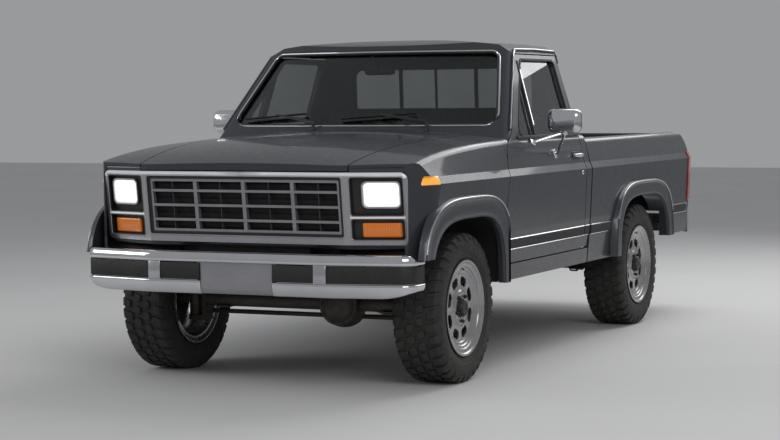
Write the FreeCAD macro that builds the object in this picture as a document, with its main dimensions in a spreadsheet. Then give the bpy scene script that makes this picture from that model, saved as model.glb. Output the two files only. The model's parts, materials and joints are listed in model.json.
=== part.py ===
import FreeCAD, Part
import math
import os
from functools import lru_cache
from types import SimpleNamespace

# Pickup truck with a regular cab and a short cargo box, in millimetres.
# +X is the vehicle's left side, -Y its front, +Z up. The origin is on the ground under its middle.
# Sizes that end in _reach are distances behind the front axle, and ahead of it where negative.
# Sizes that end in _height are above the ground, and _half_width is measured from the middle plane.

SIZES = {
    # Whole vehicle
    "wheelbase": 2967,
    "front_overhang": 800,
    "rear_overhang": 1133,
    "panel_gap": 7,
    "fit_gap": 3,
    "seat_clearance": 0.4,
    "cut_overrun": 60,
    # Side section of the body
    "rocker_half_width": 942,
    "rocker_height": 490,
    "flank_half_width": 966,
    "flank_height": 760,
    "crease_half_width": 981,
    "crease_height": 1066,
    "shoulder_half_width": 963,
    "shoulder_height": 1104,
    "belt_half_width": 926,
    "belt_height": 1270,
    "belt_radius": 40,
    "skin_thickness": 16,
    "wall_thickness": 34,
    # Nose, hood and cowl
    "nose_reach": -726,
    "nose_edge_height": 1132,
    "nose_crown_height": 1156,
    "brow_reach": -470,
    "brow_edge_height": 1196,
    "brow_crown_height": 1238,
    "bonnet_reach": 120,
    "bonnet_edge_height": 1250,
    "bonnet_crown_height": 1300,
    "cowl_reach": 800,
    "cowl_edge_height": 1271,
    "cowl_crown_height": 1356,
    "fender_top_radius": 40,
    "fender_chin_height": 692,
    "nose_turn_reach": -500,
    "nose_bend_half_width": 566,
    "nose_bend_radius": 400,
    "nose_corner_reach": -622,
    "nose_corner_half_width": 890,
    "nose_corner_radius": 340,
    "hood_front_half_width": 600,
    "hood_rear_half_width": 716,
    "hood_thickness": 34,
    "hood_hinge_reach": 330,
    "hood_hinge_height": 1225,
    "hood_lug_half_width": 640,
    "hood_lug_width": 30,
    "hood_lug_radius": 16,
    "hood_pin_radius": 8,
    "hood_bracket_half_width": 700,
    "hood_bracket_width": 16,
    "hood_rear_radius": 150,
    "hood_lip_gap": 9,
    "firewall_reach": 585,
    "firewall_thickness": 24,
    # Wheel arches
    "arch_front_length": 545,
    "arch_rear_length": 452,
    "arch_rise": 478,
    "rear_arch_length": 520,
    "rear_arch_rise": 462,
    "flare_width": 106,
    "flare_edge": 20,
    "flare_half_width": 990,
    "flare_root": 40,
    "liner_gap": 24,
    "liner_thickness": 6,
    "liner_inner_half_width": 470,
    # Doors
    "door_front_reach": 515,
    "door_kink_height": 960,
    "door_lean_reach": 610,
    "door_lean_height": 1225,
    "door_pillar_reach": 742,
    "door_pillar_height": 1302,
    "door_header_reach": 1126,
    "door_rear_reach": 1812,
    "door_sill_height": 586,
    "door_top_height": 1746,
    "door_corner_radius": 70,
    "door_thickness": 76,
    "door_frame_thickness": 44,
    "door_hinge_half_width": 940,
    "door_hinge_inset": 70,
    "door_low_hinge_height": 720,
    "door_high_hinge_height": 1010,
    "door_hinge_rise": 44,
    "door_barrel_radius": 12,
    "post_top_height": 1170,
    "door_pin_radius": 6,
    "swing_gap": 5,
    "door_edge_margin": 6,
    "door_opening_half_width": 600,
    "window_sill_height": 1284,
    "window_head_height": 1712,
    "window_front_reach": 842,
    "window_front_top_reach": 1196,
    "window_rear_reach": 1728,
    "window_corner_radius": 34,
    "vent_bar_reach": 1096,
    "vent_bar_top_reach": 1130,
    "vent_bar_width": 30,
    "glass_inset": 16,
    "glass_thickness": 5,
    # Cab
    "cab_rear_reach": 1906,
    "cab_rear_top_reach": 1868,
    "cab_corner_radius": 90,
    "pillar_corner_radius": 46,
    "glasshouse_base_height": 1180,
    "glasshouse_base_half_width": 948,
    "glasshouse_base_front_reach": 398,
    "glasshouse_base_bow": 182,
    "glasshouse_top_height": 1900,
    "glasshouse_top_half_width": 736,
    "glasshouse_top_front_reach": 1062,
    "glasshouse_top_bow": 138,
    "roof_height": 1846,
    "roof_side_drop": 42,
    "roof_side_half_width": 700,
    "roof_eave_angle": 24,
    "roof_front_reach": 985,
    "roof_front_height": 1806,
    "roof_peak_reach": 1360,
    "roof_rear_height": 1822,
    "roof_rear_radius": 80,
    "windshield_base_height": 1338,
    "windshield_base_half_width": 846,
    "windshield_top_height": 1762,
    "windshield_top_half_width": 712,
    "windshield_corner_radius": 60,
    "rear_window_base_height": 1330,
    "rear_window_top_height": 1690,
    "rear_window_half_width": 610,
    "rear_window_corner_radius": 60,
    "cab_floor_height": 620,
    "cab_floor_thickness": 30,
    "cab_box_gap": 18,
    # Cargo box
    "box_rear_reach": 4020,
    "box_rail_height": 1248,
    "box_tail_radius": 150,
    "box_floor_height": 766,
    "box_floor_thickness": 46,
    "box_inner_half_width": 858,
    "box_rail_depth": 40,
    "box_front_thickness": 40,
    "box_tail_foot_height": 552,
    "wheelhouse_half_width": 650,
    "wheelhouse_height": 985,
    "wheelhouse_half_length": 500,
    "wheelhouse_thickness": 8,
    "tailgate_half_width": 800,
    "tailgate_thickness": 48,
    "tailgate_base_height": 690,
    "tailgate_hinge_rise": 16,
    "tailgate_top_drop": 16,
    "tailgate_rear_inset": 8,
    "gate_floor_gap": 11,
    "gate_pin_radius": 7,
    "gate_pin_length": 18,
    "gate_pin_front_inset": 28,
    # Lamps
    "lamp_depth": 60,
    "headlamp_half_width": 749,
    "headlamp_height": 1016,
    "headlamp_width": 200,
    "headlamp_rise": 142,
    "headlamp_radius": 14,
    "turn_lamp_half_width": 745,
    "turn_lamp_height": 842,
    "turn_lamp_width": 196,
    "turn_lamp_rise": 80,
    "marker_front_reach": -560,
    "marker_rear_reach": -420,
    "marker_base_height": 1062,
    "marker_top_height": 1108,
    "tail_lamp_base_height": 770,
    "tail_lamp_top_height": 1112,
    "tail_lamp_depth": 52,
    "tail_lamp_inner_half_width": 862,
    "lamp_proud": 6,
    "bezel_reach_half_width": 887,
    "bezel_depth": 34,
    "bezel_recess": 16,
    # Grille and its surround
    "surround_top_height": 1128,
    "surround_base_height": 764,
    "surround_thickness": 44,
    "surround_lean": 46,
    "face_overrun": 20,
    "surround_corner_radius": 30,
    "grille_half_width": 566,
    "grille_top_height": 1106,
    "grille_base_height": 802,
    "grille_radius": 14,
    "grille_frame": 28,
    "grille_gap": 12,
    "grille_depth": 40,
    "grille_bar": 13,
    "grille_post": 20,
    "bezel_inner_half_width": 604,
    "bezel_outer_half_width": 862,
    "headlamp_bezel_base_height": 912,
    "turn_bezel_top_height": 896,
    "turn_bezel_base_height": 790,
    # Bumpers
    "bumper_top_height": 682,
    "bumper_base_height": 512,
    "bumper_half_width": 966,
    "bumper_thickness": 70,
    "bumper_skin": 10,
    "bumper_corner_radius": 90,
    "bumper_corner_cut": 90,
    "bumper_corner_rise": 50,
    "bumper_corner_reach": -716,
    "bumper_bend_half_width": 520,
    "bumper_end_reach": -560,
    "bumper_strip_end_reach": -620,
    "bumper_groove_top_height": 640,
    "bumper_groove_base_height": 566,
    "bumper_groove_depth": 16,
    "bumper_plate_half_width": 200,
    "bumper_pad_half_width": 560,
    "bumper_pad_width": 60,
    "strip_thickness": 15,
    "rear_bumper_top_height": 662,
    "rear_bumper_base_height": 540,
    "rear_bumper_half_width": 950,
    "rear_bumper_depth": 66,
    "rear_bumper_step_half_width": 330,
    "rear_bumper_skin": 8,
    "rear_bumper_corner_radius": 30,
    "tow_ball_hole_radius": 13,
    # Frame
    "rail_outer_half_width": 432,
    "rail_width": 64,
    "rail_rise": 150,
    "rail_front_base_height": 540,
    "rail_front_reach": -640,
    "rail_drop_reach": 300,
    "rail_middle_reach": 1300,
    "rail_kick_start_reach": 2150,
    "rail_kick_end_reach": 2450,
    "rail_rear_member_reach": 3700,
    "rail_end_reach": 3930,
    "bracket_inset": 42,
    "crossmember_width": 70,
    "crossmember_rise": 60,
    # Axles and wheels
    "track_half_width": 812,
    "wheel_radius": 395,
    "tyre_half_width": 134,
    "tread_half_width": 114,
    "tyre_shoulder_radius": 366,
    "tyre_bulge_radius": 320,
    "lug_inner_half_width": 62,
    "lug_depth": 13,
    "lug_gap": 30,
    "lug_width": 6,
    "lug_foot_radius": 350,
    "rim_flange_radius": 252,
    "rim_flange_width": 14,
    "rim_half_width": 128,
    "barrel_radius": 226,
    "barrel_thickness": 12,
    "disc_offset": 90,
    "disc_thickness": 14,
    "disc_step": 9,
    "disc_outer_step_radius": 202,
    "disc_inner_step_radius": 184,
    "disc_window_inner_radius": 122,
    "disc_window_outer_radius": 162,
    "disc_window_inner_width": 42,
    "disc_window_outer_width": 62,
    "disc_window_corner_radius": 8,
    "disc_hub_radius": 96,
    "hub_radius": 44,
    "hub_length": 70,
    "axle_tube_radius": 40,
    "differential_radius": 130,
    "differential_half_width": 80,
    "pinion_reach": 170,
    "front_differential_x": 230,
    "axle_end_half_width": 612,
    "knuckle_half_width": 700,
    "knuckle_rise": 120,
    "knuckle_radius": 34,
    "knuckle_plate": 26,
    "yoke_thickness": 26,
    "yoke_depth": 80,
    "spindle_radius": 30,
    "kingpin_radius": 14,
    "knuckle_play": 1.5,
    "steering_arm_length": 165,
    "steering_arm_drop": 60,
    "tie_rod_radius": 13,
    "tie_rod_pin_radius": 9,
    "tie_rod_eye_radius": 19,
    "brake_disc_radius": 150,
    "brake_disc_thickness": 26,
    # Drivetrain
    "engine_front_reach": -330,
    "engine_length": 780,
    "engine_width": 520,
    "engine_rise": 520,
    "engine_base_height": 560,
    "gearbox_length": 900,
    "engine_mount_rise": 60,
    "gearbox_width": 300,
    "gearbox_rise": 200,
    "gearbox_base_height": 380,
    "gearbox_overlap": 100,
    "shaft_radius": 38,
    "transfer_case_reach": 420,
    "transfer_case_length": 260,
    "tank_front_reach": 1440,
    "tank_length": 600,
    "tank_width": 250,
    "tank_rise": 180,
    "tank_base_height": 400,
    "exhaust_radius": 28,
    "exhaust_x": -220,
    "exhaust_height": 380,
    "exhaust_start_reach": 300,
    "exhaust_turn_reach": 2210,
    "exhaust_tip_half_width": 900,
    "muffler_radius": 80,
    "muffler_start_reach": 1460,
    "muffler_length": 520,
    "radiator_half_width": 330,
    "radiator_reach": -600,
    "radiator_thickness": 60,
    "radiator_top_height": 1080,
    "support_reach": -515,
    "support_thickness": 16,
    "support_opening_half_width": 420,
    "support_opening_base_height": 730,
    "support_top_height": 1100,
    "radius_arm_half_width": 400,
    "radius_arm_width": 40,
    "radius_arm_rise": 38,
    "radius_arm_end_reach": 1000,
    "hanger_length": 60,
    "leaf_width": 64,
    "leaf_thickness": 30,
    "leaf_half_length": 640,
    "leaf_half_width": 505,
    "coil_half_width": 500,
    "coil_radius": 62,
    # Cabin
    "dash_depth": 330,
    "dash_top_height": 1300,
    "dash_rear_top_height": 1225,
    "dash_corner_radius": 40,
    "dash_base_height": 930,
    "dash_half_width": 750,
    "column_radius": 34,
    "steering_wheel_half_width": 372,
    "steering_wheel_reach": 1060,
    "steering_wheel_height": 1170,
    "steering_wheel_radius": 190,
    "steering_rim_radius": 13,
    "steering_hub_radius": 46,
    "steering_hub_length": 60,
    "steering_spoke_width": 36,
    "steering_tilt_angle": 32,
    "steering_shaft_radius": 12,
    "seat_front_reach": 1180,
    "seat_depth": 540,
    "seat_height": 1000,
    "seat_thickness": 190,
    "seat_half_width": 680,
    "seat_plinth_inset": 70,
    "seat_corner_radius": 50,
    "back_thickness": 160,
    "back_top_height": 1440,
    "back_lean": 100,
    # Mirrors and handles
    "mirror_outer_half_width": 1196,
    "mirror_width": 200,
    "mirror_rise": 140,
    "mirror_depth": 60,
    "mirror_height": 1363,
    "mirror_reach": 1060,
    "mirror_arm_radius": 9,
    "mirror_foot_reach": 60,
    "mirror_foot_height": 1236,
    "mirror_brace_reach": 260,
    "mirror_brace_height": 1165,
    "handle_rear_reach": 1750,
    "handle_height": 1150,
    "handle_width": 120,
    "handle_rise": 26,
    "handle_proud": 26,
    # Wipers
    "wiper_arm": 9,
    "wiper_left_pivot_x": 470,
    "wiper_right_pivot_x": -220,
    "wiper_length": 430,
    "wiper_rise": 14,
    "wiper_tip_rise": 70,
    "wiper_proud": 40,
}

doc = FreeCAD.newDocument("PickupTruck")
sheet = doc.addObject("Spreadsheet::Sheet", "Sizes")
for row, (name, size) in enumerate(SIZES.items(), start=1):
    sheet.set(f"A{row}", name)
    sheet.set(f"B{row}", str(size))
    sheet.setAlias(f"B{row}", name)
doc.recompute()
s = SimpleNamespace(**{name: float(sheet.get(name)) for name in SIZES})

V = FreeCAD.Vector
NODES = {}
SAME_POINT = 1e-6
ARCH_STEPS = 9
ARCH_SQUARENESS = 3.6
SWEEP_STEPS = 6
TYRE_FACETS = 24
GRILLE_ROWS = 4
GRILLE_COLUMNS = 4
FULL_TURN = 360
SPOKE_ANGLES = (0, 180, 270)
WHEEL_WINDOWS = 8

# Places of the axles, with the middle of the vehicle's length at zero.
overall = s.front_overhang + s.wheelbase + s.rear_overhang
front_axle = (s.front_overhang - s.wheelbase - s.rear_overhang) / 2
rear_axle = front_axle + s.wheelbase
FRONT_AXLE = "(Sizes.front_overhang - Sizes.wheelbase - Sizes.rear_overhang) / 2"
REAR_AXLE = "(Sizes.front_overhang + Sizes.wheelbase - Sizes.rear_overhang) / 2"


def along(reach):
    """The place along the vehicle of a distance behind the front axle."""
    return front_axle + reach


# Outlines, prisms and mirrored copies

def side_view(at):
    """Points given as (along, up), at one distance across."""
    return lambda a, b: V(at, a, b)


def front_view(at):
    """Points given as (across, up), at one place along."""
    return lambda a, b: V(a, at, b)


def top_view(at):
    """Points given as (across, along), at one height."""
    return lambda a, b: V(a, b, at)


def round_corner(corner, before, after, radius):
    """Start, middle and end of the arc that rounds a corner between two directions."""
    back = V(before).normalize()
    ahead = V(after).normalize()
    half = back.getAngle(ahead) / 2
    reach = radius / math.tan(half)
    bisector = (back + ahead).normalize()
    middle = corner + bisector * (radius / math.sin(half) - radius)
    return corner + back * reach, middle, corner + ahead * reach


def outline(points, radii, view):
    """A closed wire through the points, each corner rounded by its own radius."""
    corners = [view(a, b) for a, b in points]
    if not isinstance(radii, (list, tuple)):
        radii = [radii] * len(corners)
    arcs = []
    for i, corner in enumerate(corners):
        if radii[i] == 0:
            arcs.append((corner, None, corner))
            continue
        before = corners[i - 1] - corner
        after = corners[(i + 1) % len(corners)] - corner
        arcs.append(round_corner(corner, before, after, radii[i]))
    edges = []
    for i, (start, middle, end) in enumerate(arcs):
        if middle is not None:
            edges.append(Part.Arc(start, middle, end).toShape())
        following = arcs[(i + 1) % len(arcs)][0]
        if not following.isEqual(end, SAME_POINT):
            edges.append(Part.makeLine(end, following))
    return Part.Wire(edges)


def prism(points, radii, view, run):
    """A solid prism on an outline."""
    return Part.Face(outline(points, radii, view)).extrude(run)


def side_prism(points, radii, inner, outer):
    return prism(points, radii, side_view(inner), V(outer - inner, 0, 0))


def front_prism(points, radii, start, end):
    return prism(points, radii, front_view(start), V(0, end - start, 0))


def top_prism(points, radii, low, high):
    return prism(points, radii, top_view(low), V(0, 0, high - low))


def block(x0, x1, y0, y1, z0, z1):
    return Part.makeBox(x1 - x0, y1 - y0, z1 - z0, V(x0, y0, z0))


def rod(start, end, radius):
    return Part.makeCylinder(radius, (end - start).Length, start, end - start)


def mirrored(shape):
    return shape.mirror(V(0, 0, 0), V(1, 0, 0))


def both_sides(points):
    """A closed outline from its left half, listed from bottom to top."""
    return points + [(-a, b) for a, b in reversed(points)]


def both_radii(radii):
    return radii + list(reversed(radii))


def joined(shapes):
    """One shape from pieces that touch or overlap."""
    return shapes[0].multiFuse(shapes[1:]).removeSplitter()


def together(shapes):
    """One node from solids that stay apart."""
    return Part.makeCompound(shapes)


def feature(name, shape, place=V(0, 0, 0)):
    """A sub-part whose shape comes from the functions of this file."""
    obj = doc.addObject("Part::Feature", name)
    obj.Shape = shape
    obj.Label = name
    obj.Placement = FreeCAD.Placement(place, FreeCAD.Rotation())
    NODES[name] = obj
    return obj


def keep(name, obj):
    """A sub-part that is an object bound to the sheet."""
    obj.Label = name
    NODES[name] = obj
    return obj


def bound(kind, name, place, turn=None, **sizes):
    """A primitive whose sizes and place are bound to the sheet."""
    obj = doc.addObject("Part::" + kind, name)
    for prop, text in sizes.items():
        obj.setExpression(prop, text)
    if turn:
        obj.Placement.Rotation = FreeCAD.Rotation(*turn)
    for axis, text in zip("xyz", place):
        if text != "0":
            obj.setExpression("Placement.Base." + axis, text)
    return obj


def fused(name, parts):
    obj = doc.addObject("Part::MultiFuse", name)
    obj.Shapes = parts
    return obj


# Outer form of the body: one section along the cab and the cargo box, and a crowned nose ahead of it

def flank_points(inset, foot):
    """The side's section up to the shoulder, from bottom to top."""
    return [
        (s.rocker_half_width - inset, foot),
        (s.flank_half_width - inset, s.flank_height),
        (s.crease_half_width - inset, s.crease_height),
        (s.shoulder_half_width - inset, s.shoulder_height),
    ]


def body_run(inset, start, end, foot, top):
    """The body's section run straight along a stretch of its length."""
    points = flank_points(inset, foot) + [(s.belt_half_width - inset, top)]
    radii = [0, 0, 0, 0, s.belt_radius]
    return front_prism(both_sides(points), both_radii(radii), start, end)


def nose_section(reach, edge_height, crown_height, inset, foot):
    """One crowned section of the nose, its two top corners rounded."""
    at = front_view(along(reach))
    edge_x = s.belt_half_width - inset
    edge_z = edge_height - inset
    crown_z = crown_height - inset
    slope = 2 * math.atan2(crown_z - edge_z, edge_x)
    left = [at(a, b) for a, b in flank_points(inset, foot)]
    corner = at(edge_x, edge_z)
    inward = V(-math.cos(slope), 0, math.sin(slope))
    start, middle, end = round_corner(corner, left[-1] - corner, inward, s.fender_top_radius)

    def opposite(p):
        return V(-p.x, p.y, p.z)

    edges = [Part.makeLine(a, b) for a, b in zip(left, left[1:] + [start])]
    edges.append(Part.Arc(start, middle, end).toShape())
    edges.append(Part.Arc(end, at(0, crown_z), opposite(end)).toShape())
    edges.append(Part.Arc(opposite(end), opposite(middle), opposite(start)).toShape())
    right = [opposite(p) for p in reversed(left)]
    edges += [Part.makeLine(a, b) for a, b in zip([opposite(start)] + right, right)]
    edges.append(Part.makeLine(right[-1], left[0]))
    return Part.Wire(edges)


def nose_plan(inset, open_front):
    """The nose seen from above: straight sides, rounded corners and a bowed front."""
    rear = along(s.cowl_reach) + s.cut_overrun
    points = [
        (s.crease_half_width - inset, rear),
        (s.crease_half_width - inset, along(s.nose_turn_reach)),
        (s.nose_corner_half_width - inset, along(s.nose_corner_reach)),
    ]
    radii = [0, s.nose_corner_radius - inset, 0]
    if open_front:
        points.append((s.nose_corner_half_width - inset, along(s.nose_reach) - s.cut_overrun))
        radii.append(0)
    else:
        points.append((s.nose_bend_half_width, along(s.nose_reach) + inset))
        radii.append(s.nose_bend_radius)
    low = -s.cut_overrun
    high = s.glasshouse_top_height
    plan = [(-a, b) for a, b in points] + list(reversed(points))
    return top_prism(plan, radii + list(reversed(radii)), low, high)


@lru_cache(maxsize=None)
def nose(inset, foot, open_front=False):
    """The nose from the grille to the foot of the windshield, drawn in by an inset."""
    stations = [
        (s.nose_reach - s.cut_overrun, s.nose_edge_height, s.nose_crown_height),
        (s.brow_reach, s.brow_edge_height, s.brow_crown_height),
        (s.bonnet_reach, s.bonnet_edge_height, s.bonnet_crown_height),
        (s.cowl_reach, s.cowl_edge_height, s.cowl_crown_height),
    ]
    wires = [nose_section(*station, inset, foot) for station in stations]
    return Part.makeLoft(wires, True, False).common(nose_plan(inset, open_front))


def glasshouse_section(height, half_width, front_reach, bow, rear_reach, inset):
    """A level section of the upper cab: bowed front, straight sides and rounded corners."""
    at = top_view(height)
    x = half_width - inset
    front = along(front_reach) + inset
    corner_y = front + bow
    rear = along(rear_reach) - inset
    slope = 2 * math.atan2(bow, x)
    front_corner = at(x, corner_y)
    rear_corner = at(x, rear)
    toward_middle = V(-math.cos(slope), -math.sin(slope), 0)
    a0, a1, a2 = round_corner(front_corner, toward_middle, V(0, 1, 0), s.pillar_corner_radius)
    b0, b1, b2 = round_corner(rear_corner, V(0, -1, 0), V(-1, 0, 0), s.cab_corner_radius)

    def opposite(p):
        return V(-p.x, p.y, p.z)

    edges = [
        Part.Arc(opposite(a0), at(0, front), a0).toShape(),
        Part.Arc(a0, a1, a2).toShape(),
        Part.makeLine(a2, b0),
        Part.Arc(b0, b1, b2).toShape(),
        Part.makeLine(b2, opposite(b2)),
        Part.Arc(opposite(b2), opposite(b1), opposite(b0)).toShape(),
        Part.makeLine(opposite(b0), opposite(a2)),
        Part.Arc(opposite(a2), opposite(a1), opposite(a0)).toShape(),
    ]
    return Part.Wire(edges)


@lru_cache(maxsize=None)
def glasshouse(inset):
    """The upper cab, leaning in on every side, under a domed roof, drawn in by an inset."""
    low = glasshouse_section(
        s.glasshouse_base_height, s.glasshouse_base_half_width,
        s.glasshouse_base_front_reach, s.glasshouse_base_bow, s.cab_rear_reach, inset)
    high = glasshouse_section(
        s.glasshouse_top_height, s.glasshouse_top_half_width,
        s.glasshouse_top_front_reach, s.glasshouse_top_bow, s.cab_rear_top_reach, inset)
    body = Part.makeLoft([low, high], True, True)
    return body.common(roof_across(inset)).common(roof_along(inset))


def roof_across(inset):
    """The roof's crown from side to side, as a prism along the cab."""
    at = front_view(along(s.nose_reach))
    side_x = s.glasshouse_base_half_width
    eave_z = s.roof_height - s.roof_side_drop - inset
    crown_z = s.roof_height - inset
    edge_x = s.roof_side_half_width
    slope = 2 * math.atan2(s.roof_side_drop, edge_x)
    lower_z = eave_z - (side_x - edge_x) * math.tan(slope + math.radians(s.roof_eave_angle))
    floor_z = s.glasshouse_base_height - s.cut_overrun
    left = [at(side_x, floor_z), at(side_x, lower_z), at(edge_x, eave_z)]
    right = [V(-p.x, p.y, p.z) for p in reversed(left)]
    edges = [
        Part.makeLine(left[0], left[1]),
        Part.makeLine(left[1], left[2]),
        Part.Arc(left[2], at(0, crown_z), right[0]).toShape(),
        Part.makeLine(right[0], right[1]),
        Part.makeLine(right[1], right[2]),
        Part.makeLine(right[2], left[0]),
    ]
    run = V(0, along(s.box_rear_reach) - along(s.nose_reach), 0)
    return Part.Face(Part.Wire(edges)).extrude(run)


def roof_along(inset):
    """The roof's line from front to rear, as a prism across the cab."""
    at = side_view(-s.crease_half_width)
    front = along(s.nose_reach)
    floor_z = s.glasshouse_base_height - s.cut_overrun
    brow = at(along(s.roof_front_reach), s.roof_front_height - inset)
    peak = at(along(s.roof_peak_reach), s.roof_height - inset)
    foot = at(along(s.cab_rear_reach) - inset, s.glasshouse_base_height)
    head = at(along(s.cab_rear_top_reach) - inset, s.glasshouse_top_height)
    rear_lean = (head.y - foot.y) / (head.z - foot.z)
    tail_z = s.roof_rear_height - inset
    tail = at(foot.y + (tail_z - foot.z) * rear_lean, tail_z)
    brow_slope = (peak.z - brow.z) / (peak.y - brow.y)
    start = at(front, brow.z - (brow.y - front) * brow_slope)
    ahead = brow - tail
    top, middle, side = round_corner(tail, ahead, foot - tail, s.roof_rear_radius)
    edges = [
        Part.makeLine(at(front, floor_z), start),
        Part.makeLine(start, brow),
        Part.Arc(brow, peak, top).toShape(),
        Part.Arc(top, middle, side).toShape(),
        Part.makeLine(side, foot),
        Part.makeLine(foot, at(foot.y, floor_z)),
        Part.makeLine(at(foot.y, floor_z), at(front, floor_z)),
    ]
    return Part.Face(Part.Wire(edges)).extrude(V(2 * s.crease_half_width, 0, 0))


# Regions that split the body into panels

def arch(reach, front_length, rear_length, rise, outset, inner, outer):
    """A wheel opening: a flat-topped arch with a front and a rear half length, as a prism across."""
    at = side_view(inner)
    middle_y = along(reach)
    middle_z = s.wheel_radius

    def half(length):
        steps = range(ARCH_STEPS + 1)
        angles = [math.pi / 2 * step / ARCH_STEPS for step in steps]
        power = 2 / ARCH_SQUARENESS
        return [
            at(middle_y + (length + math.copysign(outset, length)) * math.cos(angle) ** power,
               middle_z + (rise + outset) * math.sin(angle) ** power)
            for angle in angles
        ]

    over = half(rear_length) + list(reversed(half(-front_length)))[1:]
    curve = Part.BSplineCurve()
    curve.interpolate(over)
    low = -s.cut_overrun
    rear_foot = V(inner, over[0].y, low)
    front_foot = V(inner, over[-1].y, low)
    edges = [
        curve.toShape(),
        Part.makeLine(over[-1], front_foot),
        Part.makeLine(front_foot, rear_foot),
        Part.makeLine(rear_foot, over[0]),
    ]
    return Part.Face(Part.Wire(edges)).extrude(V(outer - inner, 0, 0))


def front_arch(outset, inner, outer):
    return arch(0, s.arch_front_length, s.arch_rear_length, s.arch_rise, outset, inner, outer)


def rear_arch(outset, inner, outer):
    length = s.rear_arch_length
    return arch(s.wheelbase, length, length, s.rear_arch_rise, outset, inner, outer)


def hood_plan(gap, start, end):
    """The hood and cowl seen from above, widening towards the windshield."""
    width_front = s.hood_front_half_width + gap
    width_rear = s.hood_rear_half_width + gap
    span = s.cowl_reach - s.nose_reach
    flare_rate = (width_rear - width_front) / span
    points = [
        (width_front + flare_rate * (start - s.nose_reach), along(start)),
        (width_front + flare_rate * (end - s.nose_reach), along(end)),
    ]
    low = s.surround_base_height
    return top_prism(both_sides(points), 0, low, s.glasshouse_top_height)


def hood_swing(gap):
    """What lies ahead of the hood's rear edge, which is round about its hinge."""
    radius = s.hood_rear_radius + gap
    y = along(s.hood_hinge_reach)
    z = s.hood_hinge_height
    wide = s.crease_half_width
    start = along(s.nose_reach) - s.cut_overrun
    ahead = block(-wide, wide, start, y, 0, s.glasshouse_top_height)
    return ahead.fuse(rod(V(-wide, y, z), V(wide, y, z), radius))


def door_region(gap):
    """The door seen from the side. Its two upright edges are round about the hinge, so it swings clear."""
    front = along(s.door_front_reach) - s.door_edge_margin
    rear = along(s.door_rear_reach) + s.door_edge_margin
    points = [
        (front, s.door_sill_height),
        (rear, s.door_sill_height),
        (rear, s.door_top_height),
        (along(s.door_header_reach), s.door_top_height),
        (along(s.door_pillar_reach), s.door_pillar_height),
        (along(s.door_lean_reach), s.door_lean_height),
        (front, s.door_kink_height),
    ]
    corner = s.door_corner_radius
    radii = [corner, corner, corner / 2, corner / 4, corner, corner, corner]
    wire = outline(points, radii, side_view(s.door_opening_half_width))
    face = Part.Face(wire)
    if gap:
        face = face.makeOffset2D(gap)
    run = V(s.mirror_outer_half_width - s.door_opening_half_width, 0, 0)
    hinge_y = along(s.door_front_reach) + s.door_hinge_inset
    low = V(s.door_hinge_half_width, hinge_y, 0)
    high = V(s.door_hinge_half_width, hinge_y, s.glasshouse_top_height)
    reach = s.door_rear_reach - s.door_front_reach - s.door_hinge_inset
    front_edge = rod(low, high, s.door_hinge_inset + gap)
    behind = block(0, s.mirror_outer_half_width, hinge_y, along(s.cowl_reach) + reach, 0, high.z)
    rear_edge = rod(low, high, reach + gap)
    return face.extrude(run).common(front_edge.fuse(behind)).common(rear_edge)


def window_region(shrink):
    """The door's two panes seen from the side, with the upright bar between them left out."""
    front = along(s.window_front_reach)
    points = [
        (front, s.window_sill_height),
        (along(s.window_rear_reach), s.window_sill_height),
        (along(s.window_rear_reach), s.window_head_height),
        (along(s.window_front_top_reach), s.window_head_height),
    ]
    wire = outline(points, s.window_corner_radius, side_view(s.door_opening_half_width))
    face = Part.Face(wire)
    if shrink:
        face = face.makeOffset2D(-shrink)
    run = V(s.mirror_outer_half_width - s.door_opening_half_width, 0, 0)
    half = s.vent_bar_width / 2 + shrink
    low_z = s.window_sill_height - s.vent_bar_width
    high_z = s.window_head_height + s.vent_bar_width
    bar = side_prism(
        [
            (along(s.vent_bar_reach) - half, low_z),
            (along(s.vent_bar_reach) + half, low_z),
            (along(s.vent_bar_top_reach) + half, high_z),
            (along(s.vent_bar_top_reach) - half, high_z),
        ],
        0, s.door_opening_half_width, s.mirror_outer_half_width)
    return face.extrude(run).cut(bar)


def windshield_region(shrink):
    points = [
        (s.windshield_base_half_width, s.windshield_base_height),
        (s.windshield_top_half_width, s.windshield_top_height),
    ]
    wire = outline(both_sides(points), s.windshield_corner_radius, front_view(along(s.hood_hinge_reach)))
    face = Part.Face(wire)
    if shrink:
        face = face.makeOffset2D(-shrink)
    return face.extrude(V(0, s.roof_peak_reach - s.hood_hinge_reach, 0))


def rear_window_region(shrink):
    points = [
        (s.rear_window_half_width, s.rear_window_base_height),
        (s.rear_window_half_width, s.rear_window_top_height),
    ]
    wire = outline(both_sides(points), s.rear_window_corner_radius, front_view(along(s.roof_peak_reach)))
    face = Part.Face(wire)
    if shrink:
        face = face.makeOffset2D(-shrink)
    return face.extrude(V(0, s.box_rear_reach - s.roof_peak_reach, 0))


# Cab, doors and glass

@lru_cache(maxsize=None)
def cab_solid(inset, foot, start, top_inset):
    """The whole form of the cab, drawn in by an inset."""
    rear = along(s.cab_rear_reach) - inset
    lower = body_run(inset, along(s.cowl_reach), rear, foot, s.belt_height - inset)
    wide = s.mirror_outer_half_width
    behind = block(-wide, wide, start, along(s.cowl_reach), 0, s.glasshouse_top_height)
    front = nose(inset, foot).common(behind)
    bay = nose(0, foot).cut(block(-wide, wide, start, along(s.box_rear_reach), 0, s.glasshouse_top_height))
    return joined([front, lower, glasshouse(top_inset).cut(bay)])


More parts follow.
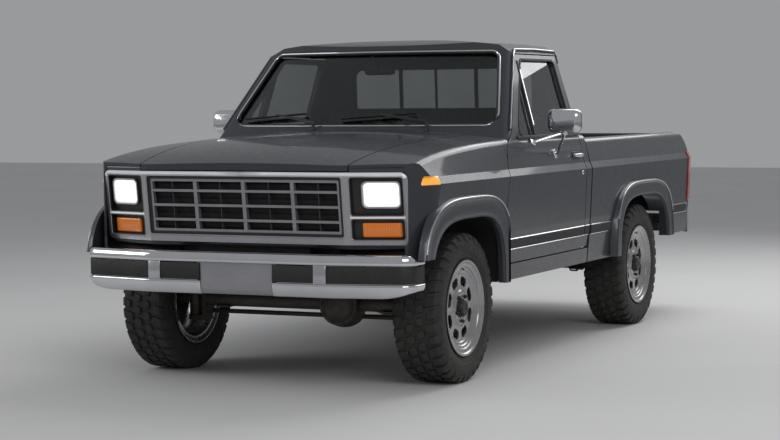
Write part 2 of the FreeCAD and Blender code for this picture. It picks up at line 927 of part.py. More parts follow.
def make_cab():
    gap = s.panel_gap
    wall = s.wall_thickness
    firewall = along(s.firewall_reach)
    floor_base = s.cab_floor_height - s.cab_floor_thickness
    outer = cab_solid(0, floor_base, firewall, 0)
    inner = cab_solid(wall, s.cab_floor_height, firewall + s.firewall_thickness, wall)
    shell = outer.cut(inner).cut(fender_zone(gap))
    plan = hood_plan(0, s.hood_hinge_reach, s.cowl_reach)
    cowl = nose(0, floor_base).cut(nose(wall, floor_base)).common(plan).cut(hood_swing(gap)).cut(inner)
    sill_top = s.door_sill_height - gap
    sill_inner = s.flank_half_width - 2 * s.door_thickness
    sill_step = s.rocker_half_width - s.door_thickness - gap
    start = along(s.door_front_reach)
    rear = along(s.cab_rear_reach)
    sill = body_run(0, start, rear, s.rocker_height, s.belt_height).common(
        block(sill_inner, s.crease_half_width, start, rear, 0, sill_top))
    kerb = block(sill_inner, sill_step, start, rear, s.rocker_height, s.cab_floor_height)
    post = block(sill_inner, sill_step, firewall, firewall + s.door_thickness, sill_top, s.post_top_height)
    halves = [sill, kerb, post, hood_bracket()]
    body = joined([shell, cowl, seat_plinth()] + halves + [mirrored(piece) for piece in halves])
    opening = door_region(gap).cut(block(0, sill_step, start, rear, 0, s.cab_floor_height)).cut(post)
    body = body.cut(opening).cut(mirrored(opening))
    body = body.cut(windshield_region(0)).cut(rear_window_region(0))
    barrels = joined([door_barrel(sill_step, height) for height in door_hinge_heights()])
    feature("cab_shell", joined([body, barrels, mirrored(barrels)]))


def door_hinge_heights():
    return s.door_low_hinge_height, s.door_high_hinge_height


def door_hinge_point(height):
    return V(s.door_hinge_half_width, along(s.door_front_reach) + s.door_hinge_inset, height)


def door_barrel(post_x, height):
    """A door hinge's bored barrel and the arm that carries it on the cab's front post."""
    low = door_hinge_point(height - s.door_hinge_rise / 2)
    high = door_hinge_point(height + s.door_hinge_rise / 2)
    radius = s.door_barrel_radius
    arm = block(post_x - radius, low.x, low.y - radius / 2, low.y + radius, low.z, high.z)
    bore = rod(low, high, s.door_pin_radius + s.seat_clearance)
    return rod(low, high, radius).fuse(arm).cut(bore)


def side_half_width(height):
    """The body side's distance from the middle at a height."""
    points = flank_points(0, s.rocker_height) + [(s.belt_half_width, s.belt_height)]
    for (x0, z0), (x1, z1) in zip(points, points[1:]):
        if height <= z1:
            return x0 + (x1 - x0) * (height - z0) / (z1 - z0)
    return s.belt_half_width


def door_sweep(gap):
    """The room that the leaning part of the door's front edge sweeps about its hinge."""
    hinge = door_hinge_point(0)
    front = along(s.door_front_reach) - s.door_edge_margin
    lean = (along(s.door_lean_reach) - front) / (s.door_lean_height - s.door_kink_height)
    rise = (hinge.y - front) / lean
    profile = [V(hinge.x, hinge.y, s.door_kink_height)]
    heights = [s.door_kink_height + rise * step / SWEEP_STEPS for step in range(SWEEP_STEPS + 1)]
    for height in sorted(heights + [s.crease_height]):
        ahead = hinge.y - front - (height - s.door_kink_height) * lean
        radius = min(s.door_hinge_inset, math.hypot(side_half_width(height) - hinge.x, ahead)) + gap
        profile.append(V(hinge.x + radius, hinge.y, height))
    top = s.door_kink_height + rise + 2 * gap / lean
    profile += [V(hinge.x + 2 * gap, hinge.y, top), V(hinge.x, hinge.y, top)]
    wire = Part.makePolygon(profile + profile[:1])
    return Part.Face(wire).revolve(hinge, V(0, 0, 1), FULL_TURN)


def door_pocket(height):
    """The room in the door's front edge that its hinge takes while the door swings."""
    point = door_hinge_point(height)
    rise = s.door_hinge_rise / 2 + s.swing_gap
    rear = point.y + s.door_barrel_radius + s.swing_gap
    return block(0, point.x + s.door_barrel_radius + s.swing_gap, rear - 2 * s.door_hinge_inset, rear,
                 point.z - rise, point.z + rise)


def door_pin(height):
    reach = s.door_hinge_rise
    return rod(door_hinge_point(height - reach), door_hinge_point(height + reach), s.door_pin_radius)


def hood_hinge_point(x):
    return V(x, along(s.hood_hinge_reach), s.hood_hinge_height)


def hood_bracket():
    """The arm ahead of the firewall that carries a hood hinge's pin."""
    x = s.hood_bracket_half_width
    radius = s.hood_lug_radius
    point = hood_hinge_point(x)
    arm = block(x, x + s.hood_bracket_width, point.y - radius, along(s.firewall_reach) + s.firewall_thickness / 2,
                point.z - radius, point.z + radius)
    return arm.fuse(rod(hood_hinge_point(s.hood_lug_half_width), hood_hinge_point(x + s.hood_bracket_width / 2),
                        s.hood_pin_radius))


def fender_zone(gap):
    """The layer ahead of the doors that the two front fenders fill, with the gap inside them."""
    wide = s.crease_half_width
    layer = nose(0, s.rocker_height).cut(nose(s.skin_thickness + gap, s.rocker_height))
    above = block(-wide, wide, along(s.nose_reach), along(s.cowl_reach), s.door_sill_height, s.roof_height)
    plan = hood_plan(0, s.nose_reach - s.cut_overrun, s.cowl_reach + s.cut_overrun)
    return layer.common(above).cut(plan).cut(glasshouse(0))


def make_cab_glass():
    clearance = s.seat_clearance
    pane = glasshouse(s.glass_inset).cut(glasshouse(s.glass_inset + s.glass_thickness))
    front = pane.common(windshield_region(clearance))
    rear = pane.common(rear_window_region(clearance))
    feature("cab_glass", together([front, rear]))


def make_doors():
    firewall = along(s.hood_hinge_reach)
    outer = cab_solid(0, s.rocker_height, firewall, 0)
    inner = cab_solid(s.door_thickness, s.rocker_height - s.cut_overrun, firewall - s.cut_overrun,
                      s.door_frame_thickness)
    door = outer.cut(inner).common(door_region(0)).cut(window_region(0))
    for height in door_hinge_heights():
        door = door.cut(door_pocket(height)).fuse(door_pin(height))
    door = door.removeSplitter()
    pane = glasshouse(s.glass_inset).cut(glasshouse(s.glass_inset + s.glass_thickness))
    glass = pane.common(window_region(s.seat_clearance))
    for side, turn in (("left", lambda shape: shape), ("right", mirrored)):
        feature("door_" + side, turn(door))
        feature("door_glass_" + side, turn(glass))


# Nose panels

def make_hood():
    shell = nose(0, s.surround_base_height).cut(nose(s.hood_thickness, 0))
    lip = s.surround_top_height + s.hood_lip_gap
    wide = s.crease_half_width
    above = block(-wide, wide, along(s.nose_reach) - s.cut_overrun, along(s.cowl_reach), lip,
                  s.glasshouse_top_height)
    plan = hood_plan(0, s.nose_reach - s.cut_overrun, s.cowl_reach)
    lid = shell.common(plan).common(above).common(hood_swing(0))
    radius = s.hood_lug_radius
    x = s.hood_lug_half_width
    axis_y = hood_hinge_point(x).y
    lug = block(x, x + s.hood_lug_width, axis_y - radius, axis_y + radius, s.hood_hinge_height - radius,
                s.glasshouse_top_height)
    lug = lug.common(nose(s.hood_thickness / 2, s.surround_base_height))
    lug = lug.cut(rod(hood_hinge_point(0), hood_hinge_point(wide), s.hood_pin_radius + s.seat_clearance))
    feature("hood", joined([lid, lug, mirrored(lug)]))


def make_fenders():
    gap = s.panel_gap
    skin = s.skin_thickness
    shell = nose(0, s.rocker_height).cut(nose(skin, 0, open_front=True))
    wide = s.mirror_outer_half_width
    left = block(0, wide, along(s.nose_reach) - s.cut_overrun, along(s.cowl_reach), 0,
                 s.glasshouse_top_height)
    low_front = block(0, wide, along(s.nose_reach) - s.cut_overrun, front_axle, 0, s.fender_chin_height)
    face = block(0, s.nose_corner_half_width - skin, along(s.nose_reach) - s.cut_overrun,
                 along(s.nose_corner_reach), 0, s.surround_top_height + s.hood_lip_gap)
    panel = shell.common(left).cut(hood_plan(gap, s.nose_reach - s.cut_overrun, s.cowl_reach))
    panel = panel.cut(glasshouse(-gap)).cut(door_region(gap)).cut(low_front).cut(face)
    rear_line = block(0, wide, along(s.door_front_reach) - gap, along(s.cowl_reach), 0, s.door_kink_height)
    panel = panel.cut(rear_line).cut(door_sweep(s.swing_gap))
    marker = marker_block(s.seat_clearance)
    inner = s.flare_half_width - s.flare_root
    flare = Part.makeLoft(
        [arch_wire(s.flare_width, inner), arch_wire(s.flare_width - s.flare_edge, s.flare_half_width)],
        True, True)
    behind = block(0, wide, along(s.nose_corner_reach), along(s.door_front_reach) - gap,
                   s.rocker_height, s.glasshouse_top_height)
    panel = panel.fuse(flare.common(behind).cut(nose(skin, 0, open_front=True))).cut(low_front)
    panel = panel.cut(front_arch(0, s.liner_inner_half_width, wide)).cut(marker)
    panel = largest(panel.cut(surround_room(s.fit_gap)))
    feature("front_fender_left", panel)
    feature("front_fender_right", mirrored(panel))
    liner = front_arch(s.liner_gap + s.liner_thickness, s.liner_inner_half_width, wide)
    liner = liner.cut(front_arch(s.liner_gap, 0, wide)).common(nose(skin + s.seat_clearance, s.rocker_height))
    liner = liner.cut(low_front)
    feature("inner_fenders", together([liner, mirrored(liner)]))


def arch_wire(outset, x, reach=0):
    """The outline of a wheel opening at one distance across, for lofting a flare."""
    solid = (front_arch if reach == 0 else rear_arch)(outset, x, x + s.flare_edge)
    faces = [face for face in solid.Faces if abs(face.CenterOfMass.x - x) < SAME_POINT]
    return faces[0].OuterWire


def largest(shape):
    """The biggest solid of a shape, without the slivers that a cut left."""
    return max(shape.Solids, key=lambda solid: solid.Volume)


def marker_block(grow):
    """The side marker lamp's place in the front fender."""
    return block(
        s.flank_half_width - s.lamp_depth / 2 - grow, s.crease_half_width + s.lamp_proud,
        along(s.marker_front_reach) - grow, along(s.marker_rear_reach) + grow,
        s.marker_base_height - grow, s.marker_top_height + grow)


# Cargo box

def make_cargo_box():
    start = along(s.cab_rear_reach) + s.cab_box_gap
    rear = along(s.box_rear_reach)
    wall = s.wall_thickness
    wide = s.mirror_outer_half_width
    inner_x = s.box_inner_half_width
    floor_base = s.box_floor_height - s.box_floor_thickness
    side = body_run(0, start, rear, s.rocker_height, s.box_rail_height)
    side = side.common(block(inner_x, wide, start, rear, 0, s.roof_height))
    below = body_run(wall, start - wall, rear - wall, s.rocker_height - wall, s.box_rail_height)
    side = side.cut(below.common(block(0, wide, start - wall, rear - wall, 0, floor_base)))
    side = side.common(silhouette_wide(start, rear))
    behind = block(inner_x, wide, rear_axle, rear, 0, s.box_tail_foot_height)
    inner = s.flare_half_width - s.flare_root
    flare = Part.makeLoft(
        [arch_wire(s.flare_width, inner, s.wheelbase),
         arch_wire(s.flare_width - s.flare_edge, s.flare_half_width, s.wheelbase)], True, True)
    above = block(inner_x, wide, start, rear, s.rocker_height, s.roof_height)
    side = side.fuse(flare.common(above)).cut(behind).cut(rear_arch(0, 0, wide))
    post = block(
        s.tailgate_half_width + s.panel_gap, inner_x + wall, rear - 2 * s.tailgate_thickness, rear,
        s.tailgate_base_height, s.box_rail_height)
    side = side.fuse(post.common(silhouette_wide(start, rear))).cut(tail_lamp_block(s.seat_clearance))
    side = side.fuse(rod(gate_hinge_point(s.tailgate_half_width - s.gate_pin_length),
                         gate_hinge_point(inner_x), s.gate_pin_radius))
    side = largest(side.removeSplitter())
    feature("box_side_left", side)
    feature("box_side_right", mirrored(side))

    clearance = s.seat_clearance
    edge = inner_x - clearance
    gate_front = rear - s.tailgate_rear_inset - s.tailgate_thickness
    floor = block(-edge, edge, start, gate_front - s.gate_floor_gap, floor_base, s.box_floor_height)
    front_wall = block(
        -edge, edge, start, start + s.box_front_thickness, s.box_floor_height,
        s.box_rail_height - s.box_rail_depth)
    house = wheelhouse(0)
    void = wheelhouse(-s.wheelhouse_thickness)
    floor = joined([floor, front_wall, house, mirrored(house)]).cut(void).cut(mirrored(void))
    posts = block(
        s.tailgate_half_width + s.panel_gap - clearance, wide, rear - 2 * s.tailgate_thickness - clearance,
        rear, 0, s.roof_height)
    floor = floor.cut(posts).cut(mirrored(posts))
    feature("cargo_floor", floor)

    gate = block(
        -s.tailgate_half_width, s.tailgate_half_width, gate_front, rear - s.tailgate_rear_inset,
        s.tailgate_base_height, s.box_rail_height - s.tailgate_top_drop)
    socket = rod(gate_hinge_point(s.tailgate_half_width - s.gate_pin_length - s.fit_gap),
                 gate_hinge_point(inner_x), s.gate_pin_radius + s.seat_clearance)
    feature("tailgate", gate.cut(socket).cut(mirrored(socket)))


def gate_hinge_point(x):
    front = along(s.box_rear_reach) - s.tailgate_rear_inset - s.tailgate_thickness
    return V(x, front + s.gate_pin_front_inset, s.tailgate_base_height + s.tailgate_hinge_rise)


def silhouette_wide(start, rear):
    """The cargo box's side silhouette, as a prism over its whole width."""
    return side_prism(
        [(start, 0), (rear, 0), (rear, s.box_rail_height), (start, s.box_rail_height)],
        [0, 0, s.box_tail_radius, 0], 0, s.mirror_outer_half_width)


def wheelhouse(outset):
    """The round-topped box over a rear wheel, on the left."""
    length = s.wheelhouse_half_length + outset
    top = s.wheelhouse_height + outset
    low = s.box_floor_height - s.box_floor_thickness if outset == 0 else s.rocker_height
    return side_prism(
        [(rear_axle - length, low), (rear_axle + length, low), (rear_axle + length, top),
         (rear_axle - length, top)],
        [0, 0, s.box_tail_radius, s.box_tail_radius],
        s.wheelhouse_half_width - outset, s.box_inner_half_width - s.seat_clearance)


def tail_lamp_block(grow):
    rear = along(s.box_rear_reach)
    return block(
        s.tail_lamp_inner_half_width - grow, s.mirror_outer_half_width, rear - s.tail_lamp_depth - grow,
        rear + s.lamp_proud, s.tail_lamp_base_height - grow, s.tail_lamp_top_height + grow)


# Front face

def face_line(setback):
    """The front face seen from above, set back by a distance: bowed middle, swept ends."""
    corner_x = s.bezel_reach_half_width
    middle_x = s.nose_bend_half_width
    sweep = (s.nose_corner_reach - s.nose_reach) / (corner_x - middle_x)
    end_x = corner_x + s.face_overrun
    return [
        (end_x, along(s.nose_corner_reach) + s.face_overrun * sweep + setback),
        (middle_x, along(s.nose_reach) + setback),
    ]


def face_slab(setback, thickness):
    """A slab that follows the front face, leaning back towards its foot."""
    wires = []
    slope = s.surround_lean / (s.surround_top_height - s.surround_base_height)
    for height in (s.surround_base_height - s.face_overrun, s.surround_top_height + s.face_overrun):
        lean = (s.surround_top_height - height) * slope
        front = face_line(setback + lean)
        rear = face_line(setback + lean + thickness)
        loop = front + [(-a, b) for a, b in reversed(front)] + [(-a, b) for a, b in rear] + list(reversed(rear))
        wires.append(outline(loop, 0, top_view(height)))
    return Part.makeLoft(wires, True, True)


def face_prism(x0, x1, z0, z1, radius):
    """A rounded rectangle seen from ahead, run through the front face."""
    start = along(s.nose_reach) - s.cut_overrun
    end = along(s.nose_turn_reach) + s.cut_overrun
    return front_prism([(x0, z0), (x1, z0), (x1, z1), (x0, z1)], radius, start, end)


def lamp_prism(half_width, height, width, rise, grow):
    return face_prism(
        half_width - width / 2 - grow, half_width + width / 2 + grow,
        height - rise / 2 - grow, height + rise / 2 + grow, s.headlamp_radius)


def surround_room(gap):
    """The room that the grille's surround takes, with a gap round it."""
    half = s.bezel_reach_half_width + gap
    plate = face_prism(
        -half, half, s.surround_base_height - gap, s.surround_top_height + gap, s.surround_corner_radius)
    return face_slab(-s.cut_overrun, s.cut_overrun + s.surround_thickness + gap).common(plate)


def make_front_face():
    hw = s.bezel_reach_half_width
    surround = face_slab(0, s.surround_thickness).common(
        face_prism(-hw, hw, s.surround_base_height, s.surround_top_height, s.surround_corner_radius))
    grille_hole = face_prism(
        -s.grille_half_width, s.grille_half_width, s.grille_base_height, s.grille_top_height, s.grille_radius)
    surround = surround.cut(grille_hole)
    pocket = face_slab(-s.cut_overrun, s.cut_overrun + s.bezel_depth)
    for low, high in (
            (s.headlamp_bezel_base_height, s.grille_top_height),
            (s.turn_bezel_base_height, s.turn_bezel_top_height)):
        window = face_prism(s.bezel_inner_half_width, s.bezel_outer_half_width, low, high, s.grille_radius)
        cut = pocket.common(window)
        surround = surround.cut(cut).cut(mirrored(cut))
    feature("grille_surround", surround)

    depth = s.bezel_depth - s.bezel_recess - s.seat_clearance
    lamp_slab = face_slab(s.bezel_recess, depth)
    lamp = lamp_slab.common(
        lamp_prism(s.headlamp_half_width, s.headlamp_height, s.headlamp_width, s.headlamp_rise, 0))
    feature("headlamps", together([lamp, mirrored(lamp)]))
    turn = lamp_slab.common(
        lamp_prism(s.turn_lamp_half_width, s.turn_lamp_height, s.turn_lamp_width, s.turn_lamp_rise, 0))
    marker = marker_block(0).common(nose(-s.lamp_proud, s.rocker_height))
    feature("amber_lamps", together([turn, mirrored(turn), marker, mirrored(marker)]))
    tail = tail_lamp_block(0).common(
        body_run(-s.lamp_proud, rear_axle, along(s.box_rear_reach) + s.lamp_proud, s.rocker_height,
                 s.box_rail_height))
    feature("tail_lamps", together([tail, mirrored(tail)]))
    make_grille()


def make_grille():
    """A frame with three level bars and three posts, following the front face."""
    x = s.grille_half_width - s.seat_clearance
    z0 = s.grille_base_height + s.seat_clearance
    z1 = s.grille_top_height - s.seat_clearance
    whole = face_prism(-x, x, z0, z1, s.grille_radius)
    frame = s.grille_frame
    pieces = [whole]
    opening = face_prism(-x + frame, x - frame, z0 + frame, z1 - frame, s.grille_radius / 2)
    lattice = []
    for row in range(1, GRILLE_ROWS):
        z = z0 + (z1 - z0) * row / GRILLE_ROWS
        lattice.append(block(-x, x, along(s.nose_reach) - s.cut_overrun, along(s.nose_turn_reach),
                             z - s.grille_bar / 2, z + s.grille_bar / 2))
    for column in range(1, GRILLE_COLUMNS):
        post = -x + 2 * x * column / GRILLE_COLUMNS
        lattice.append(block(post - s.grille_post / 2, post + s.grille_post / 2,
                             along(s.nose_reach) - s.cut_overrun, along(s.nose_turn_reach), z0, z1))
    pattern = joined([pieces[0].cut(opening)] + lattice)
    slab = face_slab(s.grille_gap, s.grille_depth - s.grille_gap)
    feature("grille", slab.common(pattern))


# Bumpers

def bumper_plan(inset, low, high):
    """The front bumper seen from above: bowed front, corners turned back along the sides."""
    end = along(s.bumper_end_reach) + (s.cut_overrun if inset else 0)
    x = s.bumper_half_width - inset
    points = [
        (x, end),
        (x, along(s.bumper_corner_reach) + inset),
        (s.bumper_bend_half_width, -overall / 2 + inset),
    ]
    radii = [0, s.bumper_corner_radius - inset, s.nose_bend_radius]
    return top_prism(both_sides(points), both_radii(radii), low, high)


def make_front_bumper():
    low = s.bumper_base_height
    high = s.bumper_top_height
    skin = s.bumper_skin
    bar = bumper_plan(0, low, high).cut(bumper_plan(s.bumper_thickness, low, high))
    bar = bar.cut(bumper_plan(s.bumper_groove_depth + skin, low + skin, high - skin))
    band = bumper_plan(0, s.bumper_groove_base_height, s.bumper_groove_top_height)
    groove = band.cut(bumper_plan(s.bumper_groove_depth, s.bumper_groove_base_height, s.bumper_groove_top_height))
    wide = s.mirror_outer_half_width
    front = -overall / 2
    rear = along(s.bumper_end_reach) + s.cut_overrun
    plate = block(-s.bumper_plate_half_width, s.bumper_plate_half_width, front, rear, low, high)
    pad = block(
        s.bumper_pad_half_width - s.bumper_pad_width / 2, s.bumper_pad_half_width + s.bumper_pad_width / 2,
        front, rear, low, high)
    end_block = block(s.bumper_half_width - skin, wide, along(s.bumper_strip_end_reach), rear, low, high)
    keep_out = [plate, pad, mirrored(pad), end_block, mirrored(end_block)]
    for piece in keep_out:
        groove = groove.cut(piece)
    corner = front_prism(
        [(s.bumper_half_width - s.bumper_corner_cut, low), (wide, low),
         (wide, low + s.bumper_corner_rise), (s.bumper_half_width, low + s.bumper_corner_rise)],
        0, front, rear)
    feature("front_bumper", bar.cut(groove).cut(corner).cut(mirrored(corner)))
    gap = s.seat_clearance
    strip = bumper_plan(s.bumper_groove_depth - s.strip_thickness, s.bumper_groove_base_height + gap,
                        s.bumper_groove_top_height - gap)
    strip = strip.cut(bumper_plan(s.bumper_groove_depth - gap, low, high))
    grown = [
        block(-s.bumper_plate_half_width - gap, s.bumper_plate_half_width + gap, front, rear, low, high),
        block(s.bumper_pad_half_width - s.bumper_pad_width / 2 - gap,
              s.bumper_pad_half_width + s.bumper_pad_width / 2 + gap, front, rear, low, high),
        block(s.bumper_half_width - s.bumper_groove_depth - gap, wide, along(s.bumper_strip_end_reach) - gap,
              rear, low, high),
    ]
    for piece in grown:
        strip = strip.cut(piece).cut(mirrored(piece))
    feature("bumper_strips", together(strip.Solids))


def make_rear_bumper():
    """A step bumper: a hollow bar with a lower step in its middle, bored for a tow ball."""
    x = s.rear_bumper_half_width
    front = overall / 2 - s.rear_bumper_depth
    rear = overall / 2
    skin = s.rear_bumper_skin
    low = s.rear_bumper_base_height
    high = s.rear_bumper_top_height
    bar = top_prism(
        [(-x, front), (x, front), (x, rear), (-x, rear)],
        [0, 0, s.rear_bumper_corner_radius, s.rear_bumper_corner_radius], low, high)
    void = top_prism(
        [(-x + skin, front - skin), (x - skin, front - skin), (x - skin, rear - skin), (-x + skin, rear - skin)],
        [0, 0, s.rear_bumper_corner_radius - skin, s.rear_bumper_corner_radius - skin], low - skin, high - skin)
    step_top = (low + high) / 2
    step_x = s.rear_bumper_step_half_width
    notch = block(-step_x, step_x, front - skin, rear + skin, step_top, high + skin)
    step = block(-step_x, step_x, front, rear, step_top - skin, step_top)
    bar = bar.cut(void).cut(notch).fuse(step)
    hole = rod(V(0, (front + rear) / 2, 0), V(0, (front + rear) / 2, high), s.tow_ball_hole_radius)
    feature("rear_bumper", bar.cut(hole).removeSplitter())


# Frame and what it carries

def make_frame():
    clearance = s.seat_clearance
    rise = s.rail_rise
    cab_top = s.cab_floor_height - s.cab_floor_thickness - clearance
    box_top = s.box_floor_height - s.box_floor_thickness - clearance
    front_top = s.rail_front_base_height + rise
    front = -overall / 2
    rear = along(s.rail_end_reach)
    bumper_face = overall / 2 - s.rear_bumper_depth - clearance
    top_line = [
        (front, front_top),
        (along(s.rail_drop_reach), front_top),
        (along(s.firewall_reach), cab_top),
        (along(s.rail_kick_start_reach), cab_top),
        (along(s.rail_kick_end_reach), box_top),
        (rear, box_top),
    ]
    points = top_line + [(a, b - rise) for a, b in reversed(top_line)]
    outer = s.rail_outer_half_width
    rail = side_prism(points, 0, outer - s.rail_width, outer)
    inner = outer - s.rail_width
    behind = block(0, s.mirror_outer_half_width, along(s.bumper_end_reach), bumper_face, 0, s.roof_height)
    rail = rail.common(bumper_plan(s.bumper_thickness + s.panel_gap, 0, s.roof_height).fuse(behind))
    horn = block(inner, outer, front, along(s.rail_front_reach) + s.crossmember_width,
                 s.bumper_base_height + s.bracket_inset, s.bumper_top_height - s.bracket_inset)
    horn = horn.common(bumper_plan(s.bumper_groove_depth + s.bumper_skin + clearance, 0, s.roof_height))
    rear_bracket = block(inner, outer, rear - s.crossmember_width, bumper_face, box_top - rise,
                         s.rear_bumper_top_height - s.panel_gap)
    members = []
    for reach, base in (
            (s.rail_front_reach, s.rail_front_base_height),
            (s.rail_middle_reach, cab_top - s.crossmember_rise),
            (s.rail_kick_start_reach - s.crossmember_width, cab_top - s.crossmember_rise),
            (s.rail_rear_member_reach, box_top - rise)):
        start = along(reach)
        members.append(block(-inner, inner, start, start + s.crossmember_width, base, base + s.crossmember_rise))
    tower = block(
        outer, s.coil_half_width + s.coil_radius, front_axle - s.coil_radius, front_axle + s.coil_radius,
        front_top - s.leaf_thickness, front_top)
    halves = [rail, horn, rear_bracket, tower]
    feature("ladder_frame", joined(halves + [mirrored(piece) for piece in halves] + members))


def make_wheels():
    """Tyres and steel wheels, turned about their axles; the disc has a ring of windows."""
    tyre = tyre_solid()
    rim = rim_solid()
    for row, y in (("front", front_axle), ("rear", rear_axle)):
        for side, sign in (("left", 1), ("right", -1)):
            place = V(sign * s.track_half_width, y, s.wheel_radius)
            feature(f"tyre_{row}_{side}", tyre if sign > 0 else mirrored(tyre), place)
            feature(f"rim_{row}_{side}", rim if sign > 0 else mirrored(rim), place)


def turned(points):
    """A solid turned about the wheel's axle from a section given as (across, radius)."""
    wire = Part.makePolygon([V(a, 0, b) for a, b in points + points[:1]])
    return Part.Face(wire).revolve(V(0, 0, 0), V(1, 0, 0), FULL_TURN)


def tyre_solid():
    """A tyre in flat facets, its shoulders cut into lugs."""
    turn = 2 * math.pi / TYRE_FACETS
    bead_x = s.rim_half_width - s.rim_flange_width - s.seat_clearance
    bead = (s.barrel_radius + s.seat_clearance) / math.cos(turn / 2)
    section = [
        (bead_x, bead),
        (bead_x, (s.rim_flange_radius + s.seat_clearance) / math.cos(turn / 2)),
        (s.tyre_half_width, s.tyre_bulge_radius),
        (s.tyre_half_width - s.rim_flange_width / 2, s.tyre_shoulder_radius),
        (s.tread_half_width, s.wheel_radius),
    ]
    section += [(-a, b) for a, b in reversed(section)]
    rings = []
    for a, b in section + section[:1]:
        angles = [turn * step - math.pi / 2 for step in range(TYRE_FACETS + 1)]
        rings.append([V(a, b * math.cos(angle), b * math.sin(angle)) for angle in angles])
    faces = []
    for one, other in zip(rings, rings[1:]):
        for a, b, c, d in zip(one, one[1:], other[1:], other):
            faces.append(Part.Face(Part.makePolygon([a, b, c, d, a])))
    tyre = Part.makeSolid(Part.makeShell(faces))
    if tyre.Volume < 0:
        tyre.reverse()
    notches = []
    groove = front_prism(
        [(s.lug_inner_half_width, s.wheel_radius - s.lug_depth),
         (s.tyre_half_width + s.lug_width, s.lug_foot_radius),
         (s.tyre_half_width + s.lug_width, s.wheel_radius + s.lug_depth),
         (s.lug_inner_half_width, s.wheel_radius + s.lug_depth)],
        0, -s.lug_gap / 2, s.lug_gap / 2)
    for step in range(TYRE_FACETS):
        notch = groove.copy()
        notch.rotate(V(0, 0, 0), V(1, 0, 0), math.degrees(turn) * step)
        notches += [notch, mirrored(notch)]
    return tyre.cut(together(notches))


def rim_solid():
    half = s.rim_half_width
    flange = s.rim_flange_width
    outer = s.barrel_radius
    inner = outer - s.barrel_thickness
    section = [
        (half, inner + flange),
        (half, s.rim_flange_radius),
        (half - flange, s.rim_flange_radius),
        (half - flange, outer),
        (-half + flange, outer),
        (-half + flange, s.rim_flange_radius),
        (-half, s.rim_flange_radius),
        (-half, inner),
        (half - flange, inner),
    ]
    barrel = turned(section)
    offset = s.disc_offset
    face = [
        (offset + 2 * s.disc_step, inner + s.seat_clearance),
        (offset + 2 * s.disc_step, s.disc_outer_step_radius),
        (offset + s.disc_step, s.disc_outer_step_radius - s.disc_step),
        (offset + s.disc_step, s.disc_inner_step_radius),
        (offset, s.disc_inner_step_radius - s.disc_step),
        (offset, s.disc_hub_radius),
        (offset + s.disc_step, s.disc_hub_radius - s.disc_step),
        (offset + s.disc_step, s.hub_radius),
    ]
    disc = turned(face + [(a - s.disc_thickness, b) for a, b in reversed(face)])
    hub = rod(V(offset - s.hub_length, 0, 0), V(offset + s.hub_length / 2, 0, 0), s.hub_radius)
    rotor = rod(V(offset - s.hub_length, 0, 0), V(offset - s.hub_length + s.brake_disc_thickness, 0, 0),
                s.brake_disc_radius)
    bore = rod(V(offset - s.hub_length, 0, 0), V(offset - s.disc_thickness, 0, 0),
               s.spindle_radius + s.seat_clearance)
    wheel = joined([barrel, disc, hub, rotor]).cut(bore)
    for index in range(WHEEL_WINDOWS):
        window = side_prism(
            [(-s.disc_window_inner_width / 2, s.disc_window_inner_radius),
             (s.disc_window_inner_width / 2, s.disc_window_inner_radius),
             (s.disc_window_outer_width / 2, s.disc_window_outer_radius),
             (-s.disc_window_outer_width / 2, s.disc_window_outer_radius)],
            s.disc_window_corner_radius, offset - s.disc_thickness, half)
        window.rotate(V(0, 0, 0), V(1, 0, 0), FULL_TURN * index / WHEEL_WINDOWS)
        wheel = wheel.cut(window)
    return wheel


